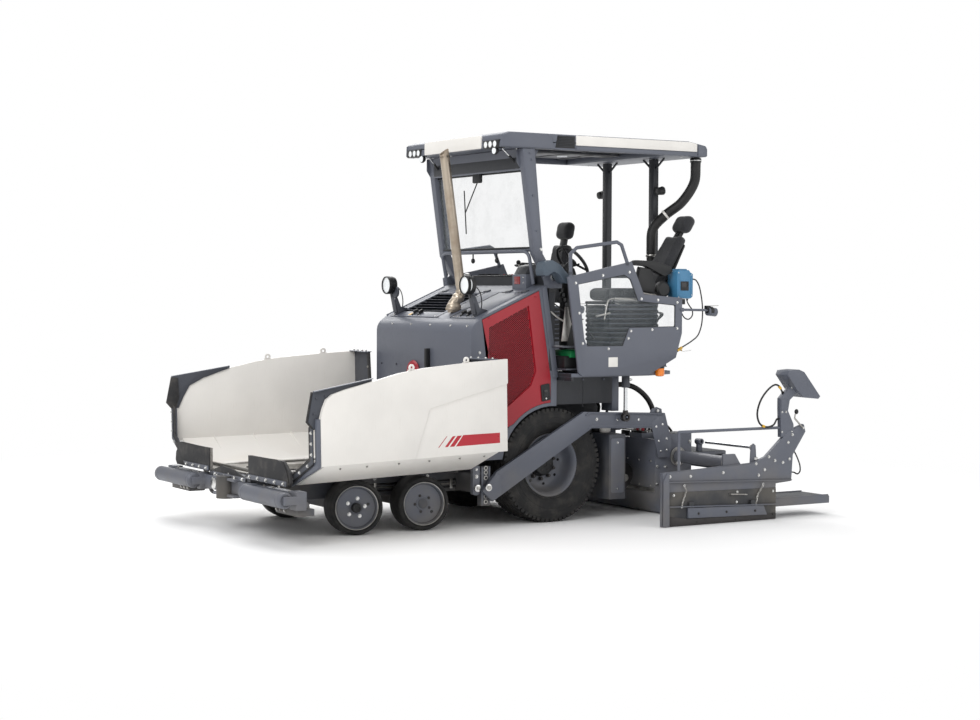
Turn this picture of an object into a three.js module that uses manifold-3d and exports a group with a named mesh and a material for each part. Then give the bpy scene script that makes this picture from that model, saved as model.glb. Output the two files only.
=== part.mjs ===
// Compact wheeled asphalt paver: tractor with tipping hopper wings, four small steered front
// wheels, two large driven rear wheels, an operator's platform under a roof, and a towed screed
// with two sliding extensions.
// Millimetres. +X is the machine's left, +Y its rear, +Z up. Everything is laid out from the
// rear axle (Y 0) and the ground (Z 0); the last lines move the origin under the machine's middle.
import * as THREE from 'three';
import { mergeVertices } from 'three/addons/utils/BufferGeometryUtils.js';
import Module from 'manifold-3d';

const wasm = await Module();
wasm.setup();

// ---------------------------------------------------------------- driving dimensions
const SEAT_GAP = 0.3;              // between pieces that touch

const FRONT_END_Y = -3040;         // foremost point, the push rollers
const REAR_END_Y = 2720;           // rearmost point, the screed's foot boards

const REAR_TYRE_RADIUS = 536;
const REAR_TYRE_WIDTH = 385;
const REAR_TYRE_OUTER_X = 921;
const REAR_RIM_RADIUS = 292;
const REAR_HUB_RADIUS = 120;
const WHEEL_SIDES = 40;

const FRONT_TYRE_RADIUS = 244.5;
const FRONT_TYRE_WIDTH = 260;
const FRONT_TYRE_OUTER_X = 860;
const FRONT_RIM_INNER_RADIUS = 172;
const FRONT_AXLE_Y = [-1985, -1319];
const KING_PIN_X = 660;
const KING_PIN_HEIGHT = 180;
const LEAD_STEER_DEG = -12.5;      // lead wheels stand turned to the right
const STEER_SHARE = [1, 0.664];    // second axle follows the lead axle

const TYRE_TO_FRAME = 56;          // from the tyre's inner side to the frame
const FRAME_HALF_WIDTH = REAR_TYRE_OUTER_X - REAR_TYRE_WIDTH - TYRE_TO_FRAME;
const FRAME_FRONT_Y = -2560;
const FRAME_REAR_Y = 820;
const FRAME_BOTTOM_Z = 300;
const FLOOR_BOTTOM_Z = 505;
const FLOOR_THICKNESS = 25;
const TUNNEL_TOP_Z = 900;

const WING_LENGTH = 1978;
const WING_REAR_Y = -850;
const WING_HINGE_X = 600;          // hinge line at the wing's rear end
const WING_HINGE_Z = 560;
const WING_FLARE_DEG = 5.7;        // wings open out to the front
const WING_FALL_DEG = 1.15;        // and the hinge line drops to the front
const WING_REACH = 770;            // hinge to outer face
const WING_WALL = 25;
const WING_KNEE_Z = 182;           // where the wall meets the sloping floor
const WING_HINGE_RADIUS = 15;

const HOOD_HALF_WIDTH = 909;
const HOOD_FRONT_Y = -890;
const HOOD_WALL = 25;
const HOOD_SLOPE = 0.431;          // rise of the top towards the rear
const HOOD_TOP_AT_AXLE_Z = 2256.6; // top plane produced to the rear axle
const WHEEL_ARCH_RADIUS = 556;

const DECK_TOP_Z = 1400;
const DECK_THICKNESS = 35;
const DECK_REAR_Y = 1330;
const PANEL_OUTER_X = 1150;
const PANEL_THICKNESS = 20;

const REAR_POST_Y = 1530;
const SEAT_X = 750;
const SEAT_BACK_DEPTH = 110;
const SEAT_LENGTH = 560;
const SEAT_HEEL_RISE = 60;         // top of the heel bracket over the seat base
const SEATS = {                    // top of the base, foot of the back, lean of the back in degrees
  left: { side: 1, baseTop: 2070, backY: 1215, lean: 33 },
  right: { side: -1, baseTop: 1950, backY: 1090, lean: 12 },
};

const ROOF_HALF_WIDTH = 896;
const ROOF_FRONT_Y = -580;
const ROOF_REAR_Y = 1820;
const ROOF_BOTTOM_Z = 3480;
const ROOF_TOP_Z = 3640;

const TOW_PIN_Y = -740;
const TOW_PIN_Z = 370;
const TOW_PIN_RADIUS = 25;
const ARM_INNER_X = 930;
const ARM_OUTER_X = 970;

const SCREED_HALF_WIDTH = ARM_INNER_X - SEAT_GAP;
const SCREED_FRONT_Y = 1180;
const SCREED_REAR_Y = 2050;
const SCREED_SOLE_Z = 12;
const GATE_OUTER_X = 1750;
const GATE_THICKNESS = 30;
const EXTENSION_INNER_X = 880;
const GUIDE_RADIUS = 60;
const GUIDE_Y = 1450;
const GUIDE_Z = 560;
const GUIDE_INNER_X = 800;

const LIFT_X = 1030;
const LIFT_Y = 750;
const LIFT_TOP_Z = 1620;
const LIFT_EYE_Z = 970;
const TRUNNION_HALF = 55;
const LIFT_PIN_RADIUS = 9;
const LIFT_EYE_BORE = 24;

const AUGER_Y = 1000;
const AUGER_Z = 350;
const AUGER_RADIUS = 150;
const AUGER_LENGTH = 650;

// ---------------------------------------------------------------- materials
function paint(color, roughness, metalness = 0) {
  return new THREE.MeshStandardMaterial({ color, roughness, metalness });
}
const GREY = paint(0x62656e, 0.5);
const DARK = paint(0x2b2d31, 0.55);
const WHITE = paint(0xe6e4e0, 0.4);
const RED = paint(0x96182a, 0.4);
const BLUE = paint(0x3c7fb0, 0.4);
const STEEL = paint(0x9a9a9a, 0.35, 0.9);
const CHROME = paint(0xd8d8d8, 0.12, 1);
const RUBBER = paint(0x1c1c1d, 0.85);
const CUSHION = paint(0x202124, 0.8);
const BRONZE = paint(0x9a8468, 0.45, 0.7);
const GLASS = new THREE.MeshStandardMaterial({ color: 0xdfe8ea, roughness: 0.05, opacity: 0.3, transparent: true });

// ---------------------------------------------------------------- solids
function signedVolume(position, index) {
  let volume = 0;
  const a = new THREE.Vector3();
  const b = new THREE.Vector3();
  const c = new THREE.Vector3();
  for (let i = 0; i < index.length; i += 3) {
    a.fromBufferAttribute(position, index[i]);
    b.fromBufferAttribute(position, index[i + 1]);
    c.fromBufferAttribute(position, index[i + 2]);
    volume += a.dot(b.cross(c)) / 6;
  }
  return volume;
}

// A closed three.js geometry as a solid, its faces turned to point out.
function solid(geometry) {
  const bare = geometry.clone();
  bare.deleteAttribute('normal');
  bare.deleteAttribute('uv');
  const merged = mergeVertices(bare, 1e-3);
  const index = Uint32Array.from(merged.index.array);
  if (signedVolume(merged.attributes.position, index) < 0) index.reverse();
  const vertProperties = Float32Array.from(merged.attributes.position.array);
  return new wasm.Manifold(new wasm.Mesh({ numProp: 3, vertProperties, triVerts: index }));
}

function toGeometry(body) {
  const mesh = body.getMesh();
  const geometry = new THREE.BufferGeometry();
  geometry.setAttribute('position', new THREE.BufferAttribute(mesh.vertProperties, 3));
  geometry.setIndex(new THREE.BufferAttribute(mesh.triVerts, 1));
  geometry.computeVertexNormals();
  return geometry;
}

function join(first, ...others) {
  return others.reduce((whole, piece) => whole.add(piece), first);
}

function cut(body, ...tools) {
  return tools.reduce((whole, tool) => whole.subtract(tool), body);
}

function block(x0, x1, y0, y1, z0, z1) {
  const geometry = new THREE.BoxGeometry(x1 - x0, y1 - y0, z1 - z0);
  geometry.translate((x0 + x1) / 2, (y0 + y1) / 2, (z0 + z1) / 2);
  return solid(geometry);
}

function extrude(outline, depth) {
  const shape = new THREE.Shape(outline.map(([u, v]) => new THREE.Vector2(u, v)));
  return new THREE.ExtrudeGeometry(shape, { depth, bevelEnabled: false });
}

// Outline of [y, z] points, from x0 to x1.
function sidePlate(outline, x0, x1) {
  const geometry = extrude(outline, x1 - x0);
  const turn = new THREE.Matrix4().makeBasis(
    new THREE.Vector3(0, 1, 0),
    new THREE.Vector3(0, 0, 1),
    new THREE.Vector3(1, 0, 0),
  );
  geometry.applyMatrix4(turn);
  geometry.translate(x0, 0, 0);
  return solid(geometry);
}

// Outline of [x, z] points, from y0 to y1.
function crossPlate(outline, y0, y1) {
  const geometry = extrude(outline, y1 - y0);
  geometry.rotateX(Math.PI / 2);
  geometry.translate(0, y1, 0);
  return solid(geometry);
}

// Outline of [x, y] points, from z0 to z1.
function floorPlate(outline, z0, z1) {
  const geometry = extrude(outline, z1 - z0);
  geometry.translate(0, 0, z0);
  return solid(geometry);
}

function bar(from, to, radius, sides = 16) {
  const start = new THREE.Vector3(...from);
  const end = new THREE.Vector3(...to);
  const along = end.clone().sub(start);
  const geometry = new THREE.CylinderGeometry(radius, radius, along.length(), sides);
  const turn = new THREE.Quaternion().setFromUnitVectors(new THREE.Vector3(0, 1, 0), along.clone().normalize());
  geometry.applyQuaternion(turn);
  geometry.translate(...start.add(end).multiplyScalar(0.5).toArray());
  return solid(geometry);
}

function roundSection(radius, sides) {
  const points = [];
  for (let i = 0; i < sides; i += 1) {
    const angle = (2 * Math.PI * i) / sides;
    points.push(new THREE.Vector2(radius * Math.cos(angle), radius * Math.sin(angle)));
  }
  return new THREE.Shape(points);
}

function tube(points, radius, sides = 10, steps = 24) {
  const path = new THREE.CatmullRomCurve3(points.map((p) => new THREE.Vector3(...p)), false, 'centripetal');
  return solid(new THREE.ExtrudeGeometry(roundSection(radius, sides), { steps, bevelEnabled: false, extrudePath: path }));
}

// A run of straight bars with round elbows, from a list of corner points.
function bentBar(points, radius, sides = 8) {
  const joints = points.slice(1, -1).map((p) => {
    const ball = new THREE.SphereGeometry(radius, sides, Math.max(4, sides / 2));
    ball.translate(...p);
    return solid(ball);
  });
  const runs = points.slice(1).map((p, i) => bar(points[i], p, radius, sides));
  return join(...runs, ...joints);
}

// Profile of [radius, x] points turned about the X axis.
function turned(profile, sides) {
  const geometry = new THREE.LatheGeometry(profile.map(([r, x]) => new THREE.Vector2(r, x)), sides);
  geometry.rotateZ(-Math.PI / 2);
  return solid(geometry);
}

function moved(body, x, y, z) {
  const geometry = toGeometry(body);
  geometry.translate(x, y, z);
  return solid(geometry);
}

function mirrorX(geometry) {
  const mirrored = geometry.clone();
  mirrored.scale(-1, 1, 1);
  mirrored.setIndex(new THREE.BufferAttribute(Uint32Array.from(mirrored.index.array).reverse(), 1));
  mirrored.computeVertexNormals();
  return mirrored;
}

// Points on an arc in the [y, z] plane, angles in degrees from +y towards +z.
function arc(centreY, centreZ, radius, fromDeg, toDeg, steps) {
  const points = [];
  for (let i = 0; i <= steps; i += 1) {
    const angle = THREE.MathUtils.degToRad(fromDeg + ((toDeg - fromDeg) * i) / steps);
    points.push([centreY + radius * Math.cos(angle), centreZ + radius * Math.sin(angle)]);
  }
  return points;
}

// The same outline with every edge moved out by a distance; outlines run either way round.
function grown(outline, distance) {
  const area = outline.reduce((sum, [u, v], i) => {
    const [u2, v2] = outline[(i + 1) % outline.length];
    return sum + (u * v2 - u2 * v) / 2;
  }, 0);
  const turn = Math.sign(area);
  return outline.map((point, i) => {
    const before = outline[(i + outline.length - 1) % outline.length];
    const after = outline[(i + 1) % outline.length];
    const a = new THREE.Vector2(point[0] - before[0], point[1] - before[1]).normalize();
    const b = new THREE.Vector2(after[0] - point[0], after[1] - point[1]).normalize();
    const normalA = new THREE.Vector2(a.y, -a.x).multiplyScalar(turn);
    const normalB = new THREE.Vector2(b.y, -b.x).multiplyScalar(turn);
    const middle = normalA.clone().add(normalB).normalize();
    const reach = distance / middle.dot(normalA);
    return [point[0] + middle.x * reach, point[1] + middle.y * reach];
  });
}

// ---------------------------------------------------------------- assembly
const paver = new THREE.Group();

function add(name, body, material, parent = paver) {
  const geometry = body.isBufferGeometry ? body : toGeometry(body);
  const mesh = new THREE.Mesh(geometry, material);
  mesh.name = name;
  parent.add(mesh);
  return mesh;
}

// The given piece is the left one; its mirror image is the right one.
function addPair(name, body, material) {
  const left = toGeometry(body);
  add(`${name}_left`, left, material);
  add(`${name}_right`, mirrorX(left), material);
}

// ---------------------------------------------------------------- chassis
function frontAxleBeam(y) {
  const earTop = KING_PIN_HEIGHT / 2 + SEAT_GAP;
  const earThickness = 22;
  const webX = KING_PIN_X - 80;
  const z = FRONT_TYRE_RADIUS;
  const pieces = [block(-webX, webX, y - 50, y + 50, z - 55, FRAME_BOTTOM_Z + 10)];
  for (const side of [1, -1]) {
    const x0 = side > 0 ? webX - 30 : -webX;
    const web = block(x0, x0 + 30, y - 40, y + 40, z - earTop - earThickness, z + earTop + earThickness);
    const earStart = side > 0 ? webX - 10 : -KING_PIN_X - 38;
    const earEnd = side > 0 ? KING_PIN_X + 38 : -webX + 10;
    const upper = block(earStart, earEnd, y - 38, y + 38, z + earTop, z + earTop + earThickness);
    const lower = block(earStart, earEnd, y - 38, y + 38, z - earTop - earThickness, z - earTop);
    pieces.push(web, upper, lower);
  }
  return join(...pieces);
}

function towRail() {
  const bracket = block(FRAME_HALF_WIDTH - 5, 870, TOW_PIN_Y - 60, TOW_PIN_Y + 60, 310, 480);
  const rail = block(860, ARM_INNER_X - 5, TOW_PIN_Y - 50, TOW_PIN_Y + 50, 200, 560);
  const pin = bar([900, TOW_PIN_Y, TOW_PIN_Z], [ARM_OUTER_X + 6, TOW_PIN_Y, TOW_PIN_Z], TOW_PIN_RADIUS, 24);
  return join(bracket, rail, pin);
}

function chassis() {
  const w = FRAME_HALF_WIDTH;
  const railTop = FLOOR_BOTTOM_Z - SEAT_GAP;
  const wallFront = HOOD_FRONT_Y + HOOD_WALL + SEAT_GAP;
  const bottom = block(-w, w, FRAME_FRONT_Y, FRAME_REAR_Y, FRAME_BOTTOM_Z, FRAME_BOTTOM_Z + 30);
  const rails = [];
  for (const side of [1, -1]) {
    const x0 = side > 0 ? w - 60 : -w;
    rails.push(block(x0, x0 + 60, FRAME_FRONT_Y, FRAME_REAR_Y, FRAME_BOTTOM_Z, railTop));
    const wallX = side > 0 ? w - 30 : -w;
    rails.push(block(wallX, wallX + 30, wallFront, FRAME_REAR_Y, FRAME_BOTTOM_Z, TUNNEL_TOP_Z + 30));
  }
  const tunnelRoof = block(-w, w, wallFront, FRAME_REAR_Y, TUNNEL_TOP_Z, TUNNEL_TOP_Z + 30);
  const axle = bar([-640, 0, REAR_TYRE_RADIUS], [640, 0, REAR_TYRE_RADIUS], REAR_HUB_RADIUS, 24);
  const axleHollow = block(-w + 30, w - 30, -200, 200, FLOOR_BOTTOM_Z - 1, TUNNEL_TOP_Z);
  const frontPlate = block(-w, w, FRAME_FRONT_Y - 20, FRAME_FRONT_Y + 10, FRAME_BOTTOM_Z, railTop);
  const towLeft = towRail();
  const towRight = solid(mirrorX(toGeometry(towLeft)));
  const body = join(bottom, ...rails, tunnelRoof, frontPlate, frontAxleBeam(FRONT_AXLE_Y[0]),
    frontAxleBeam(FRONT_AXLE_Y[1]), towLeft, towRight, cut(axle, axleHollow));
  return body;
}

// ---------------------------------------------------------------- hopper
const FLARE = THREE.MathUtils.degToRad(WING_FLARE_DEG);
const FALL = THREE.MathUtils.degToRad(WING_FALL_DEG);

function hingeX(y) {
  return WING_HINGE_X + (WING_REAR_Y - y) * Math.tan(FLARE);
}

function hingeZ(y) {
  return WING_HINGE_Z - ((WING_REAR_Y - y) / Math.cos(FLARE)) * Math.tan(FALL);
}

function wingFrontY() {
  return WING_REAR_Y - WING_LENGTH * Math.cos(FLARE) * Math.cos(FALL);
}

// Where the left wing's own frame stands: its hinge line runs forward, outward and down.
function wingFrame() {
  const frame = new THREE.Group();
  frame.position.set(WING_HINGE_X, WING_REAR_Y, WING_HINGE_Z);
  frame.rotation.set(FALL, 0, FLARE, 'ZXY');
  frame.updateMatrix();
  return frame.matrix;
}

const LUG_THICKNESS = 20;
const FRONT_LUG_Y = -WING_LENGTH + 40;
const REAR_LUG_Y = -30;
const WING_FLOOR_REAR_Y = -84;     // the tipping floor stays in front of the hood

// A lug on the fixed floor that carries one end of the wing's hinge bar.
function hingeLug(y) {
  const geometry = toGeometry(block(-90, 24, y, y + LUG_THICKNESS, -75, 24));
  geometry.applyMatrix4(wingFrame());
  return solid(geometry);
}

// Rubber apron in front of the wing, with the lip of the floor that carries it.
const FLAP_GAP = 52.2;             // from the wing's front end to the apron's front face
const FLAP_Y = wingFrontY() - FLAP_GAP;
const FLAP_THICKNESS = 25;
const FLAP_TOP_Z = 715;

function frontFlap(floorFront) {
  const z0 = FLOOR_BOTTOM_Z;
  const lip = block(430, 700, FLAP_Y, floorFront + 20, z0, z0 + FLOOR_THICKNESS);
  const sheet = crossPlate([
    [430, z0],
    [430, FLAP_TOP_Z],
    [1130, FLAP_TOP_Z],
    [1250, FLAP_TOP_Z - 90],
    [1265, z0 + 40],
    [1230, z0],
  ], FLAP_Y, FLAP_Y + FLAP_THICKNESS);
  return join(lip, sheet);
}

function hopperFloor() {
  const z0 = FLOOR_BOTTOM_Z;
  const z1 = FLOOR_BOTTOM_Z + FLOOR_THICKNESS;
  const front = wingFrontY() + 45;
  const rear = WING_REAR_Y - 20;
  const inset = 45;
  const tunnelHalf = FRAME_HALF_WIDTH - 30 - SEAT_GAP;
  const outline = [
    [-hingeX(front) + inset, front],
    [hingeX(front) - inset, front],
    [hingeX(rear) - inset, rear],
    [tunnelHalf, rear],
    [tunnelHalf, FRAME_REAR_Y],
    [-tunnelHalf, FRAME_REAR_Y],
    [-tunnelHalf, rear],
    [-hingeX(rear) + inset, rear],
  ];
  const plate = floorPlate(outline, z0, z1);
  const ridge = block(-35, 35, front + 150, FRAME_REAR_Y, z1 - 1, z1 + 50);
  const flap = frontFlap(front);
  const pieces = [ridge, flap, solid(mirrorX(toGeometry(flap)))];
  for (const y of [FRONT_LUG_Y, REAR_LUG_Y]) {
    const lug = hingeLug(y);
    pieces.push(lug, solid(mirrorX(toGeometry(lug))));
  }
  return join(plate, ...pieces);
}

// Wing in its own frame: x out from the hinge, y to the rear with 0 at the rear end, z up.
function wing() {
  const front = -WING_LENGTH;
  const wall = sidePlate([
    [0, WING_KNEE_Z - 10],
    [0, 1000],
    [-393, 985],
    [-916, 954],
    [-1165, 922],
    [-1578, 836],
    [front, 801],
    [front, WING_KNEE_Z - 10],
  ], WING_REACH - WING_WALL, WING_REACH);
  const floorFront = FRONT_LUG_Y + LUG_THICKNESS + SEAT_GAP;
  const hingeRear = REAR_LUG_Y - SEAT_GAP;
  const floor = crossPlate([
    [WING_REACH, WING_KNEE_Z],
    [327, -15],
    [0, -12],
    [0, 12],
    [327, 12],
    [WING_REACH - WING_WALL, WING_KNEE_Z + 15],
  ], floorFront, WING_FLOOR_REAR_Y);
  const hinge = bar([0, floorFront, 0], [0, hingeRear, 0], WING_HINGE_RADIUS, 16);
  const rearWall = crossPlate([
    [WING_REACH - 5, 1000],
    [350, 1000],
    [310, 500],
    [200, 5],
    [327, 0],
    [WING_REACH - 5, WING_KNEE_Z],
  ], -110, -85);
  const frontFlange = crossPlate([
    [WING_REACH + 5, 800],
    [WING_REACH - 45, 800],
    [WING_REACH - 45, WING_KNEE_Z + 40],
    [330, 30],
    [330, -20],
    [WING_REACH + 5, WING_KNEE_Z - 12],
  ], front, front + 60);
  return join(wall, floor, hinge, rearWall, frontFlange);
}

function placeWing(side) {
  const group = new THREE.Group();
  group.position.set(side * WING_HINGE_X, WING_REAR_Y, WING_HINGE_Z);
  group.rotation.set(FALL, 0, side * FLARE, 'ZXY');
  paver.add(group);
  const left = toGeometry(wing());
  const name = side > 0 ? 'hopper_wing_left' : 'hopper_wing_right';
  add(name, side > 0 ? left : mirrorX(left), WHITE, group);
}

// ---------------------------------------------------------------- push rollers
const ROLLER_RADIUS = 70;
const ROLLER_Y = FRONT_END_Y + ROLLER_RADIUS;
const ROLLER_Z = 410;
const ROLLER_INNER_X = 560;
const ROLLER_OUTER_X = 1385;

function pushBeam() {
  const back = ROLLER_Y + ROLLER_RADIUS + 15;
  const beam = block(-ROLLER_OUTER_X + 60, ROLLER_OUTER_X - 60, back, back + 90, 345, 470);
  const stem = block(-190, 190, back + 60, FRAME_FRONT_Y - 20 - SEAT_GAP, 330, 480);
  const pieces = [stem];
  for (const side of [1, -1]) {
    for (const x of [ROLLER_INNER_X - 32, ROLLER_OUTER_X + 2]) {
      const x0 = side > 0 ? x : -x - 30;
      pieces.push(block(x0, x0 + 30, ROLLER_Y - 30, back + 90, 375, 445));
    }
  }
  const reach = block(-ROLLER_OUTER_X - 32, ROLLER_OUTER_X + 32, back + 30, back + 90, 375, 445);
  return join(beam, ...pieces, reach);
}

function pushRoller() {
  const x0 = ROLLER_INNER_X - 2 + SEAT_GAP;
  const x1 = ROLLER_OUTER_X + 2 - SEAT_GAP;
  return bar([x0, ROLLER_Y, ROLLER_Z], [x1, ROLLER_Y, ROLLER_Z], ROLLER_RADIUS, 20);
}

// ---------------------------------------------------------------- front wheels
function frontWheel() {
  const half = FRONT_TYRE_WIDTH / 2;
  const r = FRONT_TYRE_RADIUS;
  const bore = FRONT_RIM_INNER_RADIUS;
  return turned([
    [0, 60],
    [bore - 15, 60],
    [bore, 50],
    [bore, -half],
    [r - 18, -half],
    [r, -half + 24],
    [r, half - 24],
    [r - 18, half],
    [r - 46, half - 4],
    [r - 52, half - 28],
    [62, half - 28],
    [62, half - 4],
    [0, half - 4],
  ], 28);
}

function knuckle(wheelOffset) {
  const boss = bar([0, 0, -KING_PIN_HEIGHT / 2], [0, 0, KING_PIN_HEIGHT / 2], 34, 20);
  const stub = bar([0, 0, 0], [wheelOffset + 60 - SEAT_GAP, 0, 0], 45, 20);
  return join(boss, stub);
}

function frontWheels() {
  const offset = FRONT_TYRE_OUTER_X - FRONT_TYRE_WIDTH / 2 - KING_PIN_X;
  const wheel = toGeometry(moved(frontWheel(), offset, 0, 0));
  const pin = toGeometry(knuckle(offset));
  for (const side of [1, -1]) {
    FRONT_AXLE_Y.forEach((y, i) => {
      const steered = new THREE.Group();
      steered.position.set(side * KING_PIN_X, y, FRONT_TYRE_RADIUS);
      steered.rotation.z = THREE.MathUtils.degToRad(LEAD_STEER_DEG * STEER_SHARE[i]);
      paver.add(steered);
      const where = `${side > 0 ? 'left' : 'right'}_${i + 1}`;
      add(`knuckle_${where}`, side > 0 ? pin : mirrorX(pin), DARK, steered);
      add(`front_wheel_${where}`, side > 0 ? wheel : mirrorX(wheel), RUBBER, steered);
    });
  }
}

// ---------------------------------------------------------------- rear wheels
function rearTyre() {
  const r = REAR_TYRE_RADIUS;
  const bead = REAR_RIM_RADIUS;
  const w = REAR_TYRE_WIDTH / 2;
  const section = [
    [bead, -w + 55],
    [bead + 60, -w + 14],
    [r - 110, -w],
    [r - 40, -w + 10],
    [r, -w + 42],
    [r, w - 42],
    [r - 40, w - 10],
    [r - 110, w],
    [bead + 60, w - 14],
    [bead, w - 55],
    [bead, -w + 55],
  ];
  return moved(turned(section, WHEEL_SIDES), REAR_TYRE_OUTER_X - w, 0, r);
}

function rearRim() {
  const w = REAR_TYRE_WIDTH / 2;
  const seat = REAR_RIM_RADIUS - SEAT_GAP;
  const hubFace = 640 + SEAT_GAP - (REAR_TYRE_OUTER_X - w);
  const section = [
    [0, hubFace],
    [150, hubFace],
    [170, hubFace + 20],
    [seat - 30, hubFace + 20],
    [seat - 16, -w + 60],
    [seat, -w + 60],
    [seat, w - 60],
    [seat - 16, w - 60],
    [seat - 40, hubFace + 50],
    [180, hubFace + 50],
    [150, hubFace + 90],
    [110, hubFace + 90],
    [110, hubFace + 125],
    [0, hubFace + 125],
  ];
  return moved(turned(section, WHEEL_SIDES), REAR_TYRE_OUTER_X - w, 0, REAR_TYRE_RADIUS);
}

// ---------------------------------------------------------------- hood, engine, doors
function hoodTopZ(y) {
  return HOOD_TOP_AT_AXLE_Z + HOOD_SLOPE * y;
}

function doorOutline() {
  return [
    [-775, hoodTopZ(-775) - 24],
    [-160, hoodTopZ(-160) - 24],
    [-25, 1354],
    ...arc(0, REAR_TYRE_RADIUS, 590, 92.5, 137, 6),
    [-547, 886],
  ];
}

const HATCHES = { right: [-805, 107], left: [365, 805] };
const HATCH_FRONT_Y = -790;
const HATCH_REAR_Y = -250;
const HATCH_THICKNESS = 18;

const LEDGE = 25;
const LEDGE_DEPTH = 12;

// The rim inside the hood that the closed door rests against.
function doorLedge() {
  const x = HOOD_HALF_WIDTH - HOOD_WALL;
  const rim = sidePlate(grown(doorOutline(), 14), x - LEDGE_DEPTH, x + 2);
  const seat = sidePlate(grown(doorOutline(), 4), x - SEAT_GAP, x + 5);
  const through = sidePlate(grown(doorOutline(), -LEDGE), x - 20, x + 5);
  return cut(rim, seat, through);
}

function hatchSeat(x0, x1, y0, y1, depth) {
  return sidePlate([
    [y0, hoodTopZ(y0) - depth],
    [y0, hoodTopZ(y0) + 60],
    [y1, hoodTopZ(y1) + 60],
    [y1, hoodTopZ(y1) - depth],
  ], x0, x1);
}

function hood() {
  const w = HOOD_HALF_WIDTH;
  const archFront = 172;
  const side = [
    [HOOD_FRONT_Y, 612],
    [HOOD_FRONT_Y, 1760],
    ...arc(HOOD_FRONT_Y + 130, 1770, 130, 176, 120, 4),
    [-770, hoodTopZ(-770)],
    [-95, hoodTopZ(-95)],
    [45, 1400],
    ...arc(0, REAR_TYRE_RADIUS, WHEEL_ARCH_RADIUS, 85.5, archFront, 10),
  ];
  const outer = sidePlate(side, -w, w);
  const inside = sidePlate([
    [HOOD_FRONT_Y + HOOD_WALL, 400],
    [HOOD_FRONT_Y + HOOD_WALL, 1760],
    [HOOD_FRONT_Y + 70, 1860],
    [-770, hoodTopZ(-770) - HOOD_WALL],
    [80, hoodTopZ(80) - HOOD_WALL],
    [80, 400],
  ], -w + HOOD_WALL, w - HOOD_WALL);
  const opening = sidePlate(grown(doorOutline(), 4), w - HOOD_WALL - 5, w + 5);
  const swingRoom = sidePlate([[-552, 873], [-480, 905], [-480, 916], [-552, 884]], w - HOOD_WALL - 5, w + 5);
  const door = join(opening, swingRoom);
  const doorRight = solid(mirrorX(toGeometry(door)));
  const hatches = Object.values(HATCHES).flatMap(([x0, x1]) => [
    hatchSeat(x0 - 4, x1 + 4, HATCH_FRONT_Y - 4, HATCH_REAR_Y + 4, HATCH_THICKNESS + SEAT_GAP),
    hatchSeat(x0 + 25, x1 - 25, HATCH_FRONT_Y + 25, HATCH_REAR_Y - 25, 80),
  ]);
  const tunnel = block(-450, 450, HOOD_FRONT_Y - 10, HOOD_FRONT_Y + HOOD_WALL + 10, 500, TUNNEL_TOP_Z + 40);
  const ledge = doorLedge();
  const shell = cut(outer, inside, door, doorRight, ...hatches, tunnel);
  return join(shell, ledge, solid(mirrorX(toGeometry(ledge))));
}

function serviceDoor() {
  const w = HOOD_HALF_WIDTH;
  return sidePlate(doorOutline(), w - HOOD_WALL, w + 4);
}

function workLamp(x) {
  const footY = -720;
  const foot = sidePlate([
    [footY - 40, hoodTopZ(footY - 40) - 5],
    [footY - 40, hoodTopZ(footY)],
    [footY + 60, hoodTopZ(footY + 60) + 12],
    [footY + 60, hoodTopZ(footY + 60) - 5],
  ], x - 40, x + 40);
  const stalk = sidePlate([
    [footY - 30, hoodTopZ(footY) - 5],
    [footY + 30, hoodTopZ(footY) - 5],
    [footY - 60, 2150],
    [footY - 90, 2150],
  ], x - 22, x + 22);
  const head = bar([x, -873, 2216], [x, -780, 2216], 88, 20);
  return join(foot, stalk, head);
}

function hatch(x0, x1) {
  const lower = HATCH_THICKNESS;
  const plate = sidePlate([
    [HATCH_FRONT_Y, hoodTopZ(HATCH_FRONT_Y) - lower],
    [HATCH_FRONT_Y, hoodTopZ(HATCH_FRONT_Y)],
    [HATCH_REAR_Y, hoodTopZ(HATCH_REAR_Y)],
    [HATCH_REAR_Y, hoodTopZ(HATCH_REAR_Y) - lower],
  ], x0, x1);
  const lampX = x0 < 0 ? x0 + 55 : x1 - 55;
  return join(plate, workLamp(lampX));
}

function engine() {
  return block(-430, 430, -780, -130, TUNNEL_TOP_Z + 30 + SEAT_GAP, 1640);
}

function exhaust() {
  const x = 236;
  const footY = -700;
  return join(
    bentBar([[x, footY, hoodTopZ(footY) + SEAT_GAP + 26], [x, footY, 2060], [x, -600, 2120], [x, -790, 3505]], 45, 14),
    bar([x, footY, hoodTopZ(footY) + SEAT_GAP + 26], [x, footY, hoodTopZ(footY) + 50], 60, 14),
  );
}

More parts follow.
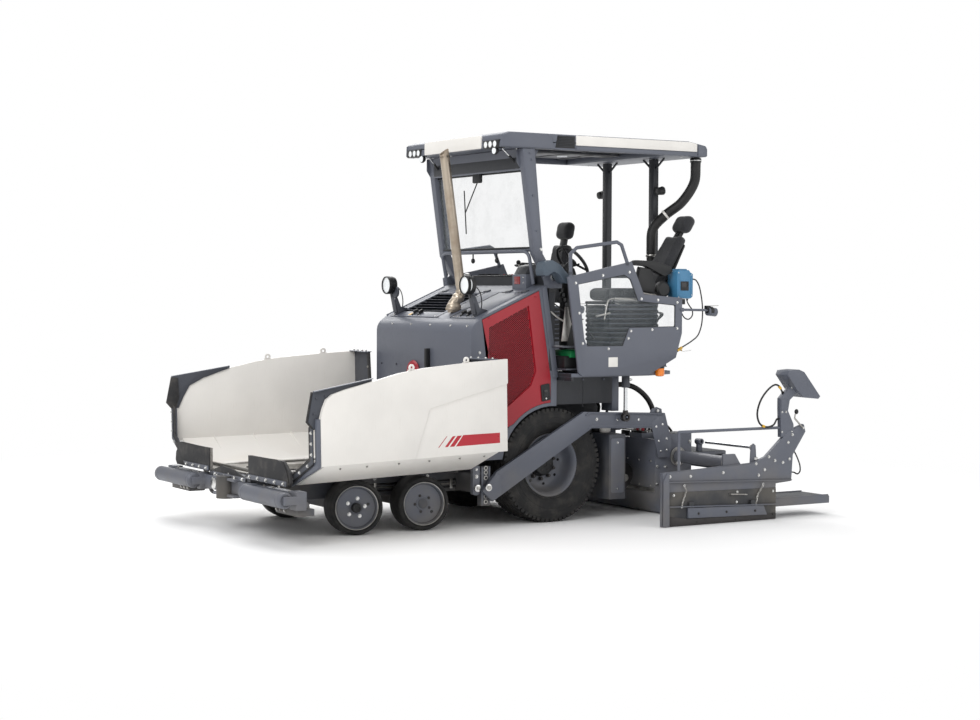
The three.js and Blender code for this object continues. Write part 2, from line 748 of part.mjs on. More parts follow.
// ---------------------------------------------------------------- platform
function platform() {
  const z1 = DECK_TOP_Z;
  const z0 = DECK_TOP_Z - DECK_THICKNESS;
  const deck = block(-PANEL_OUTER_X + PANEL_THICKNESS + SEAT_GAP, PANEL_OUTER_X - PANEL_THICKNESS - SEAT_GAP,
    60, DECK_REAR_Y, z0, z1);
  const wells = [LIFT_X, -LIFT_X].map((x) => block(x - 50, x + 50, LIFT_Y - 190, LIFT_Y + 70, z0 - 10, z1 + 10));
  const ears = [1, -1].map((side) => {
    const x = side > 0 ? LIFT_X + TRUNNION_HALF + SEAT_GAP : -LIFT_X - TRUNNION_HALF - SEAT_GAP - 20;
    return block(x, x + 20, LIFT_Y - 60, LIFT_Y + 60, z1 - 5, LIFT_TOP_Z + 45);
  });
  const bottom = TUNNEL_TOP_Z + 30 + SEAT_GAP;
  const tank = block(-FRAME_HALF_WIDTH, FRAME_HALF_WIDTH, 60, FRAME_REAR_Y, bottom, z0 + 5);
  const sideBox = block(-880, 880, 60, 700, REAR_TYRE_RADIUS * 2 + 28, z0 + 5);
  const bulkhead = block(-470, 470, DECK_REAR_Y - 40, REAR_POST_Y + 50, z0, z1);
  const pedestals = Object.values(SEATS).flatMap(({ side, baseTop, backY }) => {
    const x = side * SEAT_X;
    return [
      block(x - 190, x + 190, backY - 595, backY - 30, z1 - 5, baseTop),
      block(x - 70, x + 70, backY - 45, backY + 70, baseTop - 60, baseTop + SEAT_HEEL_RISE),
    ];
  });
  return join(cut(join(deck, bulkhead), ...wells), tank, sideBox, ...pedestals, ...ears);
}

const COLUMN_END = [700, 345, 2425];

function cowl() {
  const inner = HOOD_HALF_WIDTH - HOOD_WALL - LEDGE_DEPTH - SEAT_GAP;
  const wall = sidePlate([
    [-90, DECK_TOP_Z - 40],
    [-90, 2188],
    [-90, 2225],
    [110, 2225],
    [110, 2190],
    [-50, 2190],
    [-50, DECK_TOP_Z - 40],
  ], -inner, inner);
  const toe = block(-860, 860, -60, 60 - SEAT_GAP, DECK_TOP_Z - 40, DECK_TOP_Z);
  const bench = block(-620, 700, -20, 150, 2224, 2300);
  const column = bentBar([[700, 90, 2265], [700, 230, 2335], COLUMN_END], 30, 12);
  const columnFoot = block(640, 760, -20, 150, 2220, 2300);
  return join(wall, toe, bench, columnFoot, column);
}

function steeringWheel() {
  const ring = new THREE.TorusGeometry(190, 16, 8, 32);
  const hub = new THREE.CylinderGeometry(45, 45, 30, 16);
  hub.rotateX(Math.PI / 2);
  const spokes = [0, 120, 240].map((angle) => {
    const spoke = new THREE.BoxGeometry(24, 180, 14);
    spoke.translate(0, 95, 0);
    spoke.rotateZ(THREE.MathUtils.degToRad(angle));
    return solid(spoke);
  });
  return join(solid(ring), solid(hub), ...spokes);
}

function placeSteeringWheel() {
  const group = new THREE.Group();
  const along = new THREE.Vector3(0, 115, 90).normalize();
  group.quaternion.setFromUnitVectors(new THREE.Vector3(0, 0, 1), along);
  const seat = new THREE.Vector3(...COLUMN_END).addScaledVector(along, 15 + SEAT_GAP);
  group.position.copy(seat);
  paver.add(group);
  add('steering_wheel', steeringWheel(), DARK, group);
}

const WINDOW = [
  [120, 2230],
  [190, 1720],
  [225, 1652],
  [630, 1650],
  [705, 1822],
  [1245, 1826],
  [1245, 2036],
  [808, 2074],
  [716, 2280],
  [640, 2322],
];

function sidePanel() {
  const x0 = PANEL_OUTER_X - PANEL_THICKNESS;
  const plate = sidePlate([
    [3, 2295],
    [126, 1412],
    [170, 1378],
    [943, 1378],
    [1254, 1532],
    [1324, 1768],
    [1324, 2104],
    [869, 2137],
    [726, 2445],
  ], x0, PANEL_OUTER_X);
  const window = sidePlate(WINDOW, x0 - 5, PANEL_OUTER_X + 5);
  const x = PANEL_OUTER_X - 10;
  const hoop = bentBar([[x, 40, 2290], [x, 35, 2510], [x, 105, 2565], [x, 560, 2626], [x, 612, 2600], [x, 685, 2420]], 17);
  const socket = bar([x, 1275, 1600], [x, 1330, 1628], 12, 12);
  const lampArm = bar([x, 1310, 1991], [x, 1670, 1985], 12, 12);
  const lamp = bar([x, 1640, 1975], [x, 1735, 1965], 42, 16);
  return join(cut(plate, window), hoop, socket, lampArm, lamp);
}

function sideWindow() {
  const x0 = PANEL_OUTER_X - PANEL_THICKNESS + 6;
  return sidePlate(grown(WINDOW, -SEAT_GAP), x0, x0 + 6);
}

function seatCushion({ side, baseTop, backY }) {
  const x = side * SEAT_X;
  const rear = backY - 56;
  return block(x - 190, x + 190, rear - SEAT_LENGTH, rear, baseTop + SEAT_GAP, baseTop + 130);
}

function seatBack({ side, baseTop, backY, lean }) {
  const base = new THREE.BoxGeometry(380, SEAT_BACK_DEPTH, 600);
  base.translate(0, 0, 300);
  const neck = new THREE.BoxGeometry(90, 50, 120);
  neck.translate(0, 0, 650);
  const rest = new THREE.BoxGeometry(250, 120, 190);
  rest.translate(0, -5, 785);
  const shape = toGeometry(join(solid(base), solid(neck), solid(rest)));
  const angle = THREE.MathUtils.degToRad(lean);
  shape.rotateX(-angle);
  const heel = (-SEAT_BACK_DEPTH / 2) * Math.sin(angle);
  shape.translate(side * SEAT_X, backY, baseTop + SEAT_HEEL_RISE + SEAT_GAP - heel);
  return solid(shape);
}

function roofFrame() {
  const post = sidePlate([
    [-20, 2225 + SEAT_GAP],
    [90, 2225 + SEAT_GAP],
    [-100, 2510],
    [-194, ROOF_BOTTOM_Z - SEAT_GAP],
    [-326, ROOF_BOTTOM_Z - SEAT_GAP],
    [-188, 2510],
  ], 800, 880);
  const lowerBar = bar([-840, -175, 2548], [840, -175, 2548], 18, 12);
  const header = sidePlate([
    [-215, 3286],
    [-185, 3286],
    [-200, ROOF_BOTTOM_Z - SEAT_GAP],
    [-320, ROOF_BOTTOM_Z - SEAT_GAP],
    [-300, 3286],
  ], -840, 840);
  return join(post, solid(mirrorX(toGeometry(post))), lowerBar, header);
}

function rearPosts() {
  const y = REAR_POST_Y;
  const pieces = [1, -1].map((side) => block(side * 400 - 40, side * 400 + 40, y - 30, y + 30,
    DECK_TOP_Z + SEAT_GAP, ROOF_BOTTOM_Z - SEAT_GAP));
  const tie = block(-400, 400, y - 20, y + 20, 2300, 2360);
  return join(...pieces, tie);
}

function windshield() {
  return sidePlate([
    [-180, 2566 + SEAT_GAP],
    [-172, 2566 + SEAT_GAP],
    [-243, 3286 - SEAT_GAP],
    [-251, 3286 - SEAT_GAP],
  ], -800 + SEAT_GAP, 800 - SEAT_GAP);
}

function roof() {
  const w = ROOF_HALF_WIDTH;
  const slab = sidePlate([
    [ROOF_FRONT_Y, ROOF_BOTTOM_Z],
    [ROOF_FRONT_Y + 10, 3615],
    [-480, ROOF_TOP_Z],
    [1600, ROOF_TOP_Z],
    [ROOF_REAR_Y, 3600],
    [ROOF_REAR_Y, ROOF_BOTTOM_Z],
  ], -w, w);
  const under = block(-w + 40, w - 40, -120, 1330, ROOF_BOTTOM_Z - 10, ROOF_BOTTOM_Z + 60);
  return cut(slab, under);
}

function extractionHose() {
  return tube([
    [780, 1760, ROOF_BOTTOM_Z - 2 * SEAT_GAP],
    [780, 1760, 3400],
    [745, 1770, 3240],
    [640, 1700, 3050],
    [545, 1570, 2920],
    [500, 1450, 2780],
    [500, 1430, 2600],
    [495, 1440, 2400],
    [495, 1450, 2150],
  ], 50, 12, 26);
}

const BOX_BOTTOM_Z = 2095;
const BOX_REAR_Y = 1490;
const BOX_BRACKET_BOTTOM_Z = 2040;

function controlBox() {
  return join(
    block(950, 1110, 1295, BOX_REAR_Y, BOX_BOTTOM_Z, BOX_BOTTOM_Z + 280),
    block(1000, PANEL_OUTER_X - PANEL_THICKNESS - SEAT_GAP, 1210, 1380, BOX_BRACKET_BOTTOM_Z, BOX_BOTTOM_Z + 2),
  );
}

// ---------------------------------------------------------------- cables and hoses
const CABLE_SIDES = 8;

// Electric lead from the box's rear face, out and down to the socket on the panel's rear edge.
function controlCable() {
  return tube([
    [1080, BOX_REAR_Y + SEAT_GAP, 2284],
    [1080, 1515, 2284],
    [1080, 1540, 2276],
    [1080, 1577, 2229],
    [1080, 1607, 2129],
    [1080, 1624, 2018],
    [1080, 1625, 1930],
    [1082, 1610, 1830],
    [1090, 1562, 1740],
    [1108, 1485, 1694],
    [1134, 1400, 1660],
    [1140, 1357, 1641.9],
    [1140, 1330.5, 1628.3],
  ], 6.5, CABLE_SIDES, 44);
}

// Short loop under the box, back up into its bracket.
function boxCable() {
  return tube([
    [1095, 1425, BOX_BOTTOM_Z - SEAT_GAP],
    [1095, 1425, 2072],
    [1097, 1450, 2030],
    [1100, 1485, 1985],
    [1100, 1484, 1932],
    [1100, 1441, 1898],
    [1100, 1392, 1912],
    [1100, 1358, 1955],
    [1100, 1330, 2010],
    [1100, 1330, BOX_BRACKET_BOTTOM_Z - SEAT_GAP],
  ], 6, CABLE_SIDES, 30);
}

// Lead of the screed console: a wide loop beside its post.
function consoleCable() {
  return tube([
    [1735, 2091.7, 1198.6],
    [1735, 2075, 1219.4],
    [1745, 2040, 1262],
    [1755, 1979, 1283],
    [1765, 1883, 1240],
    [1768, 1785, 1131],
    [1768, 1749, 1005],
    [1768, 1785, 915],
    [1768, 1865, 884],
    [1760, 1958, 902],
    [1738, 2016, 953],
    [1735, 2044.2, 956],
  ], 9, CABLE_SIDES, 44);
}

// Lead from the gate's upper edge down to its lower one.
function gateCable() {
  return tube([
    [1735, 2225.3, 639.7],
    [1735, 2243, 626.5],
    [1735, 2284, 560],
    [1735, 2312, 492],
    [1735, 2312, 440],
    [1735, 2282, 416],
    [1735, 2234, 434],
    [1735, 2192, 437],
  ], 7, CABLE_SIDES, 24);
}

const SCREED_HOSE_RADIUS = 26;
const VALVE_TOP_Z = 779;

// Bundle of hoses in one sleeve, from the tractor's rear face to the screed's valve block.
function screedHose() {
  return tube([
    [430, FRAME_REAR_Y + SEAT_GAP, 1215],
    [430, FRAME_REAR_Y + 60, 1215],
    [440, 930, 1228],
    [490, 1050, 1250],
    [550, 1190, 1225],
    [590, 1320, 1120],
    [600, 1395, 985],
    [600, 1405, 880],
    [600, 1405, VALVE_TOP_Z + 40],
    [600, 1405, VALVE_TOP_Z + SEAT_GAP],
  ], SCREED_HOSE_RADIUS, CABLE_SIDES, 16);
}

// ---------------------------------------------------------------- rear body, augers, lift
function rearBody() {
  const half = FRAME_HALF_WIDTH + 20;
  const top = block(-half, half, FRAME_REAR_Y + SEAT_GAP, 1010, 760, TUNNEL_TOP_Z + 30);
  const gearCase = block(-45, 45, FRAME_REAR_Y + SEAT_GAP, 1060, 270, 780);
  const locker = block(FRAME_HALF_WIDTH + SEAT_GAP, 925, 640, 830, 180, 800);
  return join(top, gearCase, locker, solid(mirrorX(toGeometry(locker))));
}

function auger() {
  const start = 45 + SEAT_GAP;
  const shaft = bar([start, AUGER_Y, AUGER_Z], [start + AUGER_LENGTH, AUGER_Y, AUGER_Z], 35, 12);
  const blades = [];
  for (let i = 0; i < 5; i += 1) {
    const x = start + 60 + i * 130;
    blades.push(bar([x, AUGER_Y, AUGER_Z], [x + 14, AUGER_Y, AUGER_Z], AUGER_RADIUS, 24));
  }
  return join(shaft, ...blades);
}

function liftBarrel() {
  const top = bar([LIFT_X - TRUNNION_HALF, LIFT_Y, LIFT_TOP_Z], [LIFT_X + TRUNNION_HALF, LIFT_Y, LIFT_TOP_Z], 40, 16);
  const outer = bar([LIFT_X, LIFT_Y, LIFT_TOP_Z], [LIFT_X, LIFT_Y, 1250], 42, 16);
  const bore = bar([LIFT_X, LIFT_Y, 1580], [LIFT_X, LIFT_Y, 1240], 20, 16);
  return cut(join(top, outer), bore);
}

function liftRod() {
  const rod = bar([LIFT_X, LIFT_Y, 1300], [LIFT_X, LIFT_Y, LIFT_EYE_Z], 19.5, 16);
  const eye = bar([LIFT_X - 25, LIFT_Y, LIFT_EYE_Z], [LIFT_X + 25, LIFT_Y, LIFT_EYE_Z], 42, 16);
  const bore = bar([LIFT_X - 30, LIFT_Y, LIFT_EYE_Z], [LIFT_X + 30, LIFT_Y, LIFT_EYE_Z], LIFT_EYE_BORE, 16);
  return cut(join(rod, eye), bore);
}

// ---------------------------------------------------------------- screed
function towArm() {
  const plate = sidePlate([
    [-800, 340],
    [-690, 240],
    [406, 872],
    [1145, 848],
    [1200, 560],
    [1330, 560],
    [1345, 720],
    [1263, 991],
    [314, 1029],
    [-647, 509],
  ], ARM_INNER_X, ARM_OUTER_X);
  const bore = bar([ARM_INNER_X - 5, TOW_PIN_Y, TOW_PIN_Z], [ARM_OUTER_X + 5, TOW_PIN_Y, TOW_PIN_Z],
    TOW_PIN_RADIUS + 0.6, 24);
  const liftPin = bar([ARM_OUTER_X - 5, LIFT_Y, LIFT_EYE_Z], [LIFT_X + 30, LIFT_Y, LIFT_EYE_Z], LIFT_PIN_RADIUS, 12);
  return join(cut(plate, bore), liftPin);
}

function screedMain() {
  const w = SCREED_HALF_WIDTH;
  const outline = [
    [SCREED_FRONT_Y, 730],
    [SCREED_FRONT_Y, 200],
    [SCREED_FRONT_Y + 60, SCREED_SOLE_Z + 30],
    [SCREED_FRONT_Y + 90, SCREED_SOLE_Z],
    [1620, SCREED_SOLE_Z],
    [1620, 780],
    [SCREED_FRONT_Y + 160, 780],
  ];
  const wall = 28;
  const pocket = block(-w + wall, w - wall, SCREED_FRONT_Y + 20, 1700, 150, 800);
  const bore = bar([-w - 5, GUIDE_Y, GUIDE_Z], [w + 5, GUIDE_Y, GUIDE_Z], GUIDE_RADIUS + 0.6, 20);
  const body = cut(sidePlate(outline, -w, w), pocket, bore);
  const walkway = block(-w, w, 1600, SCREED_REAR_Y, 560, 590);
  const rearWall = block(-w, w, SCREED_REAR_Y - 30, SCREED_REAR_Y, 400, 590);
  const valves = block(500, 700, SCREED_FRONT_Y + 5, 1460, 650, VALVE_TOP_Z);
  return join(body, walkway, rearWall, valves, solid(mirrorX(toGeometry(valves))));
}

function extension() {
  const x0 = GATE_OUTER_X - GATE_THICKNESS;
  const tubeEnd = bar([GUIDE_INNER_X, GUIDE_Y, GUIDE_Z], [x0, GUIDE_Y, GUIDE_Z], GUIDE_RADIUS, 20);
  const bracket = sidePlate([
    [1380, 480],
    [1380, 640],
    [1520, 640],
    [1700, 380],
    [1700, 300],
  ], x0 - 20, x0 + 5);
  const box = block(EXTENSION_INNER_X, GATE_OUTER_X - GATE_THICKNESS + 5, 1640, 2010, SCREED_SOLE_Z, 380);
  const gate = sidePlate([
    [650, 4],
    [650, 500],
    [1706, 549],
    [1864, 599],
    [2145, 836],
    [2332, 897],
    [2358, 819],
    [2198, 604],
    [2188, 354],
    [2000, 340],
    [2000, 4],
  ], GATE_OUTER_X - GATE_THICKNESS, GATE_OUTER_X);
  const x = GATE_OUTER_X - 15;
  const post = sidePlate([
    [2052, 780],
    [2042, 1060],
    [2042, 1150],
    [2078, 1187],
    [2205, 1289],
    [2262, 1330],
    [2320, 1262],
    [2156, 1132],
    [2135, 1030],
    [2205, 900],
    [2205, 800],
  ], x - 25, x + 25);
  const panel = sidePlate([
    [2085, 1375],
    [2105, 1416],
    [2225, 1424],
    [2290, 1400],
    [2494, 1161],
    [2470, 1138],
    [2285, 1158],
    [2195, 1240],
  ], GATE_OUTER_X - 120, GATE_OUTER_X + 60);
  const step = block(1300, 1700, 2000, REAR_END_Y, 110, 180);
  const guard = bentBar([[x, 850, 480], [x, 850, 870], [x, 2090, 870]], 14);
  return join(box, tubeEnd, bracket, gate, post, panel, step, guard);
}

// ---------------------------------------------------------------- build it
add('chassis', chassis(), GREY);
add('hopper_floor', hopperFloor(), STEEL);
placeWing(1);
placeWing(-1);
add('push_beam', pushBeam(), GREY);
addPair('push_roller', pushRoller(), GREY);
frontWheels();
addPair('rear_tyre', rearTyre(), RUBBER);
addPair('rear_rim', rearRim(), GREY);
add('engine', engine(), DARK);
add('hood', hood(), GREY);
addPair('service_door', serviceDoor(), RED);
add('hatch_left', hatch(...HATCHES.left), GREY);
add('hatch_right', hatch(...HATCHES.right), GREY);
add('exhaust', exhaust(), BRONZE);
add('platform', platform(), GREY);
add('cowl', cowl(), DARK);
placeSteeringWheel();
addPair('side_panel', sidePanel(), GREY);
addPair('side_window', sideWindow(), GLASS);
for (const [side, seat] of Object.entries(SEATS)) {
  add(`seat_cushion_${side}`, seatCushion(seat), CUSHION);
  add(`seat_back_${side}`, seatBack(seat), CUSHION);
}
add('roof_frame', roofFrame(), DARK);
add('rear_posts', rearPosts(), DARK);
add('windshield', windshield(), GLASS);
add('roof', roof(), WHITE);
add('extraction_hose', extractionHose(), RUBBER);
add('control_box', controlBox(), BLUE);
add('rear_body', rearBody(), DARK);
addPair('auger', auger(), STEEL);
addPair('lift_barrel', liftBarrel(), DARK);
addPair('lift_rod', liftRod(), CHROME);
addPair('tow_arm', towArm(), GREY);
add('screed_main', screedMain(), GREY);
addPair('extension', extension(), GREY);
add('control_cable', controlCable(), RUBBER);
add('box_cable', boxCable(), RUBBER);
add('console_cable', consoleCable(), RUBBER);
add('gate_cable', gateCable(), RUBBER);
add('screed_hose', screedHose(), RUBBER);

paver.position.y = -(FRONT_END_Y + REAR_END_Y) / 2;

export default paver;
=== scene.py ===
import math

import bmesh
import bpy
from mathutils import Matrix, Vector
from mathutils.geometry import interpolate_bezier


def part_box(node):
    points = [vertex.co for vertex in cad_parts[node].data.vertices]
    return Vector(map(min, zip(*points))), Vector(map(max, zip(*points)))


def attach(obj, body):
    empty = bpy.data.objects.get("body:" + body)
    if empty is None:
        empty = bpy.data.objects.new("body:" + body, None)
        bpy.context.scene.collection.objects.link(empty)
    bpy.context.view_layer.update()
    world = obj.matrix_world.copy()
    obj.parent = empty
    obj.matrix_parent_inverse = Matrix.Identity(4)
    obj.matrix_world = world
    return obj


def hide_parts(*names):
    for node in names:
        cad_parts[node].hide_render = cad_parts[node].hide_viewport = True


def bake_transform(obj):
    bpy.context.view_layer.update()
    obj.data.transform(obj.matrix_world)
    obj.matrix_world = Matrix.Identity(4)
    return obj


# Compact wheeled asphalt paver. Metres, +X is the machine's left, +Y its rear, +Z up.
# Places are measured from the rear axle (Y 0) and the ground (Z 0).
# place() moves each finished mesh to where the frame has the rear axle.

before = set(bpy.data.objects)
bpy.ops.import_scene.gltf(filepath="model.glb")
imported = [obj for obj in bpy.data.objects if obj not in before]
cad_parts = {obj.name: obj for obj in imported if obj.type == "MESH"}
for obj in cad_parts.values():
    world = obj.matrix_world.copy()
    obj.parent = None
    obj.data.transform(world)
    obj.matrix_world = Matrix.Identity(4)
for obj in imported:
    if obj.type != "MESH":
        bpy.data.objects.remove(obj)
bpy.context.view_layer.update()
RIM_LOW, RIM_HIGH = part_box("rear_rim_left")
AXLE_Y = (RIM_LOW.y + RIM_HIGH.y) / 2
AXLE_Z = (RIM_LOW.z + RIM_HIGH.z) / 2

# ---------------------------------------------------------------- driving dimensions
EDGE = 0.003                    # radius of a folded or ground edge
REAR_TYRE_RADIUS = 0.536
REAR_TYRE_WIDTH = 0.385
REAR_TYRE_OUTER_X = 0.921
FRONT_TYRE_RADIUS = 0.2445
FRONT_TYRE_WIDTH = 0.26
FRONT_TYRE_OUTER_X = 0.86
FRONT_AXLES_Y = (-1.985, -1.319)
KING_PIN_X = 0.66
STEER_DEG = (-12.5, -8.3)

WING_HINGE = Vector((0.6, -0.85, 0.56))
WING_FLARE = math.radians(5.7)
WING_FALL = math.radians(1.15)
WING_REACH = 0.77

HOOD_TOP_AT_AXLE = 2.2566
HOOD_SLOPE = 0.431
PANEL_X = 1.15
ROOF_HALF_WIDTH = 0.896
GATE_X = 1.75


def hood_top(y):
    """Height of the hood's sloping top at a distance behind the rear axle."""
    return HOOD_TOP_AT_AXLE + HOOD_SLOPE * y


# ---------------------------------------------------------------- camera
def make_camera():
    yaw = 0.5516
    pitch = 0.0370
    roll = 0.0040
    focal_px = 1871.93
    forward = Vector((-math.cos(yaw) * math.cos(pitch), math.sin(yaw) * math.cos(pitch), -math.sin(pitch)))
    right = forward.cross(Vector((0, 0, 1))).normalized()
    up = right.cross(forward)
    turned_right = right * math.cos(roll) + up * math.sin(roll)
    turned_up = up * math.cos(roll) - right * math.sin(roll)
    camera = bpy.data.objects.new("camera", bpy.data.cameras.new("camera"))
    bpy.context.collection.objects.link(camera)
    camera.matrix_world = Matrix((
        (turned_right.x, turned_up.x, -forward.x, 15.4796),
        (turned_right.y, turned_up.y, -forward.y, -9.6545 + AXLE_Y),
        (turned_right.z, turned_up.z, -forward.z, 2.1655),
        (0, 0, 0, 1),
    ))
    camera.data.sensor_width = 36
    camera.data.lens = 36 * focal_px / 980
    camera.data.clip_end = 200
    bpy.context.scene.camera = camera


make_camera()


# ---------------------------------------------------------------- material maths
class Value:
    """A socket that adds Math nodes when it is used in an expression."""

    def __init__(self, nodes, socket):
        self.nodes = nodes
        self.socket = socket

    def _math(self, operation, *others, clamp=False):
        values = [other.socket if isinstance(other, Value) else other for other in others]
        return self.nodes.node("ShaderNodeMath", {"operation": operation, "use_clamp": clamp},
                               dict(enumerate(values)))

    def __add__(self, other):
        return self._math("ADD", self, other)

    def __radd__(self, other):
        return self._math("ADD", other, self)

    def __sub__(self, other):
        return self._math("SUBTRACT", self, other)

    def __rsub__(self, other):
        return self._math("SUBTRACT", other, self)

    def __mul__(self, other):
        return self._math("MULTIPLY", self, other)

    def __rmul__(self, other):
        return self._math("MULTIPLY", other, self)

    def __truediv__(self, other):
        return self._math("DIVIDE", self, other)

    def above(self, edge):
        return self._math("GREATER_THAN", self, edge)

    def below(self, edge):
        return self._math("LESS_THAN", self, edge)

    def absolute(self):
        return self._math("ABSOLUTE", self)

    def wrapped(self, low, high):
        return self._math("WRAP", self, high, low)

    def raised(self, power):
        return self._math("POWER", self, power)

    def clamped(self):
        return self._math("ADD", self, 0.0, clamp=True)

    def larger(self, other):
        return self._math("MAXIMUM", self, other)

    def ramp(self, low, high):
        """0 below low, 1 above high, smooth between them."""
        return self.nodes.node("ShaderNodeMapRange", {"interpolation_type": "SMOOTHSTEP"},
                               {"Value": self, "From Min": low, "From Max": high})


class Nodes:
    """A new material's node tree, with its shader at hand."""

    def __init__(self, name):
        self.material = bpy.data.materials.new(name)
        self.material.use_nodes = True
        self.tree = self.material.node_tree
        self.shader = self.tree.nodes["Principled BSDF"]
        where = self.tree.nodes.new("ShaderNodeTexCoord").outputs["Object"]
        self.place = Value(self, where)

    def node(self, kind, settings, values, output=0):
        made = self.tree.nodes.new(kind)
        for key, value in settings.items():
            if key == "stops":
                for i, (at, colour) in enumerate(value):
                    stop = made.color_ramp.elements[i] if i < 2 else made.color_ramp.elements.new(at)
                    stop.position = at
                    stop.color = colour
            else:
                setattr(made, key, value)
        for key, value in values.items():
            socket = made.inputs[key]
            if isinstance(value, Value):
                value = value.socket
            if isinstance(value, bpy.types.NodeSocket):
                self.tree.links.new(value, socket)
            else:
                socket.default_value = value
        return Value(self, made.outputs[output])

    def axis(self, name):
        return self.node("ShaderNodeSeparateXYZ", {}, {0: self.place}, output=name)

    def noise(self, scale, detail=3, roughness=0.5, where=None):
        return self.node("ShaderNodeTexNoise", {}, {"Vector": where or self.place, "Scale": scale,
                                                    "Detail": detail, "Roughness": roughness})

    def stretched(self, scale):
        return self.node("ShaderNodeMapping", {}, {"Vector": self.place, "Scale": scale})

    def mix(self, factor, a, b):
        return self.node("ShaderNodeMix", {"data_type": "RGBA"}, {0: factor, 6: a, 7: b}, output=2)

    def bump(self, height, distance, strength=1.0):
        made = self.node("ShaderNodeBump", {},
                         {"Height": height, "Distance": distance, "Strength": strength})
        self.set(Normal=made)

    def set(self, **values):
        for key, value in values.items():
            socket = self.shader.inputs[key.replace("_", " ")]
            if isinstance(value, Value):
                self.tree.links.new(value.socket, socket)
            else:
                socket.default_value = value


def rgb(*values):
    """An sRGB colour from 0 to 255 as the linear colour that a shader takes."""
    linear = [v / 255 / 12.92 if v <= 10 else ((v / 255 + 0.055) / 1.055) ** 2.4 for v in values]
    return (*linear, 1.0)


# ---------------------------------------------------------------- finishes
def painted(name, colour, worn, roughness=0.42, dust=(118, 112, 102), dust_and_shade_reach=0.9, scratches=0.5):
    """Sprayed plate: faint unevenness, thin dust low down, and small chips to the primer. On the white
    paint the low film is also painted shade of the lower panels that face down.
    """
    m = Nodes(name)
    height = m.axis("Z")
    cloud = m.noise(2.3, 4)
    grain = m.noise(38, 4, 0.6)
    fine = m.noise(420, 2)
    streak = m.noise(6, 3, 0.6, where=m.stretched((14, 14, 1.2)))
    # film of dust low down; with the white paint's beige dust colour it is also painted shade on the lower
    # panels
    low = (1 - height.ramp(0.15, dust_and_shade_reach)) * cloud.ramp(0.36, 0.66) * 0.5
    film = (low + streak.ramp(0.56, 0.8) * 0.1).clamped()
    chips = grain.ramp(0.735, 0.755) * cloud.ramp(0.5, 0.6) * scratches
    tone = m.mix(cloud.ramp(0.3, 0.72), [c * 0.93 for c in colour[:3]] + [1], colour)
    dust_and_shade_tone = m.mix(film, tone, rgb(*dust))
    m.set(Base_Color=m.mix(chips, dust_and_shade_tone, worn),
          Roughness=(film * 0.35 + grain * 0.14 + (roughness - 0.07)).clamped())
    m.shader.inputs["Coat Roughness"].default_value = 0.2
    m.bump(fine * 0.3 + grain * 0.7, 0.0006, 0.35)
    return m.material


def metal(name, colour, roughness, stain=(70, 58, 48), amount=0.35, scale=30.0, brushed=(1, 1, 1)):
    """Bare or plated steel with brushing, and oxide that gathers in patches."""
    m = Nodes(name)
    cloud = m.noise(scale * 0.2, 5, 0.6)
    brush = m.noise(scale * 5, 3, 0.7, where=m.stretched(brushed))
    patch = cloud.ramp(0.48, 0.68) * amount
    m.set(Base_Color=m.mix(patch, colour, rgb(*stain)),
          Metallic=1 - patch * 0.8,
          Roughness=(patch * 0.4 + brush * 0.22 + (roughness - 0.1)).clamped())
    m.bump(brush, 0.0004, 0.4)
    return m.material


def rubber(name, colour, dust, amount=0.35, roughness=0.78):
    m = Nodes(name)
    cloud = m.noise(9, 5, 0.6)
    grain = m.noise(160, 3, 0.6)
    m.set(Base_Color=m.mix(cloud.ramp(0.42, 0.7) * amount, rgb(*colour), rgb(*dust)),
          Roughness=(grain * 0.16 + (roughness - 0.08)).clamped())
    m.bump(grain, 0.0008, 0.5)
    return m.material


def plastic(name, colour, roughness=0.5, grain_scale=620.0):
    m = Nodes(name)
    leather = m.noise(grain_scale, 2)
    cloud = m.noise(12, 3)
    m.set(Base_Color=m.mix(cloud.ramp(0.35, 0.7) * 0.4, rgb(*colour), rgb(*[c * 0.8 + 10 for c in colour])),
          Roughness=(cloud * 0.16 + (roughness - 0.08)).clamped())
    m.bump(leather, 0.0004, 0.4)
    return m.material


def fabric(name, colour, thread, scale=900.0):
    """Woven seat cloth: two crossing sets of ribs from the same place, worn paler where it is sat on."""
    m = Nodes(name)
    x = m.axis("X")
    y = m.axis("Y")
    z = m.axis("Z")
    warp = ((x + z * 0.35) * scale).wrapped(-1.0, 1.0).absolute()
    weft = ((y + z) * scale).wrapped(-1.0, 1.0).absolute()
    weave = warp.larger(weft)
    worn = m.noise(7, 4, 0.6).ramp(0.45, 0.7)
    m.set(Base_Color=m.mix(weave.ramp(0.55, 1.0) * 0.5 + worn * 0.2, rgb(*colour), rgb(*thread)),
          Roughness=(weave * 0.1 + 0.78).clamped(), Sheen_Weight=0.25, Sheen_Roughness=0.5)
    m.bump(weave, 0.0006, 0.4)
    return m.material


def glass(name, tint, roughness=0.04, alpha=0.22):
    """Thin safety glass: mostly see-through, with a light film of dust."""
    m = Nodes(name)
    film = m.noise(3.5, 5, 0.65).ramp(0.4, 0.75)
    m.set(Base_Color=m.mix(film * 0.3, rgb(*tint), rgb(206, 204, 198)),
          Alpha=(film * 0.08 + alpha).clamped(),
          Roughness=(film * 0.12 + roughness).clamped())
    return m.material


def lens(name, colour, glow=0.0):
    """Moulded lens with upright ribs."""
    m = Nodes(name)
    ribs = ((m.axis("X") + m.axis("Y")) * 160).wrapped(-1.0, 1.0).absolute()
    m.set(Base_Color=m.mix(ribs * 0.35, rgb(*colour), rgb(*[min(255, c * 1.25) for c in colour])),
          Roughness=(ribs * 0.1 + 0.08).clamped(), Coat_Weight=0.6,
          Emission_Color=rgb(*colour), Emission_Strength=glow)
    m.bump(ribs, 0.0012, 0.6)
    return m.material


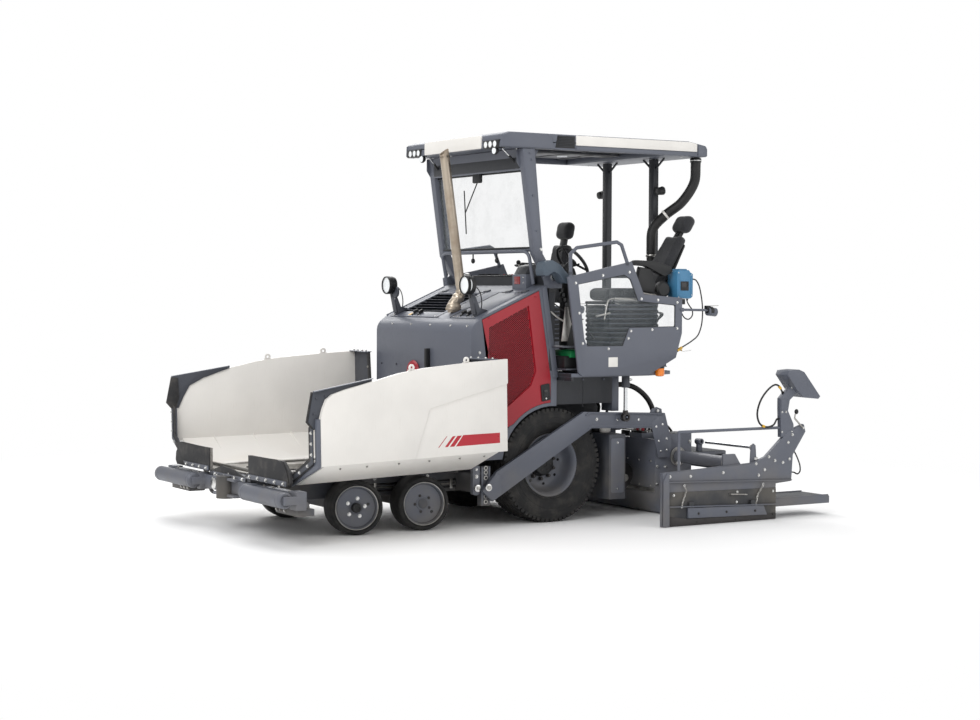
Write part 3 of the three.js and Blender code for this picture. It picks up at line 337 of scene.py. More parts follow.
def checkered(name, colour):
    """Raised-bar tread plate in the X-Y plane."""
    m = Nodes(name)
    cell = 0.03
    u = m.axis("X") * (1 / cell)
    v = m.axis("Y") * (1 / cell)
    odd = (u.wrapped(0.0, 2.0).above(1.0) - v.wrapped(0.0, 2.0).above(1.0)).absolute()
    across = (u.wrapped(0.0, 1.0) - 0.5).absolute()
    along = (v.wrapped(0.0, 1.0) - 0.5).absolute()
    first = (1 - (across * 6 + along * 1.6).ramp(0.6, 1.0)) * odd
    second = (1 - (along * 6 + across * 1.6).ramp(0.6, 1.0)) * (1 - odd)
    bars = (first + second).clamped()
    cloud = m.noise(8, 5, 0.6)
    base = m.mix(cloud.ramp(0.4, 0.7), rgb(*colour), rgb(*[c * 1.25 for c in colour]))
    m.set(Base_Color=m.mix(bars * 0.5, base, rgb(150, 150, 150)),
          Metallic=(bars * 0.5 + 0.15).clamped(), Roughness=(cloud * 0.2 + 0.4 - bars * 0.1).clamped())
    m.bump(bars, 0.003, 0.8)
    return m.material


GREY = painted("grey_paint", rgb(93, 97, 108), rgb(120, 116, 112))
# darker copy of the grey paint, as the grey looks on faces turned from the light: painted shade
GREY_PAINTED_SHADE = painted("grey_paint_shaded", rgb(66, 69, 77), rgb(110, 106, 102), 0.5)
DARK = painted("dark_paint", rgb(44, 46, 51), rgb(92, 88, 84), 0.5)
# white paint: its beige dust colour low down is also painted shade of the downward-facing lower wing panels
WHITE = painted("white_paint", rgb(232, 229, 224), rgb(120, 112, 104), 0.34, dust=(176, 166, 150),
                scratches=0.25)
RED = painted("red_paint", rgb(158, 22, 38), rgb(90, 60, 58), 0.34, dust=(120, 84, 78), scratches=0.3)
BLUE = painted("blue_paint", rgb(66, 124, 162), rgb(120, 120, 120), 0.36, dust=(120, 130, 138))
BLUE_GREY = painted("moulded_cover", rgb(74, 86, 98), rgb(110, 110, 110), 0.5)
GREEN = painted("green_case", rgb(20, 124, 70), rgb(90, 100, 90), 0.45)
YELLOW = painted("yellow_paint", rgb(222, 172, 30), rgb(110, 100, 80), 0.45)
DECAL_RED = painted("red_stripe", rgb(176, 24, 42), rgb(214, 208, 204), 0.3, dust=(176, 120, 112),
                    scratches=0.2)
STEEL = metal("worn_steel", rgb(176, 174, 170), 0.34, amount=0.5)
BRIGHT = metal("plated_steel", rgb(214, 214, 212), 0.22, stain=(120, 112, 100), amount=0.18, scale=60)
CHROME = metal("chrome_rod", rgb(226, 228, 230), 0.1, stain=(140, 138, 134), amount=0.06, scale=80)
BRASS = metal("brass_fitting", rgb(196, 160, 84), 0.3, stain=(110, 90, 50), amount=0.3, scale=70)
IRON = metal("dark_iron", rgb(78, 76, 76), 0.5, stain=(46, 42, 40), amount=0.7, scale=18)
BRONZE = metal("heated_steel", rgb(188, 176, 160), 0.34, stain=(132, 114, 96), amount=0.55, scale=14,
               brushed=(1, 1, 0.12))
TYRE = rubber("tyre_rubber", (26, 26, 27), (84, 80, 74), 0.28)
SOLID_RUBBER = rubber("solid_rubber", (22, 22, 23), (70, 67, 63), 0.3)
FLAP = rubber("rubber_sheet", (40, 40, 42), (86, 82, 78), 0.45, 0.7)
HOSE = rubber("hose_rubber", (20, 20, 21), (60, 58, 56), 0.2, 0.55)
BLACK = plastic("black_plastic", (19, 20, 22), 0.5)
BLACK_GLOSS = plastic("black_screen", (14, 15, 18), 0.16, 900)
SEAT = fabric("seat_cover", (26, 27, 30), (58, 59, 64))
GLASS = glass("clear_glass", (150, 160, 166), alpha=0.07)
AMBER = lens("amber_lens", (226, 120, 26), 0.12)
LAMP = lens("clear_lens", (226, 230, 232), 0.15)
SCREEN_RED = lens("red_display", (122, 20, 24), 0.1)
TREAD = checkered("tread_plate", (58, 60, 64))


# ---------------------------------------------------------------- pieces
class Shape:
    """One piece in the making: shapes are added to it, then place() makes it an object on its body."""

    def __init__(self, frame_matrix=Matrix.Identity(4)):
        self.bm = bmesh.new()
        self.frame = frame_matrix
        self.materials = []

    def _slot(self, material):
        if material not in self.materials:
            self.materials.append(material)
        return self.materials.index(material)

    def _finish_part(self, part, material, bevel=0.0, segments=2, matrix=None):
        """Bevels a part's sharp edges, sets its material and joins it to the piece."""
        if bevel:
            bmesh.ops.recalc_face_normals(part, faces=part.faces)
            sharp = [e for e in part.edges if len(e.link_faces) == 2 and e.calc_face_angle(0) > 0.5]
            bmesh.ops.bevel(part, geom=sharp, offset=bevel, offset_type="OFFSET", segments=segments,
                            profile=0.5, affect="EDGES", clamp_overlap=True, material=-1)
        if matrix is not None:
            bmesh.ops.transform(part, matrix=matrix, verts=part.verts)
        index = self._slot(material)
        for face in part.faces:
            face.material_index = index
        bmesh.ops.recalc_face_normals(part, faces=part.faces)
        mesh = bpy.data.meshes.new("part")
        part.to_mesh(mesh)
        part.free()
        self.bm.from_mesh(mesh)
        bpy.data.meshes.remove(mesh)
        return self

    def box(self, low, high, material, bevel=EDGE, matrix=None):
        part = bmesh.new()
        size = Vector(high) - Vector(low)
        middle = (Vector(high) + Vector(low)) / 2
        bmesh.ops.create_cube(part, size=1.0,
                              matrix=Matrix.Translation(middle) @ Matrix.Diagonal((*size, 1)))
        return self._finish_part(part, material, bevel, matrix=matrix)

    def rod(self, start, end, radius, material, sides=24, end_radius=None, bevel=0.0):
        part = bmesh.new()
        a = Vector(start)
        b = Vector(end)
        turn = (b - a).to_track_quat("Z", "Y").to_matrix().to_4x4()
        bmesh.ops.create_cone(part, cap_ends=True, segments=sides, radius1=radius,
                              radius2=radius if end_radius is None else end_radius, depth=(b - a).length,
                              matrix=Matrix.Translation((a + b) / 2) @ turn)
        return self._finish_part(part, material, bevel)

    def ball(self, at, radius, material, scale=(1, 1, 1), detail=16):
        part = bmesh.new()
        bmesh.ops.create_uvsphere(part, u_segments=detail, v_segments=detail // 2, radius=radius,
                                  matrix=Matrix.Translation(at) @ Matrix.Diagonal((*scale, 1)))
        return self._finish_part(part, material)

    def plate(self, outline, plane, low, high, material, bevel=EDGE, corner=0.0, matrix=None):
        """An outline in the "xy", "xz" or "yz" plane, with rounded corners, given a thickness."""
        part = bmesh.new()
        lift = {"xy": lambda u, v: (u, v, low), "xz": lambda u, v: (u, low, v), "yz": lambda u,
                v: (low, u, v)}
        verts = [part.verts.new(lift[plane](u, v)) for u, v in outline]
        face = part.faces.new(verts)
        if corner:
            bmesh.ops.bevel(part, geom=part.verts[:], offset=corner, offset_type="OFFSET", segments=5,
                            profile=0.5, affect="VERTICES", clamp_overlap=True, material=-1)
            face = part.faces[:][0]
        grown = bmesh.ops.extrude_face_region(part, geom=[face])
        moved = [v for v in grown["geom"] if isinstance(v, bmesh.types.BMVert)]
        shift = {"xy": (0, 0, high - low), "xz": (0, high - low, 0), "yz": (high - low, 0, 0)}[plane]
        bmesh.ops.translate(part, vec=shift, verts=moved)
        return self._finish_part(part, material, bevel, matrix=matrix)

    def lathe(self, profile, centre, material, axis="X", steps=48, mirror=1):
        """Spins (radius, along) points round an axis through the centre."""
        part = bmesh.new()
        points = {"X": lambda r, a: (a * mirror, r, 0), "Y": lambda r, a: (r, a * mirror, 0),
                  "Z": lambda r, a: (r, 0, a * mirror)}[axis]
        verts = [part.verts.new(points(r, a)) for r, a in profile]
        edges = [part.edges.new(pair) for pair in zip(verts, verts[1:])]
        direction = {"X": (1, 0, 0), "Y": (0, 1, 0), "Z": (0, 0, 1)}[axis]
        bmesh.ops.spin(part, geom=verts + edges, cent=(0, 0, 0), axis=direction, angle=math.tau,
                       steps=steps, use_merge=True)
        bmesh.ops.remove_doubles(part, verts=part.verts, dist=1e-6)
        bmesh.ops.translate(part, vec=centre, verts=part.verts)
        return self._finish_part(part, material)

    def sweep(self, points, radius, material, sides=12, corner=0.0, closed_ends=True, scale_at=None):
        """A round bar along a line whose corners are rounded off."""
        route = rounded(points, corner) if corner else [Vector(p) for p in points]
        part = bmesh.new()
        tangents = [(route[min(i + 1, len(route) - 1)] - route[max(i - 1, 0)]).normalized()
                    for i in range(len(route))]
        turn = tangents[0].to_track_quat("Z", "Y")
        matrix = Matrix.Translation(route[0]) @ turn.to_matrix().to_4x4()
        ring = bmesh.ops.create_circle(part, cap_ends=False, segments=sides, radius=radius,
                                       matrix=matrix)["verts"]
        if closed_ends:
            part.faces.new(ring)
        edges = [e for e in part.edges]
        first = radius if scale_at is None else radius * scale_at(0)
        bmesh.ops.scale(part, vec=(first / radius,) * 3, space=Matrix.Translation(-route[0]), verts=ring)
        for i in range(1, len(route)):
            made = bmesh.ops.extrude_edge_only(part, edges=edges)["geom"]
            verts = [g for g in made if isinstance(g, bmesh.types.BMVert)]
            edges = [g for g in made if isinstance(g, bmesh.types.BMEdge)]
            swing = tangents[i - 1].rotation_difference(tangents[i]).to_matrix().to_4x4()
            here = route[i - 1]
            factor = (1 if scale_at is None
                      else scale_at(i / (len(route) - 1)) / scale_at((i - 1) / (len(route) - 1)))
            bmesh.ops.transform(part, matrix=Matrix.Translation(route[i]) @ swing @ Matrix.Scale(factor, 4)
                                @ Matrix.Translation(-here), verts=verts)
        if closed_ends:
            bmesh.ops.contextual_create(part, geom=edges)
        return self._finish_part(part, material)

    def bolt(self, at, direction, radius, material=None, washer=True):
        """Hexagon head on a washer."""
        out = Vector(direction).normalized()
        base = Vector(at)
        material = material or BRIGHT
        if washer:
            self.rod(base - out * 0.001, base + out * radius * 0.22, radius * 1.35, material, 16)
        part = bmesh.new()
        turn = out.to_track_quat("Z", "Y").to_matrix().to_4x4()
        bmesh.ops.create_cone(part, cap_ends=True, segments=6, radius1=radius, radius2=radius,
                              depth=radius * 0.9,
                              matrix=Matrix.Translation(base + out * radius * 0.62) @ turn)
        return self._finish_part(part, material, radius * 0.12, 1)

    def bolts(self, places, direction, radius, material=None):
        for at in places:
            self.bolt(at, direction, radius, material)
        return self

    def mirrored(self):
        """The same piece on the other side of the machine."""
        twin = Shape(self.frame)
        twin.bm = self.bm.copy()
        twin.materials = list(self.materials)
        bmesh.ops.scale(twin.bm, vec=(-1, 1, 1), verts=twin.bm.verts)
        bmesh.ops.reverse_faces(twin.bm, faces=twin.bm.faces)
        return twin

    def place(self, name, body, smooth_angle=35, slot=None, replaces=()):
        """Makes the object: into its frame, to where the rear axle is, and onto its body."""
        bmesh.ops.transform(self.bm, matrix=Matrix.Translation((0, AXLE_Y, 0)) @ self.frame,
                            verts=self.bm.verts)
        if self.frame.determinant() < 0:
            bmesh.ops.reverse_faces(self.bm, faces=self.bm.faces)
        for edge in self.bm.edges:
            edge.smooth = len(edge.link_faces) == 2 and edge.calc_face_angle(4) < math.radians(smooth_angle)
        for face in self.bm.faces:
            face.smooth = True
        mesh = bpy.data.meshes.new(name)
        self.bm.to_mesh(mesh)
        self.bm.free()
        for material in self.materials:
            mesh.materials.append(material)
        made = bpy.data.objects.new(name, mesh)
        bpy.context.collection.objects.link(made)
        if body:
            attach(made, body)
        if replaces:
            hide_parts(*replaces)
        return made


def rounded(points, radius, steps=6):
    """A line of points with each corner turned into an arc."""
    line = [Vector(p) for p in points]
    route = [line[0]]
    for before, corner, after in zip(line, line[1:], line[2:]):
        back = before - corner
        ahead = after - corner
        reach = min(radius, back.length * 0.48, ahead.length * 0.48)
        start = corner + back.normalized() * reach
        end = corner + ahead.normalized() * reach
        route += interpolate_bezier(start, start.lerp(corner, 0.56), end.lerp(corner, 0.56), end, steps)
    return route + [line[-1]]


def finer(node, body, material, bevel=EDGE, smooth_angle=35, slot=None, reshape=None):
    """A copy of a CAD node with its triangles merged and its edges rounded, which stands for it.

    material is one finish, or a function that gives each face its own.
    reshape changes the copy before its edges are rounded."""
    shape = Shape()
    part = bmesh.new()
    part.from_mesh(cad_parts[node].data)
    bmesh.ops.translate(part, vec=(0, -AXLE_Y, 0), verts=part.verts)
    bmesh.ops.remove_doubles(part, verts=part.verts, dist=2e-5)
    bmesh.ops.dissolve_limit(part, angle_limit=math.radians(1), use_dissolve_boundaries=False,
                             verts=part.verts, edges=part.edges)
    if reshape:
        reshape(part)
    sharp = [e for e in part.edges if len(e.link_faces) == 2 and e.calc_face_angle(0) > 0.6
             and e.calc_length() > bevel * 1.5]
    if bevel:
        bmesh.ops.bevel(part, geom=sharp, offset=bevel, offset_type="OFFSET", segments=2, profile=0.5,
                        affect="EDGES", clamp_overlap=True, material=-1)
    part.normal_update()
    for face in part.faces:
        face.material_index = shape._slot(material(face) if callable(material) else material)
    mesh = bpy.data.meshes.new("part")
    part.to_mesh(mesh)
    part.free()
    shape.bm.from_mesh(mesh)
    bpy.data.meshes.remove(mesh)
    return shape.place(f"{node}_skin", body, smooth_angle, slot, (node,))


def dress(node, material):
    """Gives a CAD node that keeps its shape its finish."""
    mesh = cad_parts[node].data
    for i in range(max(1, len(mesh.materials))):
        if i < len(mesh.materials):
            mesh.materials[i] = material
        else:
            mesh.materials.append(material)


# ---------------------------------------------------------------- cords
def catmull_rom(points, count):
    """Centripetal spline through the points, sampled evenly by its parameter."""
    line = [Vector(p) for p in points]
    line = [line[0] * 2 - line[1], *line, line[-1] * 2 - line[-2]]
    spans = len(line) - 3
    route = []
    for i in range(count + 1):
        place = i * spans / count
        k = min(int(place), spans - 1)
        t = place - k
        a, b, c, d = line[k:k + 4]
        ab = max((b - a).length ** 0.5, 1e-4)
        bc = max((c - b).length ** 0.5, 1e-4)
        cd = max((d - c).length ** 0.5, 1e-4)
        leave = ((b - a) / ab - (c - a) / (ab + bc) + (c - b) / bc) * bc
        arrive = ((c - b) / bc - (d - b) / (bc + cd) + (d - c) / cd) * bc
        route.append(b * (2 * t ** 3 - 3 * t ** 2 + 1) + leave * (t ** 3 - 2 * t ** 2 + t)
                     + c * (3 * t ** 2 - 2 * t ** 3) + arrive * (t ** 3 - t ** 2))
    return route


def in_frame(points):
    return [Vector((x, y + AXLE_Y, z)) for x, y, z in points]


def length_of(route):
    return sum((b - a).length for a, b in zip(route, route[1:]))


def cable(node, body, points, radius, count):
    """A round cable as one open spline along its route."""
    route = in_frame(catmull_rom(points, count))
    curve = bpy.data.curves.new(f"{node}_line", "CURVE")
    curve.dimensions = "3D"
    curve.bevel_depth = radius
    curve.bevel_resolution = 3
    curve.use_fill_caps = True
    spline = curve.splines.new("POLY")
    spline.points.add(len(route) - 1)
    for point, at in zip(spline.points, route):
        point.co = (*at, 1)
    curve.materials.append(HOSE)
    piece = bpy.data.objects.new(f"{node}_line", curve)
    bpy.context.collection.objects.link(piece)
    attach(piece, body)
    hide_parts(node)
    return piece


def make_cords():
    cable("control_cable", "tractor", [
        (1.080, 1.4903, 2.284), (1.080, 1.515, 2.284), (1.080, 1.540, 2.276), (1.080, 1.577, 2.229),
        (1.080, 1.607, 2.129), (1.080, 1.624, 2.018), (1.080, 1.625, 1.930), (1.082, 1.610, 1.830),
        (1.090, 1.562, 1.740), (1.108, 1.485, 1.694), (1.134, 1.400, 1.660), (1.140, 1.357, 1.6419),
        (1.140, 1.3305, 1.6283)], 0.0065, 39)
    cable("box_cable", "tractor", [
        (1.095, 1.425, 2.0947), (1.095, 1.425, 2.072), (1.097, 1.450, 2.030), (1.100, 1.485, 1.985),
        (1.100, 1.484, 1.932), (1.100, 1.441, 1.898), (1.100, 1.392, 1.912), (1.100, 1.358, 1.955),
        (1.100, 1.330, 2.010), (1.100, 1.330, 2.0397)], 0.006, 36)
    cable("console_cable", "extension_left", [
        (1.735, 2.0917, 1.1986), (1.735, 2.075, 1.2194), (1.745, 2.040, 1.262), (1.755, 1.979, 1.283),
        (1.765, 1.883, 1.240), (1.768, 1.785, 1.131), (1.768, 1.749, 1.005), (1.768, 1.785, 0.915),
        (1.768, 1.865, 0.884), (1.760, 1.958, 0.902), (1.738, 2.016, 0.953), (1.735, 2.0442, 0.956)],
        0.009, 39)
    cable("gate_cable", "extension_left", [
        (1.735, 2.2253, 0.6397), (1.735, 2.243, 0.6265), (1.735, 2.284, 0.560), (1.735, 2.312, 0.492),
        (1.735, 2.312, 0.440), (1.735, 2.282, 0.416), (1.735, 2.234, 0.434), (1.735, 2.192, 0.437)],
        0.007, 34)

    route = catmull_rom([
        (0.430, 0.8203, 1.215), (0.430, 0.880, 1.215), (0.440, 0.930, 1.228), (0.490, 1.050, 1.250),
        (0.550, 1.190, 1.225), (0.590, 1.320, 1.120), (0.600, 1.395, 0.985), (0.600, 1.405, 0.880),
        (0.600, 1.405, 0.819), (0.600, 1.405, 0.7793)], 39)
    shape = Shape()
    shape.sweep(route, 0.026, HOSE, 16)
    bundle = shape.place("screed_hose_bundle", None, 60, "black_plastic", ("screed_hose",))
    path = in_frame(route)
    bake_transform(bundle)


make_cords()


# ---------------------------------------------------------------- shared parts
def framed(shape, outline, plane, low, high, border, material, bevel=EDGE):
    """A plate with its middle cut out, leaving a border; gives back the outline of the opening."""
    part = bmesh.new()
    lift = {"xy": lambda u, v: (u, v, low), "xz": lambda u, v: (u, low, v), "yz": lambda u,
            v: (low, u, v)}[plane]
    face = part.faces.new([part.verts.new(lift(u, v)) for u, v in outline])
    bmesh.ops.inset_region(part, faces=[face], thickness=border, use_even_offset=True)
    pick = {"xy": lambda c: (c.x, c.y), "xz": lambda c: (c.x, c.z), "yz": lambda c: (c.y, c.z)}[plane]
    opening = [pick(v.co) for v in face.verts]
    bmesh.ops.delete(part, geom=[face], context="FACES_ONLY")
    grown = bmesh.ops.extrude_face_region(part, geom=part.faces[:])
    moved = [v for v in grown["geom"] if isinstance(v, bmesh.types.BMVert)]
    depth = high - low
    shift = {"xy": (0, 0, depth), "xz": (0, depth, 0), "yz": (depth, 0, 0)}[plane]
    bmesh.ops.translate(part, vec=shift, verts=moved)
    shape._finish_part(part, material, bevel)
    return opening


def lattice(shape, outline, x, cell, web, material, thickness=0.002, stretch=1.25):
    """Sheet with staggered holes in the Y-Z plane, trimmed to a convex outline."""
    part = bmesh.new()
    middle = Vector((0, sum(u for u, v in outline) / len(outline),
                     sum(v for u, v in outline) / len(outline)))
    reach = max((Vector((0, u, v)) - middle).length for u, v in outline) * 1.45
    count = int(reach * 2 / cell)
    turn = Matrix.Rotation(math.radians(90), 4, "Y") @ Matrix.Rotation(math.radians(45), 4, "Z")
    bmesh.ops.create_grid(part, x_segments=count, y_segments=count, size=reach,
                          matrix=Matrix.Diagonal((1, stretch, 1, 1)) @ turn)
    bmesh.ops.translate(part, vec=(x, middle.y, middle.z), verts=part.verts)
    area = sum(u * outline[(i + 1) % len(outline)][1] - outline[(i + 1) % len(outline)][0] * v
               for i, (u, v) in enumerate(outline))
    for i, (u, v) in enumerate(outline):
        ahead = outline[(i + 1) % len(outline)]
        out = Vector((0, ahead[1] - v, u - ahead[0])) * (1 if area > 0 else -1)
        bmesh.ops.bisect_plane(part, geom=part.verts[:] + part.edges[:] + part.faces[:], plane_co=(x, u, v),
                               plane_no=out, clear_outer=True)
    cells = [f for f in part.faces if len(f.verts) == 4 and f.calc_area() > cell * cell * 0.6]
    bmesh.ops.inset_individual(part, faces=cells, thickness=web)
    bmesh.ops.delete(part, geom=cells, context="FACES")
    bmesh.ops.solidify(part, geom=part.faces[:], thickness=thickness)
    return shape._finish_part(part, material)


def ring(shape, centre, axis, outer, inner, half, material, steps=28):
    """A flat eye or collar round an axis."""
    edge = min(0.003, half * 0.4)
    shape.lathe([(inner, -half), (outer - edge, -half), (outer, -half + edge), (outer, half - edge),
                 (outer - edge, half), (inner, half), (inner, -half)], centre, material, axis, steps)


def lug(shape, at, thickness, radius, material):
    """Lifting eye standing on an edge, in the Y-Z plane."""
    x, y, z = at
    ring(shape, (x, y, z + radius * 0.75), "X", radius, radius * 0.42, thickness / 2, material, 24)
    shape.box((x - thickness / 2, y - radius * 1.3, z - 0.006),
              (x + thickness / 2, y + radius * 1.3, z + 0.006),
              material, 0.002)


def wing_frame(side):
    return (Matrix.Translation((side * WING_HINGE.x, WING_HINGE.y, WING_HINGE.z))
            @ Matrix.Rotation(side * WING_FLARE, 4, "Z") @ Matrix.Rotation(WING_FALL, 4, "X"))


def place_pair(shape, name, body, frames=None, **options):
    """Places a left piece and its mirror image; node names in replaces take the same ending."""
    nodes = options.pop("replaces", ())
    for side, word in ((-1, "right"), (1, "left")):
        twin = shape if side > 0 else shape.mirrored()
        if frames:
            twin.frame = frames(side)
        twin.place(f"{name}_{word}", body if body in ("tractor", "screed") else f"{body}_{word}",
                   replaces=[f"{node}_{word}" for node in nodes], **options)


# ---------------------------------------------------------------- hopper
WING_TOP = [(-0.003, 0.999), (-0.393, 0.985), (-0.916, 0.954), (-1.165, 0.922), (-1.578, 0.836),
            (-1.72, 0.808),
            (-1.845, 0.774), (-1.905, 0.735), (-1.94, 0.665), (-1.968, 0.575)]


def make_wings():
    outer = WING_REACH
    wall = Shape()
    wall.plate([(-0.003, 0.175)] + WING_TOP + [(-1.968, 0.175)], "yz", outer - 0.022, outer, WHITE, 0.003)
    # the upper skin laps over the lower rear panel
    wall.plate([(-1.968, 0.178), (-1.021, 0.178), (-0.859, 0.604), (-0.003, 0.781)] + WING_TOP, "yz",
               outer, outer + 0.014, WHITE, 0.002)
    # sloped lower panel; the white paint's low dust film also paints its shade
    wall.plate([(outer, 0.182), (0.327, -0.015), (0.0, -0.012), (0.0, 0.012), (0.327, 0.012),
                (outer - 0.022, 0.2)],
               "xz", -1.918, -0.084, WHITE, 0.003)
    wall.rod((0, -1.915, 0), (0, -0.031, 0), 0.015, STEEL, 20)
    for y in (-1.6, -1.2, -0.8, -0.4):
        wall.plate([(outer - 0.022, 0.22), (outer - 0.05, 0.2), (0.36, 0.018), (0.36, 0.012),
                    (outer - 0.022, 0.196)],
                   "xz", y - 0.004, y + 0.004, WHITE, 0.001)
    for y, z in ((-1.03, 0.942), (-0.445, 0.982)):
        lug(wall, (outer - 0.011, y, z), 0.012, 0.03, WHITE)
    for y in (-1.72, -1.45, -1.12, -0.8, -0.47, -0.2):
        wall.bolt((outer - 0.09, y, 0.158 - 0.02), (0.43, 0, -0.9), 0.008, STEEL)
    place_pair(wall, "hopper_wing_wall", "wing", wing_frame, replaces=("hopper_wing",), slot="white_paint")

    stripes = Shape()
    for outline in (
        [(-0.767, 0.257), (-0.757, 0.257), (-0.668, 0.35), (-0.676, 0.35)],
        [(-0.695, 0.257), (-0.663, 0.257), (-0.577, 0.347), (-0.61, 0.347)],
        [(-0.642, 0.256), (-0.594, 0.256), (-0.51, 0.347), (-0.558, 0.347)],
        [(-0.576, 0.255), (-0.495, 0.35), (-0.09, 0.346), (-0.09, 0.255)],
    ):
        stripes.plate(outline, "yz", outer - 0.0002, outer + 0.0008, DECAL_RED, 0)
    place_pair(stripes, "wing_stripes", "wing", wing_frame)

    ends = Shape()
    # front flange with its bolted rubber seal
    ends.plate([(0.782, 0.575), (0.742, 0.575), (0.742, 0.222), (0.33, 0.03), (0.33, -0.022),
                (0.782, 0.168)],
               "xz", -2.004, -1.969, GREY, 0.003)
    ends.plate([(0.728, 0.50), (0.69, 0.52), (0.665, 0.5), (0.665, 0.245), (0.36, 0.07), (0.35, -0.01),
                (0.728, 0.19)],
               "xz", -2.019, -2.006, FLAP, 0.003)
    ends.plate([(0.742, 0.5), (0.705, 0.5), (0.705, 0.226), (0.36, 0.052), (0.36, 0.012), (0.742, 0.205)],
               "xz", -2.027, -2.018, GREY_PAINTED_SHADE, 0.002)
    for x, z in ((0.724, 0.46), (0.724, 0.37), (0.724, 0.28), (0.66, 0.18), (0.53, 0.115), (0.41, 0.055)):
        ends.bolt((x, -2.027, z), (0, -1, 0), 0.011, BRIGHT)
    # corner plate above the flange, with rubber behind it
    ends.plate([(-2.012, 0.8), (-2.065, 0.555), (-2.011, 0.494), (-1.95, 0.5), (-1.905, 0.6), (-1.84, 0.71),
                (-1.7, 0.78), (-1.43, 0.868), (-1.43, 0.888), (-1.75, 0.842)],
               "yz", outer - 0.034, outer - 0.0225, GREY_PAINTED_SHADE, 0.002)
    ends.plate([(-2.026, 0.802), (-2.08, 0.553), (-2.018, 0.482), (-1.99, 0.49), (-1.95, 0.6),
                (-1.96, 0.79)],
               "yz", outer - 0.048, outer - 0.0345, FLAP, 0.002)
    ends.plate([(-2.012, 0.8), (-1.43, 0.885), (-1.43, 0.891), (-2.014, 0.808)], "yz", outer - 0.034,
               outer - 0.001,
               GREY, 0.001)
    for y, z in ((-1.99, 0.75), (-2.015, 0.62), (-1.9, 0.76)):
        ends.bolt((outer - 0.0225, y, z), (1, 0, 0), 0.009, GREY_PAINTED_SHADE)
    # rear plate towards the hood with its flange, bolts and rubber edge
    ends.plate([(0.748, 1.0), (0.35, 1.0), (0.31, 0.5), (0.2, 0.02), (0.327, 0.014), (0.748, 0.2)],
               "xz", -0.108, -0.1, GREY_PAINTED_SHADE, 0.002)
    ends.box((0.34, -0.16, 0.994), (0.765, -0.09, 1.002), GREY, 0.002)
    ends.plate([(0.375, 0.985), (0.332, 0.985), (0.292, 0.5), (0.185, 0.03), (0.222, 0.03), (0.333, 0.5)],
               "xz", -0.13, -0.108, FLAP, 0.003)
    ends.plate([(0.765, 0.97), (0.745, 0.97), (0.745, 0.2), (0.765, 0.2)], "xz", -0.10, -0.004, WHITE,
               0.002)
    for x in (0.4, 0.51, 0.62, 0.72):
        ends.bolt((x, -0.125, 1.002), (0, 0, 1), 0.011, BRIGHT)
    for z in (0.25, 0.45, 0.65, 0.85):
        ends.bolt((0.345 - (0.85 - z) * 0.08, -0.13, z), (0, -1, 0), 0.009, STEEL)
    place_pair(ends, "wing_end_plates", "wing", wing_frame)


def make_hopper_floor():
    def by_place(face):
        return FLAP if face.calc_center_median().y < -2.84 else STEEL
    finer("hopper_floor", "tractor", by_place, 0.002, slot="worn_steel")
    apron = Shape()
    for side in (1, -1):
        sheet = [(0.43, 0.505), (0.43, 0.716), (1.02, 0.724), (1.13, 0.70), (1.2, 0.64), (1.235, 0.565),
                 (1.235, 0.505)]
        if side < 0:
            sheet = [(0.43, 0.505), (0.43, 0.716), (1.1, 0.73), (1.262, 0.706), (1.08, 0.545), (1.0, 0.505)]
        apron.plate([(side * x, z) for x, z in sheet], "xz", -2.881, -2.8705, FLAP, 0.003)
        apron.plate([(side * 0.44, 0.508), (side * 0.44, 0.552),
                     (side * (1.215 if side > 0 else 1.03), 0.552),
                     (side * (1.215 if side > 0 else 0.98), 0.508)], "xz", -2.889, -2.881, GREY, 0.002)
        for i in range(5 if side > 0 else 4):
            apron.bolt((side * (0.48 + i * (0.172 if side > 0 else 0.155)), -2.889, 0.53), (0, -1, 0),
                       0.013, BRIGHT)
    apron.plate([(-0.31, 0.482), (-0.31, 0.535), (-0.16, 0.578), (0.12, 0.563), (0.38, 0.507),
                 (0.38, 0.482)],
                "xz", -2.8805, -2.868, FLAP, 0.003)
    apron.plate([(-0.32, 0.474), (-0.32, 0.512), (0.38, 0.512), (0.38, 0.474)], "xz", -2.889, -2.8805, GREY,
                0.002)
    for x in (-0.27, -0.06, 0.15, 0.33):
        apron.bolt((x, -2.889, 0.493), (0, -1, 0), 0.013, BRIGHT)
    apron.box((-0.45, -2.868, 0.475), (0.45, -2.80, 0.505), GREY_PAINTED_SHADE)
    # cross bar and the gate in front of the conveyor
    apron.rod((-1.1, -2.70, 0.545), (1.1, -2.70, 0.545), 0.014, STEEL, 12)
    for x in (-0.33, -0.11, 0.11, 0.33):
        apron.box((x - 0.012, -2.55, 0.531), (x + 0.012, -0.95, 0.541), IRON, 0.002)
    place_slats(apron)
    apron.place("hopper_apron", "tractor", slot="solid_rubber")


def place_slats(shape):
    """Conveyor bars across the hopper floor."""
    y = -2.45
    while y < 0.75:
        for side in (1, -1):
            shape.box((min(side * 0.05, side * 0.43), y, 0.5305),
                      (max(side * 0.05, side * 0.43), y + 0.03, 0.5385),
                      IRON, 0.002)
        y += 0.16


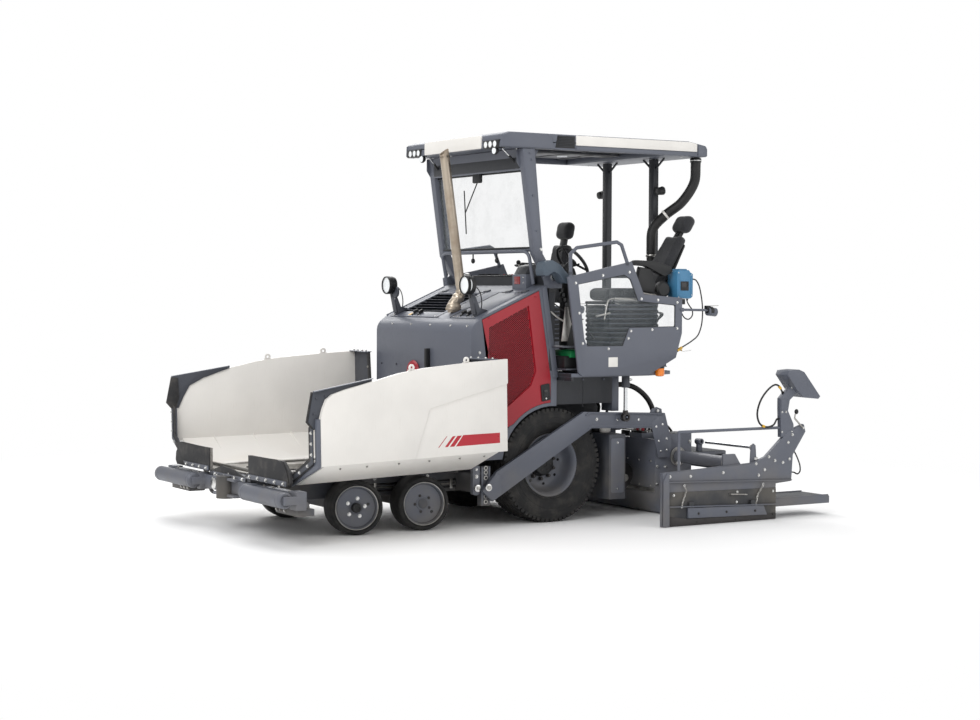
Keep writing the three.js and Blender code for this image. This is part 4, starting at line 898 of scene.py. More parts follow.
def make_push_beam():
    finer("push_beam", "tractor", GREY, 0.005)
    beam = Shape()
    # centre pivot housing
    beam.lathe([(0, 0.48), (0.15, 0.48), (0.17, 0.488), (0.17, 0.505), (0.155, 0.513), (0, 0.513)],
               (0, -2.74, 0), GREY, "Z", 40)
    beam.box((-0.235, -2.93, 0.318), (0.235, -2.80, 0.342), GREY)
    beam.box((-0.235, -2.93, 0.462), (0.235, -2.80, 0.486), GREY)
    beam.lathe([(0, 0.3), (0.085, 0.3), (0.085, 0.5), (0, 0.5)], (0, -2.905, 0), DARK, "Z", 32)
    for i in range(8):
        angle = math.tau * i / 8
        beam.bolt((0.135 * math.cos(angle), -2.74 + 0.135 * math.sin(angle), 0.513), (0, 0, 1), 0.011,
                  BRIGHT)
    for x in (-0.19, 0.19):
        beam.bolt((x, -2.905, 0.486), (0, 0, 1), 0.013, BRIGHT)
    beam.lathe([(0, 0), (0.052, 0), (0.058, 0.006), (0.058, 0.016), (0.05, 0.022), (0, 0.024)],
               (-0.29, -2.884, 0.41), BRIGHT, "Y", 28, mirror=-1)
    beam.lathe([(0, 0), (0.026, 0), (0.026, 0.05), (0, 0.05)], (0.47, -2.885, 0.36), BRIGHT, "Y", 20,
               mirror=-1)
    for side in (1, -1):
        # end box behind the roller, and the stepped foot under it
        beam.box((min(side * 1.27, side * 1.416), -2.885, 0.325),
                 (max(side * 1.27, side * 1.416), -2.79, 0.482), GREY, 0.006)
        beam.box((min(side * 0.95, side * 1.38), -2.86, 0.268),
                 (max(side * 0.95, side * 1.38), -2.70, 0.33), GREY_PAINTED_SHADE, 0.006)
        beam.box((min(side * 0.53, side * 0.60), -2.93, 0.33), (max(side * 0.53, side * 0.60), -2.80, 0.48),
                 GREY, 0.005)
        for x in (0.98, 1.06, 1.14):
            beam.bolt((side * x, -2.86, 0.3), (0, -1, 0), 0.012, STEEL)
        for x in (0.72, 0.9, 1.22):
            beam.bolt((side * x, -2.86, 0.47), (0, 0, 1), 0.01, STEEL)
        # tie-down ear on the frame
        ring(beam, (side * 0.94, -2.60, 0.29), "X", 0.062, 0.032, 0.016, GREY)
        beam.box((min(side * 0.50, side * 0.955), -2.66, 0.31),
                 (max(side * 0.50, side * 0.955), -2.57, 0.35), GREY_PAINTED_SHADE, 0.004)
    beam.place("push_beam_fittings", "tractor", slot="grey_paint")

    roller = Shape()
    inner, outer = 0.5585, 1.3865
    profile = [(0, inner), (0.052, inner), (0.062, inner + 0.006), (0.0695, inner + 0.014),
               (0.0695, inner + 0.05),
               (0.066, inner + 0.054), (0.066, inner + 0.06), (0.0698, inner + 0.064),
               (0.0698, outer - 0.075),
               (0.066, outer - 0.071), (0.066, outer - 0.064), (0.0698, outer - 0.06),
               (0.0698, outer - 0.014),
               (0.063, outer - 0.004), (0.05, outer), (0.047, outer - 0.006), (0.036, outer - 0.006),
               (0.034, outer),
               (0.02, outer), (0.018, outer - 0.004), (0, outer - 0.004)]
    roller.lathe(profile, (0, -2.97, 0.41), GREY, "X", 48)
    roller.rod((1.3, -2.97, 0.41), (1.392, -2.97, 0.41), 0.016, STEEL, 20)
    place_pair(roller, "push_roller_drum", "roller", replaces=("push_roller",))


# ---------------------------------------------------------------- front wheels
def make_front_wheels():
    for side, word in ((1, "left"), (-1, "right")):
        for i, y in enumerate(FRONT_AXLES_Y):
            stand = (Matrix.Translation((side * KING_PIN_X, y, FRONT_TYRE_RADIUS))
                     @ Matrix.Rotation(math.radians(STEER_DEG[i]), 4, "Z"))
            middle = FRONT_TYRE_OUTER_X - FRONT_TYRE_WIDTH / 2 - KING_PIN_X
            half = FRONT_TYRE_WIDTH / 2
            r = FRONT_TYRE_RADIUS
            wheel = Shape(stand)
            wheel.lathe([(0.174, -half + 0.004), (0.2, -half), (r - 0.02, -half), (r - 0.006, -half + 0.01),
                         (r, -half + 0.028), (r, half - 0.028), (r - 0.006, half - 0.01),
                         (r - 0.02, half - 0.001),
                         (0.212, half), (0.207, half - 0.004), (0.203, half - 0.001), (0.199, half - 0.006),
                         (0.197, half - 0.016), (0.174, half - 0.03), (0.174, -half + 0.004)],
                        (side * middle, 0, 0), SOLID_RUBBER, "X", 72, side)
            face = half - 0.036
            wheel.lathe([(0, face - 0.02), (0, face), (0.052, face), (0.054, face + 0.003),
                         (0.062, face + 0.003),
                         (0.064, face), (0.168, face), (0.176, face + 0.006), (0.182, face + 0.028),
                         (0.19, half - 0.002), (0.195, half + 0.001), (0.198, half - 0.004),
                         (0.1975, half - 0.02),
                         (0.176, half - 0.034), (0.172, 0.05), (0, 0.05)], (side * middle, 0, 0), GREY, "X",
                         72, side)
            wheel.lathe([(0.1895, half), (0.1925, half + 0.0025), (0.196, half + 0.0015),
                         (0.1945, half - 0.003),
                         (0.1895, half)], (side * middle, 0, 0), STEEL, "X", 72, side)
            front = side * (middle + face)
            if i == 0:
                wheel.lathe([(0, face - 0.004), (0.043, face - 0.004), (0.044, face + 0.03),
                             (0.038, face + 0.042),
                             (0.026, face + 0.044), (0.024, face + 0.038), (0.01, face + 0.038),
                             (0, face + 0.042)],
                            (side * middle, 0, 0), BLACK, "X", 36, side)
            else:
                wheel.lathe([(0, face), (0.04, face), (0.045, face + 0.004), (0.03, face + 0.007),
                             (0, face + 0.008)],
                            (side * middle, 0, 0), GREY_PAINTED_SHADE, "X", 36, side)
            for k in range(5):
                angle = math.tau * (k + (0.1 if i == 0 else 0.55)) / 5
                reach = 0.083 if i == 0 else 0.075
                at = (front, reach * math.cos(angle), reach * math.sin(angle))
                wheel.bolt(at, (side, 0, 0), 0.0125 if i == 0 else 0.01, BRIGHT if i == 0 else IRON)
            # black disc on the wheel face: painted shade of the hole in it
            valve = math.radians(14 if i == 0 else -42)
            hole = (front, 0.115 * math.cos(valve), 0.115 * math.sin(valve))
            wheel.rod((hole[0] - side * 0.004, *hole[1:]), (hole[0] + side * 0.0006, *hole[1:]), 0.015,
                      BLACK_GLOSS, 24)
            wheel.place(f"front_wheel_{word}_{i + 1}_tyre", f"front_wheel_{word}_{i + 1}",
                        replaces=(f"front_wheel_{word}_{i + 1}",), slot="solid_rubber")
            finer(f"knuckle_{word}_{i + 1}", f"knuckle_{word}_{i + 1}", DARK, 0.004)


# ---------------------------------------------------------------- rear wheels
def make_rear_wheels():
    half = REAR_TYRE_WIDTH / 2
    r = REAR_TYRE_RADIUS
    centre = (REAR_TYRE_OUTER_X - half, 0, r)
    tyre = Shape()
    tread = [(0.532, half - 0.048)]
    for groove in (0.118, 0.04, -0.04, -0.118):
        tread += [(0.5335, groove + 0.008), (0.52, groove + 0.005), (0.52, groove - 0.005),
                  (0.5335, groove - 0.008)]
    tread.append((0.532, -half + 0.048))
    wall = [(0.292, half - 0.055), (0.3, half - 0.047), (0.318, half - 0.04), (0.322, half - 0.043),
            (0.35, half - 0.018), (0.39, half - 0.006), (0.4, half - 0.001), (0.405, half - 0.005),
            (0.43, half - 0.0015), (0.446, half - 0.004), (0.449, half - 0.001), (0.474, half - 0.004),
            (0.492, half - 0.012), (0.508, half - 0.022), (0.522, half - 0.034)]
    profile = wall + tread + [(rad, -a) for rad, a in reversed(wall)] + [wall[0]]
    tyre.lathe(profile, centre, TYRE, "X", 96)
    lugs = 66
    for k in range(lugs):
        angle = math.tau * k / lugs
        turn = Matrix.Translation(centre) @ Matrix.Rotation(angle, 4, "X")
        for outer in (1, -1):
            a, b = outer * (half - 0.061), outer * (half - 0.018)
            tyre.box((min(a, b), -0.0165, 0.492), (max(a, b), 0.0165, 0.5335), TYRE, 0, matrix=turn)
        turn = Matrix.Translation(centre) @ Matrix.Rotation(angle + 0.03, 4, "X")
        for rib in (-0.079, 0.0, 0.079):
            tyre.box((rib - 0.028, -0.0175, 0.525), (rib + 0.028, 0.0175, 0.5355), TYRE, 0, matrix=turn)
    place_pair(tyre, "rear_tyre_tread", "rear_wheel", replaces=("rear_tyre",), slot="tyre")

    rim = Shape()
    seat = 0.2915
    rim.lathe([(0.25, 0.03), (0.256, 0.075), (0.263, 0.118), (0.273, 0.13), (0.279, 0.143), (0.288, 0.15),
               (0.296, 0.149), (0.299, 0.143), (0.297, 0.1385), (seat, 0.1375), (seat, -0.1375),
               (0.298, -0.139),
               (0.296, -0.149), (0.28, -0.147), (0.268, -0.12), (0.258, -0.07), (0.244, -0.05),
               (0.2, -0.058),
               (0.17, -0.087), (0, -0.087), (0, -0.03), (0.11, -0.03), (0.15, -0.03), (0.17, -0.022),
               (0.205, -0.018), (0.228, 0.0), (0.25, 0.03)], centre, GREY, "X", 80)
    rim.lathe([(0.2965, 0.1505), (0.2995, 0.1465), (0.301, 0.143), (0.2965, 0.1485)], centre, STEEL, "X",
              80)
    rim.lathe([(0, 0.048), (0.02, 0.048), (0.026, 0.054), (0.088, 0.054), (0.098, 0.048), (0.104, 0.03),
               (0.108, -0.005), (0.118, -0.012), (0.122, -0.031), (0, -0.031)], centre, BLACK, "X", 48)
    for k in range(10):
        angle = math.tau * (k + 0.5) / 10
        at = (centre[0] - 0.024, 0.1425 * math.cos(angle), r + 0.1425 * math.sin(angle))
        rim.rod(at, (at[0] + 0.014, at[1], at[2]), 0.019, IRON, 20)
        rim.rod(at, (at[0] + 0.034, at[1], at[2]), 0.0145, IRON, 6, bevel=0.0015)
    # thin black discs on the rim's face: painted shade of its holes
    for k in range(8):
        angle = math.tau * (k + 0.2) / 8
        at = (centre[0] - 0.0165, 0.193 * math.cos(angle), r + 0.193 * math.sin(angle))
        rim.rod(at, (at[0] + 0.0015, at[1], at[2]), 0.013, BLACK_GLOSS, 20)
    rim.rod((centre[0] + 0.06, 0.235, r - 0.11), (centre[0] + 0.105, 0.24, r - 0.112), 0.004, BRIGHT, 10)
    for k in range(6):
        angle = math.tau * k / 6
        at = (centre[0] + 0.054, 0.062 * math.cos(angle), r + 0.062 * math.sin(angle))
        rim.bolt(at, (1, 0, 0), 0.007, IRON)
    place_pair(rim, "rear_rim_disc", "rear_wheel", replaces=("rear_rim",), slot="grey_paint")


make_wings()
make_hopper_floor()
make_push_beam()
make_front_wheels()
make_rear_wheels()


# ---------------------------------------------------------------- hood, doors, hatches
SLOPE_ANGLE = math.atan(HOOD_SLOPE)
SLOPE = Matrix.Translation((0, 0, HOOD_TOP_AT_AXLE)) @ Matrix.Rotation(SLOPE_ANGLE, 4, "X")


def along_slope(y):
    """Distance along the hood's slope that lies at y."""
    return y / math.cos(SLOPE_ANGLE)


DOOR = [(-0.775, hood_top(-0.775) - 0.024), (-0.16, hood_top(-0.16) - 0.024), (-0.025, 1.354)]
DOOR += [(0.59 * math.cos(math.radians(a)), 0.536 + 0.59 * math.sin(math.radians(a)))
         for a in (92.5, 99.9, 107.3, 114.8, 122.2, 129.6, 137)]
DOOR += [(-0.547, 0.886)]


def make_hood():
    finer("hood", "tractor", GREY, 0.008, 40)
    hood = Shape()
    for side in (1, -1):
        for y, z in ((-0.80, 1.60), (-0.80, 1.53), (-0.82, 1.2), (-0.82, 0.9)):
            hood.bolt((side * 0.909, y, z), (side, 0, 0), 0.01, BRIGHT)
        # slanted strip between the door and the operator's space
        hood.plate([(-0.128, 2.188), (-0.078, 2.215), (0.05, 1.42), (0.05, 1.36), (-0.002, 1.36)], "yz",
                   side * 0.905, side * 0.917, GREY, 0.002)
        # gutter along the top edge
        hood.box((min(side * 0.897, side * 0.913), along_slope(-0.78), -0.012),
                 (max(side * 0.897, side * 0.913), along_slope(-0.12), 0.006), GREY, 0.002, SLOPE)
    for x in (-0.62, -0.25, 0.12, 0.5, 0.8):
        hood.bolt((x, -0.868, 1.84), (0, -0.75, 0.66), 0.009, BRIGHT)
    # wear plate and guide on the front face
    hood.box((-0.46, -0.902, 0.62), (0.46, -0.892, 0.93), GREY_PAINTED_SHADE, 0.004)
    hood.box((0.12, -0.935, 1.32), (0.16, -0.892, 1.62), BLACK, 0.005)
    hood.lathe([(0, 0), (0.1, 0), (0.11, 0.012), (0.1, 0.03), (0.055, 0.042), (0, 0.042)],
               (-0.14, -0.892, 1.39),
               RED, "Y", 32, mirror=-1)
    for x in (-0.8, -0.5, 0.5, 0.8):
        for z in (0.75, 1.1, 1.45):
            hood.bolt((x, -0.891, z), (0, -1, 0), 0.008, GREY_PAINTED_SHADE)
    # filler with its T-handle, on the far side
    spot = (-0.34, -0.19)
    top = hood_top(spot[1])
    hood.rod((*spot, top - 0.01), (*spot, top + 0.07), 0.038, GREY_PAINTED_SHADE, 24)
    hood.rod((*spot, top + 0.065), (*spot, top + 0.10), 0.03, BRIGHT, 20, 0.022)
    hood.rod((*spot, top + 0.09), (*spot, top + 0.15), 0.008, BRIGHT, 12)
    hood.rod((spot[0] - 0.045, spot[1], top + 0.145), (spot[0] + 0.045, spot[1], top + 0.145), 0.008,
             BRIGHT, 12)
    hood.lathe([(0, 0), (0.03, 0), (0.034, 0.006), (0, 0.01)], (spot[0], spot[1], top + 0.152), BRIGHT, "Z",
               20)
    # indicator box near the operator
    hood.box((0.46, -0.17, hood_top(-0.13) - 0.02), (0.70, -0.075, hood_top(-0.13) + 0.12), GREY, 0.006)
    hood.box((0.50, -0.174, hood_top(-0.13) + 0.028), (0.60, -0.168, hood_top(-0.13) + 0.1), SCREEN_RED,
             0.001)
    hood.bolt((0.66, -0.171, hood_top(-0.13) + 0.09), (0, -1, 0), 0.006, BRIGHT)
    hood.bolt((0.66, -0.171, hood_top(-0.13) + 0.04), (0, -1, 0), 0.006, BRIGHT)
    # trim strip and the seam between the hatches
    hood.box((0.112, along_slope(-0.79), -0.004), (0.118, along_slope(-0.25), 0.002), DARK, 0, SLOPE)
    hood.box((0.355, along_slope(-0.79), -0.004), (0.361, along_slope(-0.25), 0.002), DARK, 0, SLOPE)
    for x in (-0.7, -0.3, 0.1, 0.5, 0.78):
        hood.box((x - 0.04, along_slope(-0.245), -0.004), (x + 0.04, along_slope(-0.205), 0.01), GREY_PAINTED_SHADE,
                 0.003, SLOPE)
    hood.place("hood_fittings", "tractor", slot="grey_paint")


def make_doors():
    door = Shape()
    opening = framed(door, DOOR, "yz", 0.884, 0.9125, 0.002, RED, 0.003)
    window = [(-0.70, 1.83), (-0.27, 2.03), (-0.185, 1.42), (-0.24, 1.285), (-0.53, 1.07), (-0.60, 1.13),
              (-0.715, 1.42)]
    door_sheet(door, opening, window)
    lattice(door, window, 0.8955, 0.0125, 0.0023, RED)
    door.plate([(-0.125, 1.135), (-0.03, 1.15), (-0.04, 1.305), (-0.14, 1.29)], "yz", 0.9125, 0.921, BLACK,
               0.003,
               corner=0.012)
    door.plate([(-0.105, 1.175), (-0.06, 1.182), (-0.064, 1.25), (-0.11, 1.245)], "yz", 0.921, 0.925,
               BLACK_GLOSS, 0.002)
    door.rod((0.921, -0.083, 1.165), (0.929, -0.083, 1.165), 0.008, BRIGHT, 16)
    for y, z in ((-0.752, 1.5), (-0.752, 1.0), (-0.70, 1.92), (-0.2, 2.11), (-0.06, 1.45)):
        door.bolt((0.9125, y, z), (1, 0, 0), 0.006, RED)
    place_pair(door, "service_door_leaf", "door", replaces=("service_door",), slot="red_paint")


def door_sheet(shape, outline, window):
    """Sheet that fills an outline around a convex window: a strip from each window edge to the outline."""
    part = bmesh.new()
    low, high = 0.8865, 0.9105
    for x in (low, high):
        rim = [part.verts.new((x, u, v)) for u, v in outline]
        hole = [part.verts.new((x, u, v)) for u, v in window]
        edges = [part.edges.new((loop[i], loop[(i + 1) % len(loop)]))
                 for loop in (rim, hole) for i in range(len(loop))]
        bmesh.ops.triangle_fill(part, use_beauty=True, use_dissolve=False, edges=edges, normal=(1, 0, 0))
        if x == low:
            inner = edges
    for a, b in zip(inner, edges):
        part.faces.new((*a.verts, *reversed(b.verts)))
    shape._finish_part(part, RED)


def work_lamp(shape, x, lenses):
    y = -0.72
    top = hood_top(y)
    for side in (-1, 1):
        shape.plate([(y - 0.05, hood_top(y - 0.05)), (y - 0.035, hood_top(y)), (y - 0.08, 2.12),
                     (y - 0.058, 2.13),
                     (y - 0.005, hood_top(y) + 0.06), (y + 0.07, hood_top(y + 0.07) + 0.014),
                     (y + 0.075, hood_top(y + 0.075))], "yz", x + side * 0.034 - 0.003,
                     x + side * 0.034 + 0.003, GREY_PAINTED_SHADE, 0.001)
    shape.box((x - 0.037, along_slope(y - 0.055), 0.0), (x + 0.037, along_slope(y + 0.08), 0.006),
              GREY_PAINTED_SHADE, 0.002, SLOPE)
    shape.plate([(y - 0.05, top), (y - 0.09, 2.13), (y - 0.083, 2.13), (y - 0.042, top)], "yz", x - 0.034,
                x + 0.034,
                GREY_PAINTED_SHADE, 0.001)
    shape.rod((x, y - 0.075, 2.10), (x, y - 0.09, 2.16), 0.013, BLACK, 16)
    head = (x, -0.873, 2.216)
    shape.lathe([(0.078, -0.002), (0.085, -0.004), (0.0885, 0.004), (0.0885, 0.03), (0.086, 0.034),
                 (0.0865, 0.062),
                 (0.08, 0.085), (0.06, 0.094), (0.0, 0.096), (0, 0.03), (0.07, 0.03), (0.078, 0.012),
                 (0.078, -0.002)],
                head, BLACK, "Y", 48)
    shape.lathe([(0, 0.0), (0.05, 0.002), (0.077, 0.008), (0.077, 0.016), (0, 0.016)], head, LAMP, "Y", 48)
    shape.lathe([(0, 0.028), (0.03, 0.024), (0.06, 0.018), (0.078, 0.0165), (0.07, 0.03), (0, 0.03)], head,
                CHROME, "Y", 36)
    if lenses == 2:
        twin = (x + 0.055, -0.85, 2.218)
        shape.lathe([(0.062, -0.004), (0.072, -0.004), (0.075, 0.004), (0.07, 0.03), (0.04, 0.05),
                     (0, 0.052), (0, 0.02),
                     (0.062, 0.01), (0.062, -0.004)], twin, BLACK, "Y", 40)
        shape.lathe([(0, 0.0), (0.062, 0.004), (0.062, 0.012), (0, 0.012)], twin, LAMP, "Y", 40)
    else:
        shape.lathe([(0, -0.008), (0.05, -0.008), (0.054, 0), (0.05, 0.012), (0, 0.012)],
                    (x + 0.07, -0.80, 2.15),
                    GREY_PAINTED_SHADE, "Y", 28)
    shape.sweep([(x, -0.785, 2.20), (x, -0.74, 2.20), (x + 0.004, -0.70, 2.15), (x, -0.68, 2.06),
                 (x, -0.69, 1.98),
                 (x, -0.67, hood_top(-0.67) + 0.004)], 0.005, HOSE, 8, 0.03)


def make_hatches():
    for word, x0, x1, lamp_x in (("left", 0.365, 0.805, 0.75), ("right", -0.805, 0.107, -0.75)):
        hatch = Shape()
        start, end = along_slope(-0.79), along_slope(-0.25)
        if word == "right":
            inset = 0.055
            first, last = start + 0.115, end - 0.025
            hatch.box((x0, start, -0.018), (x0 + inset, end, 0), GREY, 0.003, SLOPE)
            hatch.box((x1 - inset, start, -0.018), (x1, end, 0), GREY, 0.003, SLOPE)
            hatch.box((x0 + inset - 0.001, start, -0.018), (x1 - inset + 0.001, first, 0), GREY, 0.003,
                      SLOPE)
            hatch.box((x0 + inset - 0.001, last, -0.018), (x1 - inset + 0.001, end, 0), GREY, 0.003, SLOPE)
            hatch.box((x0 + inset, first, -0.017), (x1 - inset, last, -0.013), BLACK_GLOSS, 0, SLOPE)
            pitch = (last - first) / 7
            for k in range(7):
                s = first + k * pitch
                blade = SLOPE @ Matrix.Translation((0, s + pitch * 0.62, -0.004)) @ Matrix.Rotation(-0.42,
                                                                                                    4, "X")
                hatch.box((x0 + inset, -pitch * 0.36, -0.0015), (x1 - inset, pitch * 0.36, 0.0015), GREY,
                          0.001, blade)
                for side_x in (x0 + inset, x1 - inset - 0.003):
                    hatch.box((side_x, s, -0.016), (side_x + 0.003, s + pitch * 0.6, -0.002), GREY, 0,
                              SLOPE)
        else:
            hatch.box((x0, start, -0.018), (x1, end, 0), GREY, 0.004, SLOPE)
            hatch.box((x0 + 0.03, start + 0.13, 0), (x1 - 0.03, end - 0.05, 0.0015), GREY, 0.001, SLOPE)
        grip_x = -0.36 if word == "right" else 0.56
        for side in (-1, 1):
            turn = SLOPE @ Matrix.Translation((grip_x + side * 0.055, start + 0.055,
                                               0)) @ Matrix.Rotation(side * 0.25, 4, "Z")
            hatch.box((-0.013, -0.03, 0), (0.013, 0.045, 0.012), BLACK, 0.004, turn)
            hatch.box((-0.012, -0.005, 0.01), (0.012, 0.05, 0.034), BLACK, 0.006, turn)
        hatch.box((grip_x - 0.05, start + 0.05, 0), (grip_x + 0.05, start + 0.075, 0.008), GREY_PAINTED_SHADE, 0.003,
                  SLOPE)
        if word == "right":
            hatch.box((-0.50, start + 0.03, 0.0), (-0.445, start + 0.075, 0.002), YELLOW, 0.0005, SLOPE)
        for x in (x0 + 0.05, (x0 + x1) / 2 - 0.1, (x0 + x1) / 2 + 0.1, x1 - 0.05):
            hatch.bolt(SLOPE @ Vector((x, start + 0.014, 0)), (0, -HOOD_SLOPE, 1), 0.006, BRIGHT)
        for x in (x0 + 0.08, x1 - 0.08):
            hatch.rod(SLOPE @ Vector((x - 0.035, end, -0.002)), SLOPE @ Vector((x + 0.035, end, -0.002)),
                      0.007, DARK, 12)
        work_lamp(hatch, lamp_x, 2 if word == "left" else 1)
        hatch.place(f"hatch_{word}_lid", f"hatch_{word}", slot="grey_paint", replaces=(f"hatch_{word}",))


def make_exhaust():
    pipe = Shape()
    x, foot_y = 0.236, -0.70
    foot = hood_top(foot_y)
    low = foot + 0.03
    route = [Vector((x, foot_y, low)), Vector((x, foot_y - 0.004, 1.99)),
             Vector((x, foot_y + 0.014, 2.045)),
             Vector((x, foot_y + 0.05, 2.085)), Vector((x, -0.615, 2.112)), Vector((x, -0.596, 2.16)),
             Vector((x, -0.608, 2.22)), Vector((x, -0.785, 3.43))]
    pipe.sweep(route, 0.045, BRONZE, 28, closed_ends=False)
    tip = Vector((x, -0.785, 3.43))
    along = (route[-1] - route[-2]).normalized()
    # slant-cut mouth, open, with a black disc down the bore: soot, and painted shade inside the pipe
    part = bmesh.new()
    turn = Matrix.Translation(tip + along * 0.03) @ along.to_track_quat("Z", "Y").to_matrix().to_4x4()
    bmesh.ops.create_cone(part, cap_ends=False, segments=28, radius1=0.045, radius2=0.045, depth=0.10,
                          matrix=turn)
    bmesh.ops.bisect_plane(part, geom=part.verts[:] + part.edges[:] + part.faces[:],
                           plane_co=tip + along * 0.035,
                           plane_no=(0, -0.62, 0.78), clear_outer=True)
    bmesh.ops.solidify(part, geom=part.faces[:], thickness=0.003)
    pipe._finish_part(part, BRONZE)
    pipe.rod(tip - along * 0.02, tip + along * 0.001, 0.042, BLACK_GLOSS, 28)
    pipe.rod((x, foot_y, foot + 0.0268), (x, foot_y, foot + 0.05), 0.06, BRONZE, 32, bevel=0.004)
    pipe.rod((x, foot_y, foot + 0.05), (x, foot_y, foot + 0.058), 0.05, STEEL, 28)
    for at, axis in ((1.985, route[1]), (2.2, route[6])):
        out = Vector((0, -0.02, 1)).normalized()
        pipe.rod(axis - out * 0.008, axis + out * 0.008, 0.0475, BRONZE, 28, bevel=0.003)
    pipe.lathe([(0.046, -0.012), (0.052, -0.012), (0.053, -0.008), (0.053, 0.008), (0.052, 0.012),
                (0.046, 0.012),
                (0.046, -0.012)], (x, -0.60, 2.16), BRONZE, "Z", 28)
    # outer shroud round the bend
    pipe.ball((x, foot_y + 0.02, 2.01), 0.072, BRONZE, (0.9, 1.0, 0.8), 28)
    pipe.ball((x, -0.63, 2.10), 0.056, BRONZE, (1, 1.05, 0.9), 24)
    for k in range(6):
        angle = math.tau * k / 6
        pipe.bolt((x + 0.051 * math.cos(angle), foot_y + 0.051 * math.sin(angle), foot + 0.05), (0, 0, 1),
                  0.006, STEEL)
    pipe.place("exhaust_pipe", "tractor", 40, "heated_steel", ("exhaust",))


def make_engine():
    low = 0.9305
    motor = Shape()
    motor.box((-0.26, -0.70, low), (0.26, -0.16, 1.30), IRON, 0.02)
    motor.box((-0.20, -0.68, 1.30), (0.20, -0.18, 1.46), IRON, 0.025)
    motor.box((-0.17, -0.66, 1.46), (0.17, -0.20, 1.56), STEEL, 0.03)
    motor.box((-0.42, -0.765, low), (0.42, -0.725, 1.63), DARK, 0.006)
    for i in range(22):
        x = -0.39 + i * 0.0365
        motor.box((x, -0.775, 0.98), (x + 0.006, -0.765, 1.6), STEEL, 0)
    for side in (1, -1):
        motor.rod((side * 0.33, -0.62, low + 0.16), (side * 0.33, -0.30, low + 0.16), 0.085, GREY_PAINTED_SHADE, 32,
                  bevel=0.01)
        motor.rod((side * 0.33, -0.2, low), (side * 0.33, -0.2, 1.32), 0.055, BRIGHT, 28, bevel=0.006)
        motor.rod((side * 0.35, -0.46, 1.28), (side * 0.35, -0.46, 1.50), 0.06, WHITE, 28, bevel=0.008)
        for k in range(4):
            y = -0.62 + k * 0.13
            motor.sweep([(side * 0.19, y, 1.42), (side * 0.30, y, 1.44), (side * 0.34, y + 0.02, 1.34),
                         (side * 0.34, y + 0.02, 1.2)],
                        0.022, BRONZE, 12, 0.05)
            motor.bolt((side * 0.262, y, 1.1), (side, 0, 0), 0.012, BRIGHT)
        motor.sweep([(side * 0.20, -0.3, 1.52), (side * 0.38, -0.32, 1.56), (side * 0.40, -0.5, 1.40),
                     (side * 0.36, -0.66, 1.3),
                     (side * 0.30, -0.73, 1.25)], 0.03, HOSE, 14, 0.07)
        motor.sweep([(side * 0.40, -0.18, 1.0), (side * 0.42, -0.3, 1.05), (side * 0.41, -0.5, 1.0),
                     (side * 0.42, -0.7, 1.08)],
                    0.013, STEEL, 10, 0.05)
        motor.sweep([(side * 0.26, -0.17, 1.25), (side * 0.40, -0.19, 1.35), (side * 0.42, -0.3, 1.55),
                     (side * 0.3, -0.4, 1.6)],
                    0.011, HOSE, 10, 0.06)
    motor.place("engine_block", "tractor", slot="dark_iron", replaces=("engine",))


make_hood()
make_doors()
make_hatches()
make_exhaust()
make_engine()


# ---------------------------------------------------------------- operator's platform
# side, top of the seat's base, foot of its back, lean of the back in degrees
SEATS = ((1, 2.07, 1.215, 33), (-1, 1.95, 1.09, 12))


def cut_deck_corners(part):
    """Takes the deck's rear corners back at an angle, behind the side panels."""
    bmesh.ops.bisect_plane(part, geom=part.verts[:] + part.edges[:] + part.faces[:], plane_co=(0, 0.96, 0),
                           plane_no=(0, 1, 0))
    for vert in part.verts:
        if abs(vert.co.x) > 1.05 and vert.co.y > 1.30 and 1.35 < vert.co.z < 1.41:
            vert.co.x = math.copysign(0.96, vert.co.x)
    part.normal_update()


